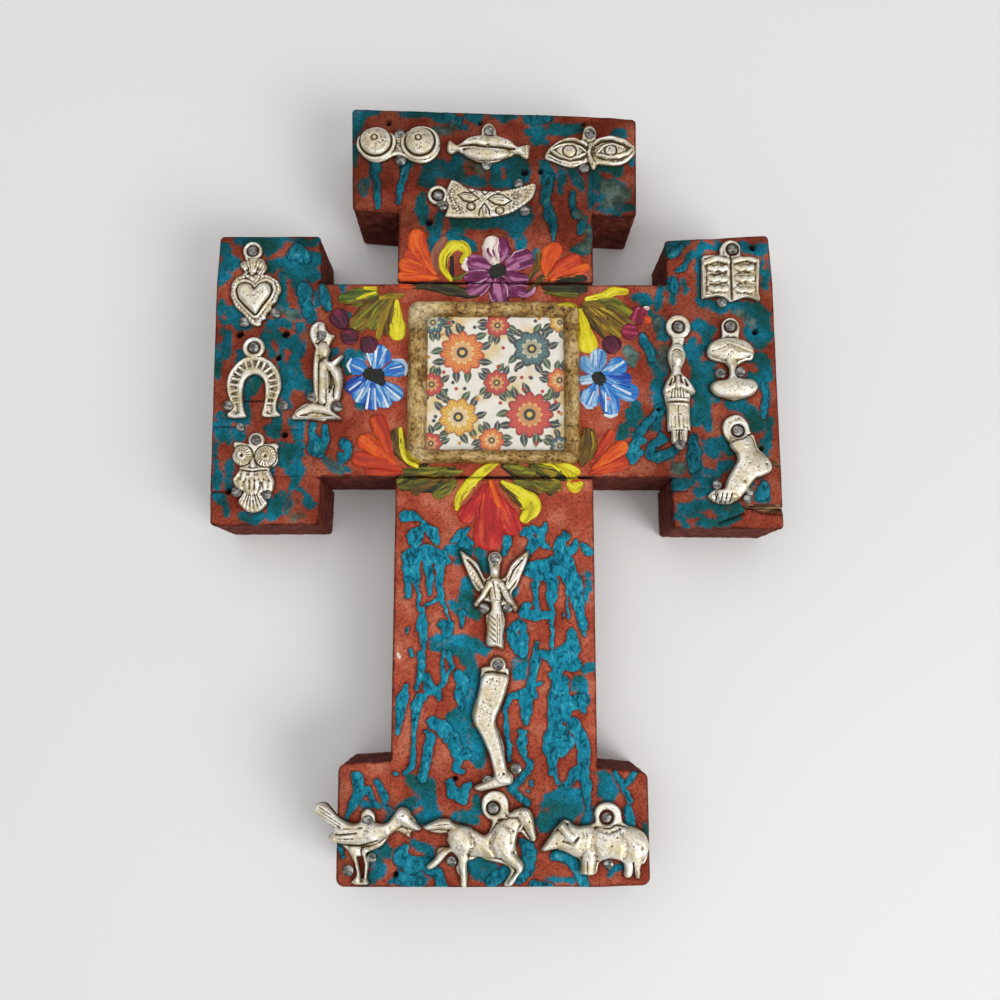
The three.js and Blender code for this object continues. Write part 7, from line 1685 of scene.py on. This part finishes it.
        ("red", 1.2, -6, 0.8, 3.6, -10.8, 2.5, 5.0, -14.2, 2.9), ("red", -1.6, -4, 1.2, -1.8, -11, 3.5, -1.6, -17.2, 4.2),
        ("orange", -1.2, -1.8, 0.8, -0.4, -5, 1.2, 1.2, -8.4, 0.8), ("redOrange", -3, -5, 0.3, -3.8, -12, 0.8, -3.6, -17, 0.5),
        ("orange", 1.4, -7.6, 0.25, 3.4, -12, 0.5),
    ],
}

cracks = {"upper": (57.62, -29.0, 26.5), "lower": (-0.32, -28.5, 27.5)}   # mm: height, and its two ends


def strokeSurface(colour, run, base, seed):
    # a stroke: across it an eased hump, higher along its rims, streaked along its length by the brush's hairs
    run = np.reshape(run, (-1, 3))
    steps = np.concatenate([[0], np.cumsum(np.hypot(*np.diff(run[:, :2], axis=0).T))])
    t = np.linspace(0, steps[-1], 42)
    middle = np.stack([np.interp(t, steps, run[:, k]) for k in range(3)], -1)
    for _ in range(5):
        middle[1:-1] = (middle[:-2] + 2 * middle[1:-1] + middle[2:]) / 4
    heading = np.gradient(middle[:, :2], axis=0)
    heading /= np.maximum(np.linalg.norm(heading, axis=1), 1e-9)[:, None]
    start, end = middle[0, 2], middle[-1, 2]
    lead = np.linspace(-1, 0, 7)[:-1]
    head = middle[0, :2] + heading[0] * (lead * start)[:, None]
    tail = middle[-1, :2] + heading[-1] * (-lead[::-1] * end)[:, None]
    path = np.concatenate([head, middle[:, :2], tail])
    heading = np.concatenate([np.repeat(heading[:1], len(lead), 0), heading, np.repeat(heading[-1:], len(lead), 0)])
    half = np.concatenate([start * np.sqrt(1 - lead ** 2), middle[:, 2], (end * np.sqrt(1 - lead ** 2))[::-1]])
    half = np.maximum(half, 0.04)
    along = np.concatenate([[0], np.cumsum(np.hypot(*np.diff(path, axis=0).T))])
    half = half * (1 + 0.13 * noise(along, 0 * along, 0 * along, 1.6, seed))
    across = np.sin(np.linspace(-1, 1, 19) * math.pi / 2)
    u, v = np.meshgrid(along, across, indexing="ij")
    w = np.repeat(half[:, None], len(across), 1)
    side = np.stack([-heading[:, 1], heading[:, 0]], -1)
    x = path[:, 0][:, None] + side[:, 0][:, None] * w * v
    y = path[:, 1][:, None] + side[:, 1][:, None] * w * v
    hairs = noise(v * w * 2.4 + seed * 3.1, u * 0.25, 0 * u, 1.0, seed + 1)
    broad = noise(v * w * 0.9 + seed, u * 0.16, 0 * u, 1.0, seed + 2)
    edge = np.clip(1 - np.abs(v), 0, 1)
    ends = np.minimum(u, along[-1] - u)
    rise = 0.26 * smooth(0, 0.3, edge) * smooth(0, 0.5, ends + 0.15)
    rise = rise * (1 + 0.35 * hairs + 0.3 * smooth(0.5, 0.1, edge))
    z = base + rise
    shut = np.zeros(x.shape)
    for level, left, right in cracks.values():
        near = (x > left) & (x < right)
        shut = np.maximum(shut, near * np.exp(-((y - level - 0.12 * noise(x, 0 * x, 0 * x, 2.0, 7)) / 0.22) ** 2))
    z = z - 1.1 * shut
    main, light, dark = (np.array(linear(c)) for c in petalPaint[colour])
    lit = smooth(0.12, 0.62, hairs + 0.7 * broad)[..., None]
    dim = smooth(0.1, 0.7, -hairs - 0.5 * broad)[..., None]
    tint = main + (light - main) * 0.75 * lit
    tint = tint + (dark - tint) * 0.65 * dim
    rimShade = (0.28 * smooth(0.22, 0.0, edge))[..., None]
    tint = tint * (1 - rimShade) + dark * rimShade
    # painted shade: near black where the stroke dips into a crack between boards
    tint = tint * (1 - 0.93 * shut[..., None])
    tint[..., 3] = 1
    return x, y, z, tint


def tubeOfPaint():
    # artists' acrylic brushed on thick: satin film with ridges from the hairs
    material, tree, shader = newMaterial("thick artists' acrylic")
    place = add(tree, "TexCoord").outputs["Object"]
    tint = add(tree, "Attribute", {"attribute_name": "tint"}).outputs["Color"]
    grain = add(tree, "TexNoise", {"Scale": 1 / 0.0008, "Detail": 3.0, "Roughness": 0.6}, {"Vector": place})
    speck = ramp(tree, grain, [(0.3, 0.62), (0.46, 1.0), (0.7, 1.1)])
    colour = blendColours(tree, 0.8, tint, speck, "MULTIPLY")
    tree.links.new(colour, shader.inputs["Base Color"])
    shader.inputs["Specular IOR Level"].default_value = 0.35
    shader.inputs["Roughness"].default_value = 0.42
    bump = add(tree, "Bump", {"Strength": 0.5, "Distance": 0.0002}, {"Height": grain})
    tree.links.new(bump.outputs[0], shader.inputs["Normal"])
    return material


def buildPetals(name, runs, material, seed):
    # every stroke closed by a flat underside, which lies just inside the board
    points, faces, tints = [], [], []
    first = 0
    for count, (colour, *run) in enumerate(runs):
        x, y, z, tint = strokeSurface(colour, run, 25.48 + 0.009 * count, seed + 7 * count)
        rows, cols = x.shape
        size = rows * cols
        points.append(np.stack([x, y, z], -1).reshape(-1, 3))
        points.append(np.stack([x, y, np.full(x.shape, 25.1)], -1).reshape(-1, 3))
        tints += [tint.reshape(-1, 4), tint.reshape(-1, 4)]
        top = gridFaces(rows, cols, first=first)[:, ::-1]
        index = np.arange(size).reshape(rows, cols) + first
        rim = np.concatenate([index[0, :-1], index[:-1, -1], index[-1, :0:-1], index[:0:-1, 0]])
        wall = np.stack([rim, rim + size, np.roll(rim, -1) + size, np.roll(rim, -1)], -1)[:, ::-1]
        faces += [top, top[:, ::-1] + size, wall]
        first += 2 * size
    return addMesh(name, np.concatenate(points), [np.concatenate(faces)], material,
                   {"tint": np.concatenate(tints)})


# Frame and card

moulding = {
    "outer": (-25.3, 3.7, 24.3, 51.5),      # mm: left, bottom, right, top
    "inner": (-19.6, 7.6, 19.8, 47.0),
    "outerCorner": 2.4, "innerCorner": 1.0,
    "rise": 3.3,                            # mm over the board
    "floor": 25.2,
}


def roundedRectangle(left, bottom, right, top, corner, perSide=70, perCorner=9):
    # anticlockwise from the lower left; each side and corner has its own count, so that two of these match up
    centres = [(right - corner, bottom + corner), (right - corner, top - corner), (left + corner, top - corner),
               (left + corner, bottom + corner)]
    parts = []
    for k, (cx, cy) in enumerate(centres):
        angle = np.radians(-90 + 90 * k + np.linspace(0, 90, perCorner))
        turn = np.stack([cx + corner * np.cos(angle), cy + corner * np.sin(angle)], -1)
        if parts:
            share = np.linspace(0, 1, perSide)[1:-1, None]
            parts.append(parts[-1][-1] * (1 - share) + turn[0] * share)
        parts.append(turn)
    share = np.linspace(0, 1, perSide)[1:-1, None]
    parts.append(parts[-1][-1] * (1 - share) + parts[0][0] * share)
    return np.concatenate(parts)


def rubbedGold():
    # gold paint rubbed over gessoed moulding: satin tan-gold, flecked dark brown along the brush where the ground shows
    material, tree, shader = newMaterial("rubbed gold paint on gesso")
    place = add(tree, "TexCoord").outputs["Object"]
    hollow, worn, level = (add(tree, "Attribute", {"attribute_name": n}).outputs["Fac"] for n in ("hollow", "worn", "level"))
    dab = add(tree, "Attribute", {"attribute_name": "dab"}).outputs["Fac"]
    cloud = add(tree, "TexNoise", {"Scale": 1 / 0.005, "Detail": 4.0, "Roughness": 0.65}, {"Vector": place})
    flecks = []
    for stretch in ((1, 0.7, 1), (0.7, 1, 1)):
        along = add(tree, "Mapping", {"Scale": stretch}, {"Vector": place})
        flecks.append(add(tree, "TexNoise", {"Scale": 1 / 0.0008, "Detail": 4.0, "Roughness": 0.65}, {"Vector": along}))
    grain = blendColours(tree, level, flecks[0].outputs[0], flecks[1].outputs[0])
    tone = ramp(tree, cloud, [(0.36, "#8a6026"), (0.5, "#b48e4c"), (0.64, "#dcbe84")])
    speck = ramp(tree, grain, [(0.4, 0.08), (0.46, 0.75), (0.53, 1.03), (0.65, 1.4)])
    # the flecks crowd together in the darker clouds
    crowd = add(tree, "MapRange", {"From Min": 0.42, "From Max": 0.58, "To Min": 1.0, "To Max": 0.5}, {"Value": cloud})
    flecked = blendColours(tree, crowd, tone, speck, "MULTIPLY")
    pale = blendColours(tree, 0.5, "#e6d2a4", speck, "MULTIPLY")
    # worn here is the frame's paler corners: painted sheen and wear
    lift = blendColours(tree, worn, flecked, pale)
    # hollow holds dirt in the hollows and, on the slope down to the card, painted shade
    dirt = add(tree, "MapRange", {"interpolation_type": "SMOOTHSTEP", "From Min": 0.02, "From Max": 0.3, "To Max": 0.8},
               {"Value": hollow})
    dirty = blendColours(tree, dirt, lift, "#4c2e14")
    petalEdge = blendColours(tree, 0.6, "#c8b410", speck, "MULTIPLY")    # where the yellow petals run up over two corners
    colour = blendColours(tree, dab, dirty, petalEdge)
    tree.links.new(colour, shader.inputs["Base Color"])
    shader.inputs["Metallic"].default_value = 0.3
    shader.inputs["Roughness"].default_value = 0.45
    bump = add(tree, "Bump", {"Strength": 1.0, "Distance": 0.0004}, {"Height": grain})
    tree.links.new(bump.outputs[0], shader.inputs["Normal"])
    return material


def buildFrame(material):
    # a half-round section carried round a rounded rectangle, roughened like brushed gesso
    outer = roundedRectangle(*moulding["outer"], moulding["outerCorner"])
    inner = roundedRectangle(*moulding["inner"], moulding["innerCorner"])
    section = np.array([(0.0, 0.0), (0.0, 0.3), (0.02, 0.48), (0.06, 0.65), (0.12, 0.8), (0.2, 0.92), (0.3, 0.99),
                        (0.42, 1.0), (0.54, 0.95), (0.66, 0.87), (0.77, 0.78), (0.87, 0.68), (0.94, 0.54),
                        (0.98, 0.36), (1.0, 0.18), (1.0, 0.0)])
    finer = np.linspace(0, len(section) - 1, 46)
    share = np.interp(finer, np.arange(len(section)), section[:, 0])
    height = np.interp(finer, np.arange(len(section)), section[:, 1]) * moulding["rise"]
    xy = outer[:, None, :] * (1 - share)[None, :, None] + inner[:, None, :] * share[None, :, None]
    x, y = xy[..., 0], xy[..., 1]
    lift = np.repeat(height[None, :], len(x), 0)
    across = np.abs(y - 27.5) / 24 > np.abs(x + 0.5) / 25
    lengthways = np.where(across, noise(x * 0.3, y, 0, 0.8, 61), noise(x, y * 0.3, 0, 0.8, 61))
    rough = 0.16 * lengthways + 0.14 * noise(x, y, lift, 1.9, 62) + 0.08 * noise(x, y, lift, 0.6, 63)
    body = smooth(0, 1.2, lift)
    z = 25.4 + lift + rough * body
    x = x + 0.2 * noise(x, y, lift, 2.4, 64) * body
    y = y + 0.2 * noise(x, y, lift, 2.4, 65) * body
    z[:, 0] = z[:, -1] = moulding["floor"]
    inward = smooth(0.5, 0.9, share)[None, :]      # the slope down to the card is darker: painted shade and dirt
    hollow = blur(z, 4) - z + inward * (0.13 + 0.1 * noise(x, y, 0, 3, 66))
    # painted sheen and wear: paler at the upper left corner and, less, at the lower left, carried as worn
    cornerSheenAndWear = smooth(9, 2, np.hypot(x + 23, y - 49.5)) + 0.5 * smooth(6, 1, np.hypot(x + 22, y - 5.5))
    dab = strokeField(x, y, [[(18.6, 50, 0.5), (21.6, 50.3, 0.8), (25, 49.6, 0.9)], [(-25.4, 7, 0.7), (-24.4, 4.8, 0.9), (-21.6, 3.8, 0.6)]])
    dab = smooth(-0.25, 0.25, dab + 0.3 * noise(x, y, 0, 0.8, 67))
    rows, cols = x.shape
    points = np.stack([x, y, z], -1).reshape(-1, 3)
    piece = addMesh("gilt_frame", points, gridFaces(rows, cols, closedRows=True, closedCols=True),
                    material, {"hollow": hollow.ravel(), "worn": (0.75 * cornerSheenAndWear).ravel(), "level": across.ravel(),
                                "dab": dab.ravel()})
    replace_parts(piece, "picture_frame")
    return piece


card = {"left": -20.0, "bottom": 7.3, "right": 20.1, "top": 47.3, "pitch": 0.145, "face": 25.95, "under": 25.45}


def printedCard():
    # four-colour print on thin card under gloss varnish: flat ink with a clear shine
    material, tree, shader = newMaterial("varnished printed card")
    place = add(tree, "TexCoord").outputs["Object"]
    tint = add(tree, "Attribute", {"attribute_name": "tint"}).outputs["Color"]
    fade = add(tree, "TexNoise", {"Scale": 1 / 0.005, "Detail": 3.0}, {"Vector": place})
    soft = ramp(tree, fade, [(0.3, 0.9), (0.7, 1.0)])
    colour = blendColours(tree, 1.0, tint, soft, "MULTIPLY")
    tree.links.new(colour, shader.inputs["Base Color"])
    shader.inputs["Roughness"].default_value = 0.4
    shader.inputs["Coat Weight"].default_value = 0.5
    shader.inputs["Coat Roughness"].default_value = 0.12
    return material


blossomColours = {
    # outer petals, their streaks, inner petals
    "ember": ("#d4491c", "#f2a040", "#f6dc94"), "crimson": ("#b01f24", "#dc5a44", "#f0c070"),
    "sea": ("#1d3f4a", "#5c8a8c", "#e8dcb0"), "amber": ("#d08a1c", "#f4cc5c", "#fbeec0"),
}
blossoms = [
    # x, y, size in mm, petals, turn in degrees, colours
    (-9.6, 36.4, 6.4, 11, 10, "ember"), (9.9, 18.0, 6.8, 12, 0, "crimson"), (10.6, 37.6, 5.4, 8, 20, "sea"),
    (-10.6, 17.2, 5.6, 9, 5, "amber"), (0.4, 27.4, 3.7, 8, 0, "crimson"), (-18.4, 26.8, 3.4, 8, 0, "crimson"),
    (18.6, 28.2, 3.6, 7, 0, "ember"), (0.6, 44.6, 3.5, 8, 0, "crimson"), (-1.0, 10.4, 3.6, 8, 12, "ember"),
    (-18.2, 45.4, 3.4, 7, 0, "sea"), (18.8, 45.6, 3.0, 7, 0, "amber"), (-18.4, 9.4, 3.2, 7, 0, "crimson"),
    (18.6, 8.8, 3.0, 7, 0, "sea"),
]


def cardDesign(x, y):
    # a scattering of folk flowers: each is a rose curve r = size * (0.8 + 0.2 |cos(n a / 2)|), each leaf a sine's half wave
    tint = np.empty(x.shape + (3,))
    paper = np.array(linear("#f6f1e4")[:3])
    glow = np.array(linear("#e8c468")[:3])
    warm = smooth(0.0, 0.8, noise(x, y, 0, 6, 71) + 0.4 * noise(x, y, 0, 2.5, 72))[..., None]
    tint[:] = paper + (glow - paper) * 0.8 * warm

    def cover(depth, colour, soft=0.1, strength=1.0):
        share = (strength * smooth(-soft, soft, depth))[..., None]
        tint[:] = tint * (1 - share) + np.array(linear(colour)[:3]) * share

    def leaf(cx, cy, length, width, turn, colour):
        c, s = math.cos(math.radians(turn)), math.sin(math.radians(turn))
        u, v = (x - cx) * c + (y - cy) * s, (y - cy) * c - (x - cx) * s
        shape = np.where((u > 0) & (u < length), width * np.sin(math.pi * np.clip(u / length, 0, 1) ** 0.8), -1)
        cover(shape - np.abs(v), colour)
        cover(np.where((u > 0) & (u < length), 0.1, -1) - np.abs(v), "#d8d0a0", 0.06, 0.7)

    for count, (cx, cy, size, _, turn, _) in enumerate(blossoms):
        for k in range(9):
            angle = turn + 40 * k + 11 * count
            reach = size * 0.85
            at = (cx + reach * math.cos(math.radians(angle)), cy + reach * math.sin(math.radians(angle)))
            leaf(*at, 2.2 + 0.32 * size, 0.75 + 0.06 * size, angle + 26 * (-1) ** k,
                 ("#1c3c48", "#2f5a3c", "#12303c")[k % 3])
    for cx, cy, size, petalCount, turn, colours in blossoms:
        outer, streak, inner = blossomColours[colours]
        angle, away = np.arctan2(y - cy, x - cx) + math.radians(turn), np.hypot(x - cx, y - cy)
        lobes = size * (0.8 + 0.2 * np.abs(np.cos(angle * petalCount / 2)))
        cover(lobes + 0.2 - away, "#4a120e")
        cover(lobes - away, outer)
        cover((lobes * 0.94 - away) * (0.5 + 0.5 * np.cos(angle * petalCount * 3)) - 0.15, streak, 0.25, 0.8)
        cover(size * 0.5 - away + 0.35 * np.cos(angle * petalCount), inner)
        cover(size * 0.46 - away + 0.3 * np.cos(angle * petalCount * 2), outer, 0.1, 0.45)
        cover(size * 0.26 - away, "#16282e")
        cover(size * 0.12 - away, "#e9c654")
    spots = np.random.default_rng(6).uniform((-19.5, 8), (19.5, 47), (90, 2))
    for count, (cx, cy) in enumerate(spots):
        if min(math.hypot(cx - b[0], cy - b[1]) - b[2] for b in blossoms) > 0.9:
            cover(0.55 - np.hypot(x - cx, y - cy), ("#b8261c", "#d8921c", "#1c3c48")[count % 3])
    return np.concatenate([tint, np.ones(x.shape + (1,))], -1)


def buildCard(material):
    # a flat sheet, hardly cockled, closed below
    x, y = np.meshgrid(np.arange(card["left"], card["right"], card["pitch"]),
                       np.arange(card["bottom"], card["top"], card["pitch"]))
    z = card["face"] + 0.05 * noise(x, y, 0, 9, 81)
    rows, cols = x.shape
    size = rows * cols
    index = np.arange(size).reshape(rows, cols)
    rim = np.concatenate([index[0, :-1], index[:-1, -1], index[-1, :0:-1], index[:0:-1, 0]])
    lower = np.stack([x, y, np.full(x.shape, card["under"])], -1).reshape(-1, 3)[rim]
    ring = size + np.arange(len(rim))
    walls = np.stack([rim, ring, np.roll(ring, -1), np.roll(rim, -1)], -1)
    points = np.concatenate([np.stack([x, y, z], -1).reshape(-1, 3), lower])
    tint = cardDesign(x, y).reshape(-1, 4)
    piece = addMesh("print_card", points, [gridFaces(rows, cols), walls, ring[::-1][None, :]], material,
                    {"tint": np.concatenate([tint, tint[rim]])})
    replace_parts(piece, "picture_card")
    return piece


# Camera, light and floor

view = {
    "place": (-0.44, -47.65, 301.04),      # mm
    "turn": (8.43, -0.4, 0.08),            # degrees
    "lens": 35.26,
}


def addCamera():
    camera = bpy.data.cameras.new("camera")
    camera.lens = view["lens"]
    camera.sensor_width = 36
    camera.clip_start = 0.01
    holder = bpy.data.objects.new("camera", camera)
    holder.location = [v * mm for v in view["place"]]
    holder.rotation_euler = [math.radians(v) for v in view["turn"]]
    bpy.context.scene.collection.objects.link(holder)
    bpy.context.scene.camera = holder


def addLight(name, place, aim, size, power, colour="#ffffff"):
    light = bpy.data.lights.new(name, "AREA")
    light.shape = "RECTANGLE"
    light.size, light.size_y = size
    light.energy = power
    light.color = linear(colour)[:3]
    holder = bpy.data.objects.new(name, light)
    holder.location = place
    direction = np.array(aim) - np.array(place)
    holder.rotation_euler = Vector(direction).to_track_quat("-Z", "Y").to_euler()
    bpy.context.scene.collection.objects.link(holder)


def addStudio():
    world = bpy.data.worlds.new("studio")
    world.use_nodes = True
    background = world.node_tree.nodes["Background"]
    background.inputs[0].default_value = linear("#f5f5f4")
    background.inputs[1].default_value = 0.36
    bpy.context.scene.world = world
    bpy.context.scene.view_settings.view_transform = "Standard"
    addLight("window", (0.95, -0.75, 1.05), (0.05, -0.05, 0), (0.8, 0.8), 12)
    addLight("ceiling", (-0.2, 0.2, 1.35), (0, 0, 0), (1.7, 1.7), 8)
    floorMaterial, tree, shader = newMaterial("matt white laminate")
    place = add(tree, "TexCoord").outputs["Object"]
    tone = add(tree, "TexNoise", {"Scale": 3.0, "Detail": 1.0}, {"Vector": place})
    shade = ramp(tree, tone, [(0.3, "#efefee"), (0.7, "#f3f3f2")])
    tree.links.new(shade.outputs[0], shader.inputs["Base Color"])
    shader.inputs["Roughness"].default_value = 0.6
    mesh = bpy.data.meshes.new("floor")
    size = 2.0
    mesh.from_pydata([(-size, -size, 0), (size, -size, 0), (size, size, 0), (-size, size, 0)], [], [(0, 1, 2, 3)])
    mesh.materials.append(floorMaterial)
    floor = bpy.data.objects.new("floor", mesh)
    bpy.context.scene.collection.objects.link(floor)


addCamera()
addStudio()
print("camera and studio done")

woodMaterial = paintedWood()
for node in boardCorners:
    buildBoard(node, woodMaterial)
print("boards done")

silver = castSilver()
for name, spec in charms.items():
    buildCharm(name, spec, silver)
print("charms done")

steel = wireSteel()
for count, (node, spot) in enumerate(nailSpots.items()):
    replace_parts(buildNail("wire_" + node, spot, steel, 100 + count), node)
for count, spot in enumerate(extraNails):
    buildNail(f"wire_nail_{count + 1:02d}", spot, steel, 200 + count)
print("nails done")

acrylic = tubeOfPaint()
for count, (name, runs) in enumerate(petals.items()):
    buildPetals(name, runs, acrylic, 300 + 400 * count)
buildFrame(rubbedGold())
buildCard(printedCard())
print("flowers, frame and card done")


def turnedWood():
    # beech dowel, turned and left bare: pale, with fine lengthways grain
    material, tree, shader = newMaterial("bare turned beech")
    place = add(tree, "TexCoord").outputs["Object"]
    long = add(tree, "Mapping", {"Scale": (1, 0.08, 1)}, {"Vector": place})
    grain = add(tree, "TexNoise", {"Scale": 1 / 0.0009, "Detail": 4.0}, {"Vector": long})
    tone = ramp(tree, grain, [(0.3, "#a9784a"), (0.6, "#c79a68"), (0.8, "#d8b284")])
    tree.links.new(tone.outputs[0], shader.inputs["Base Color"])
    shader.inputs["Roughness"].default_value = 0.6
    return material


beech = turnedWood()
for name in ("peg_upper_left", "peg_upper_right", "peg_lower_left", "peg_lower_right"):
    for slot in bpy.data.objects[name].material_slots:
        slot.material = beech
print("pegs done")
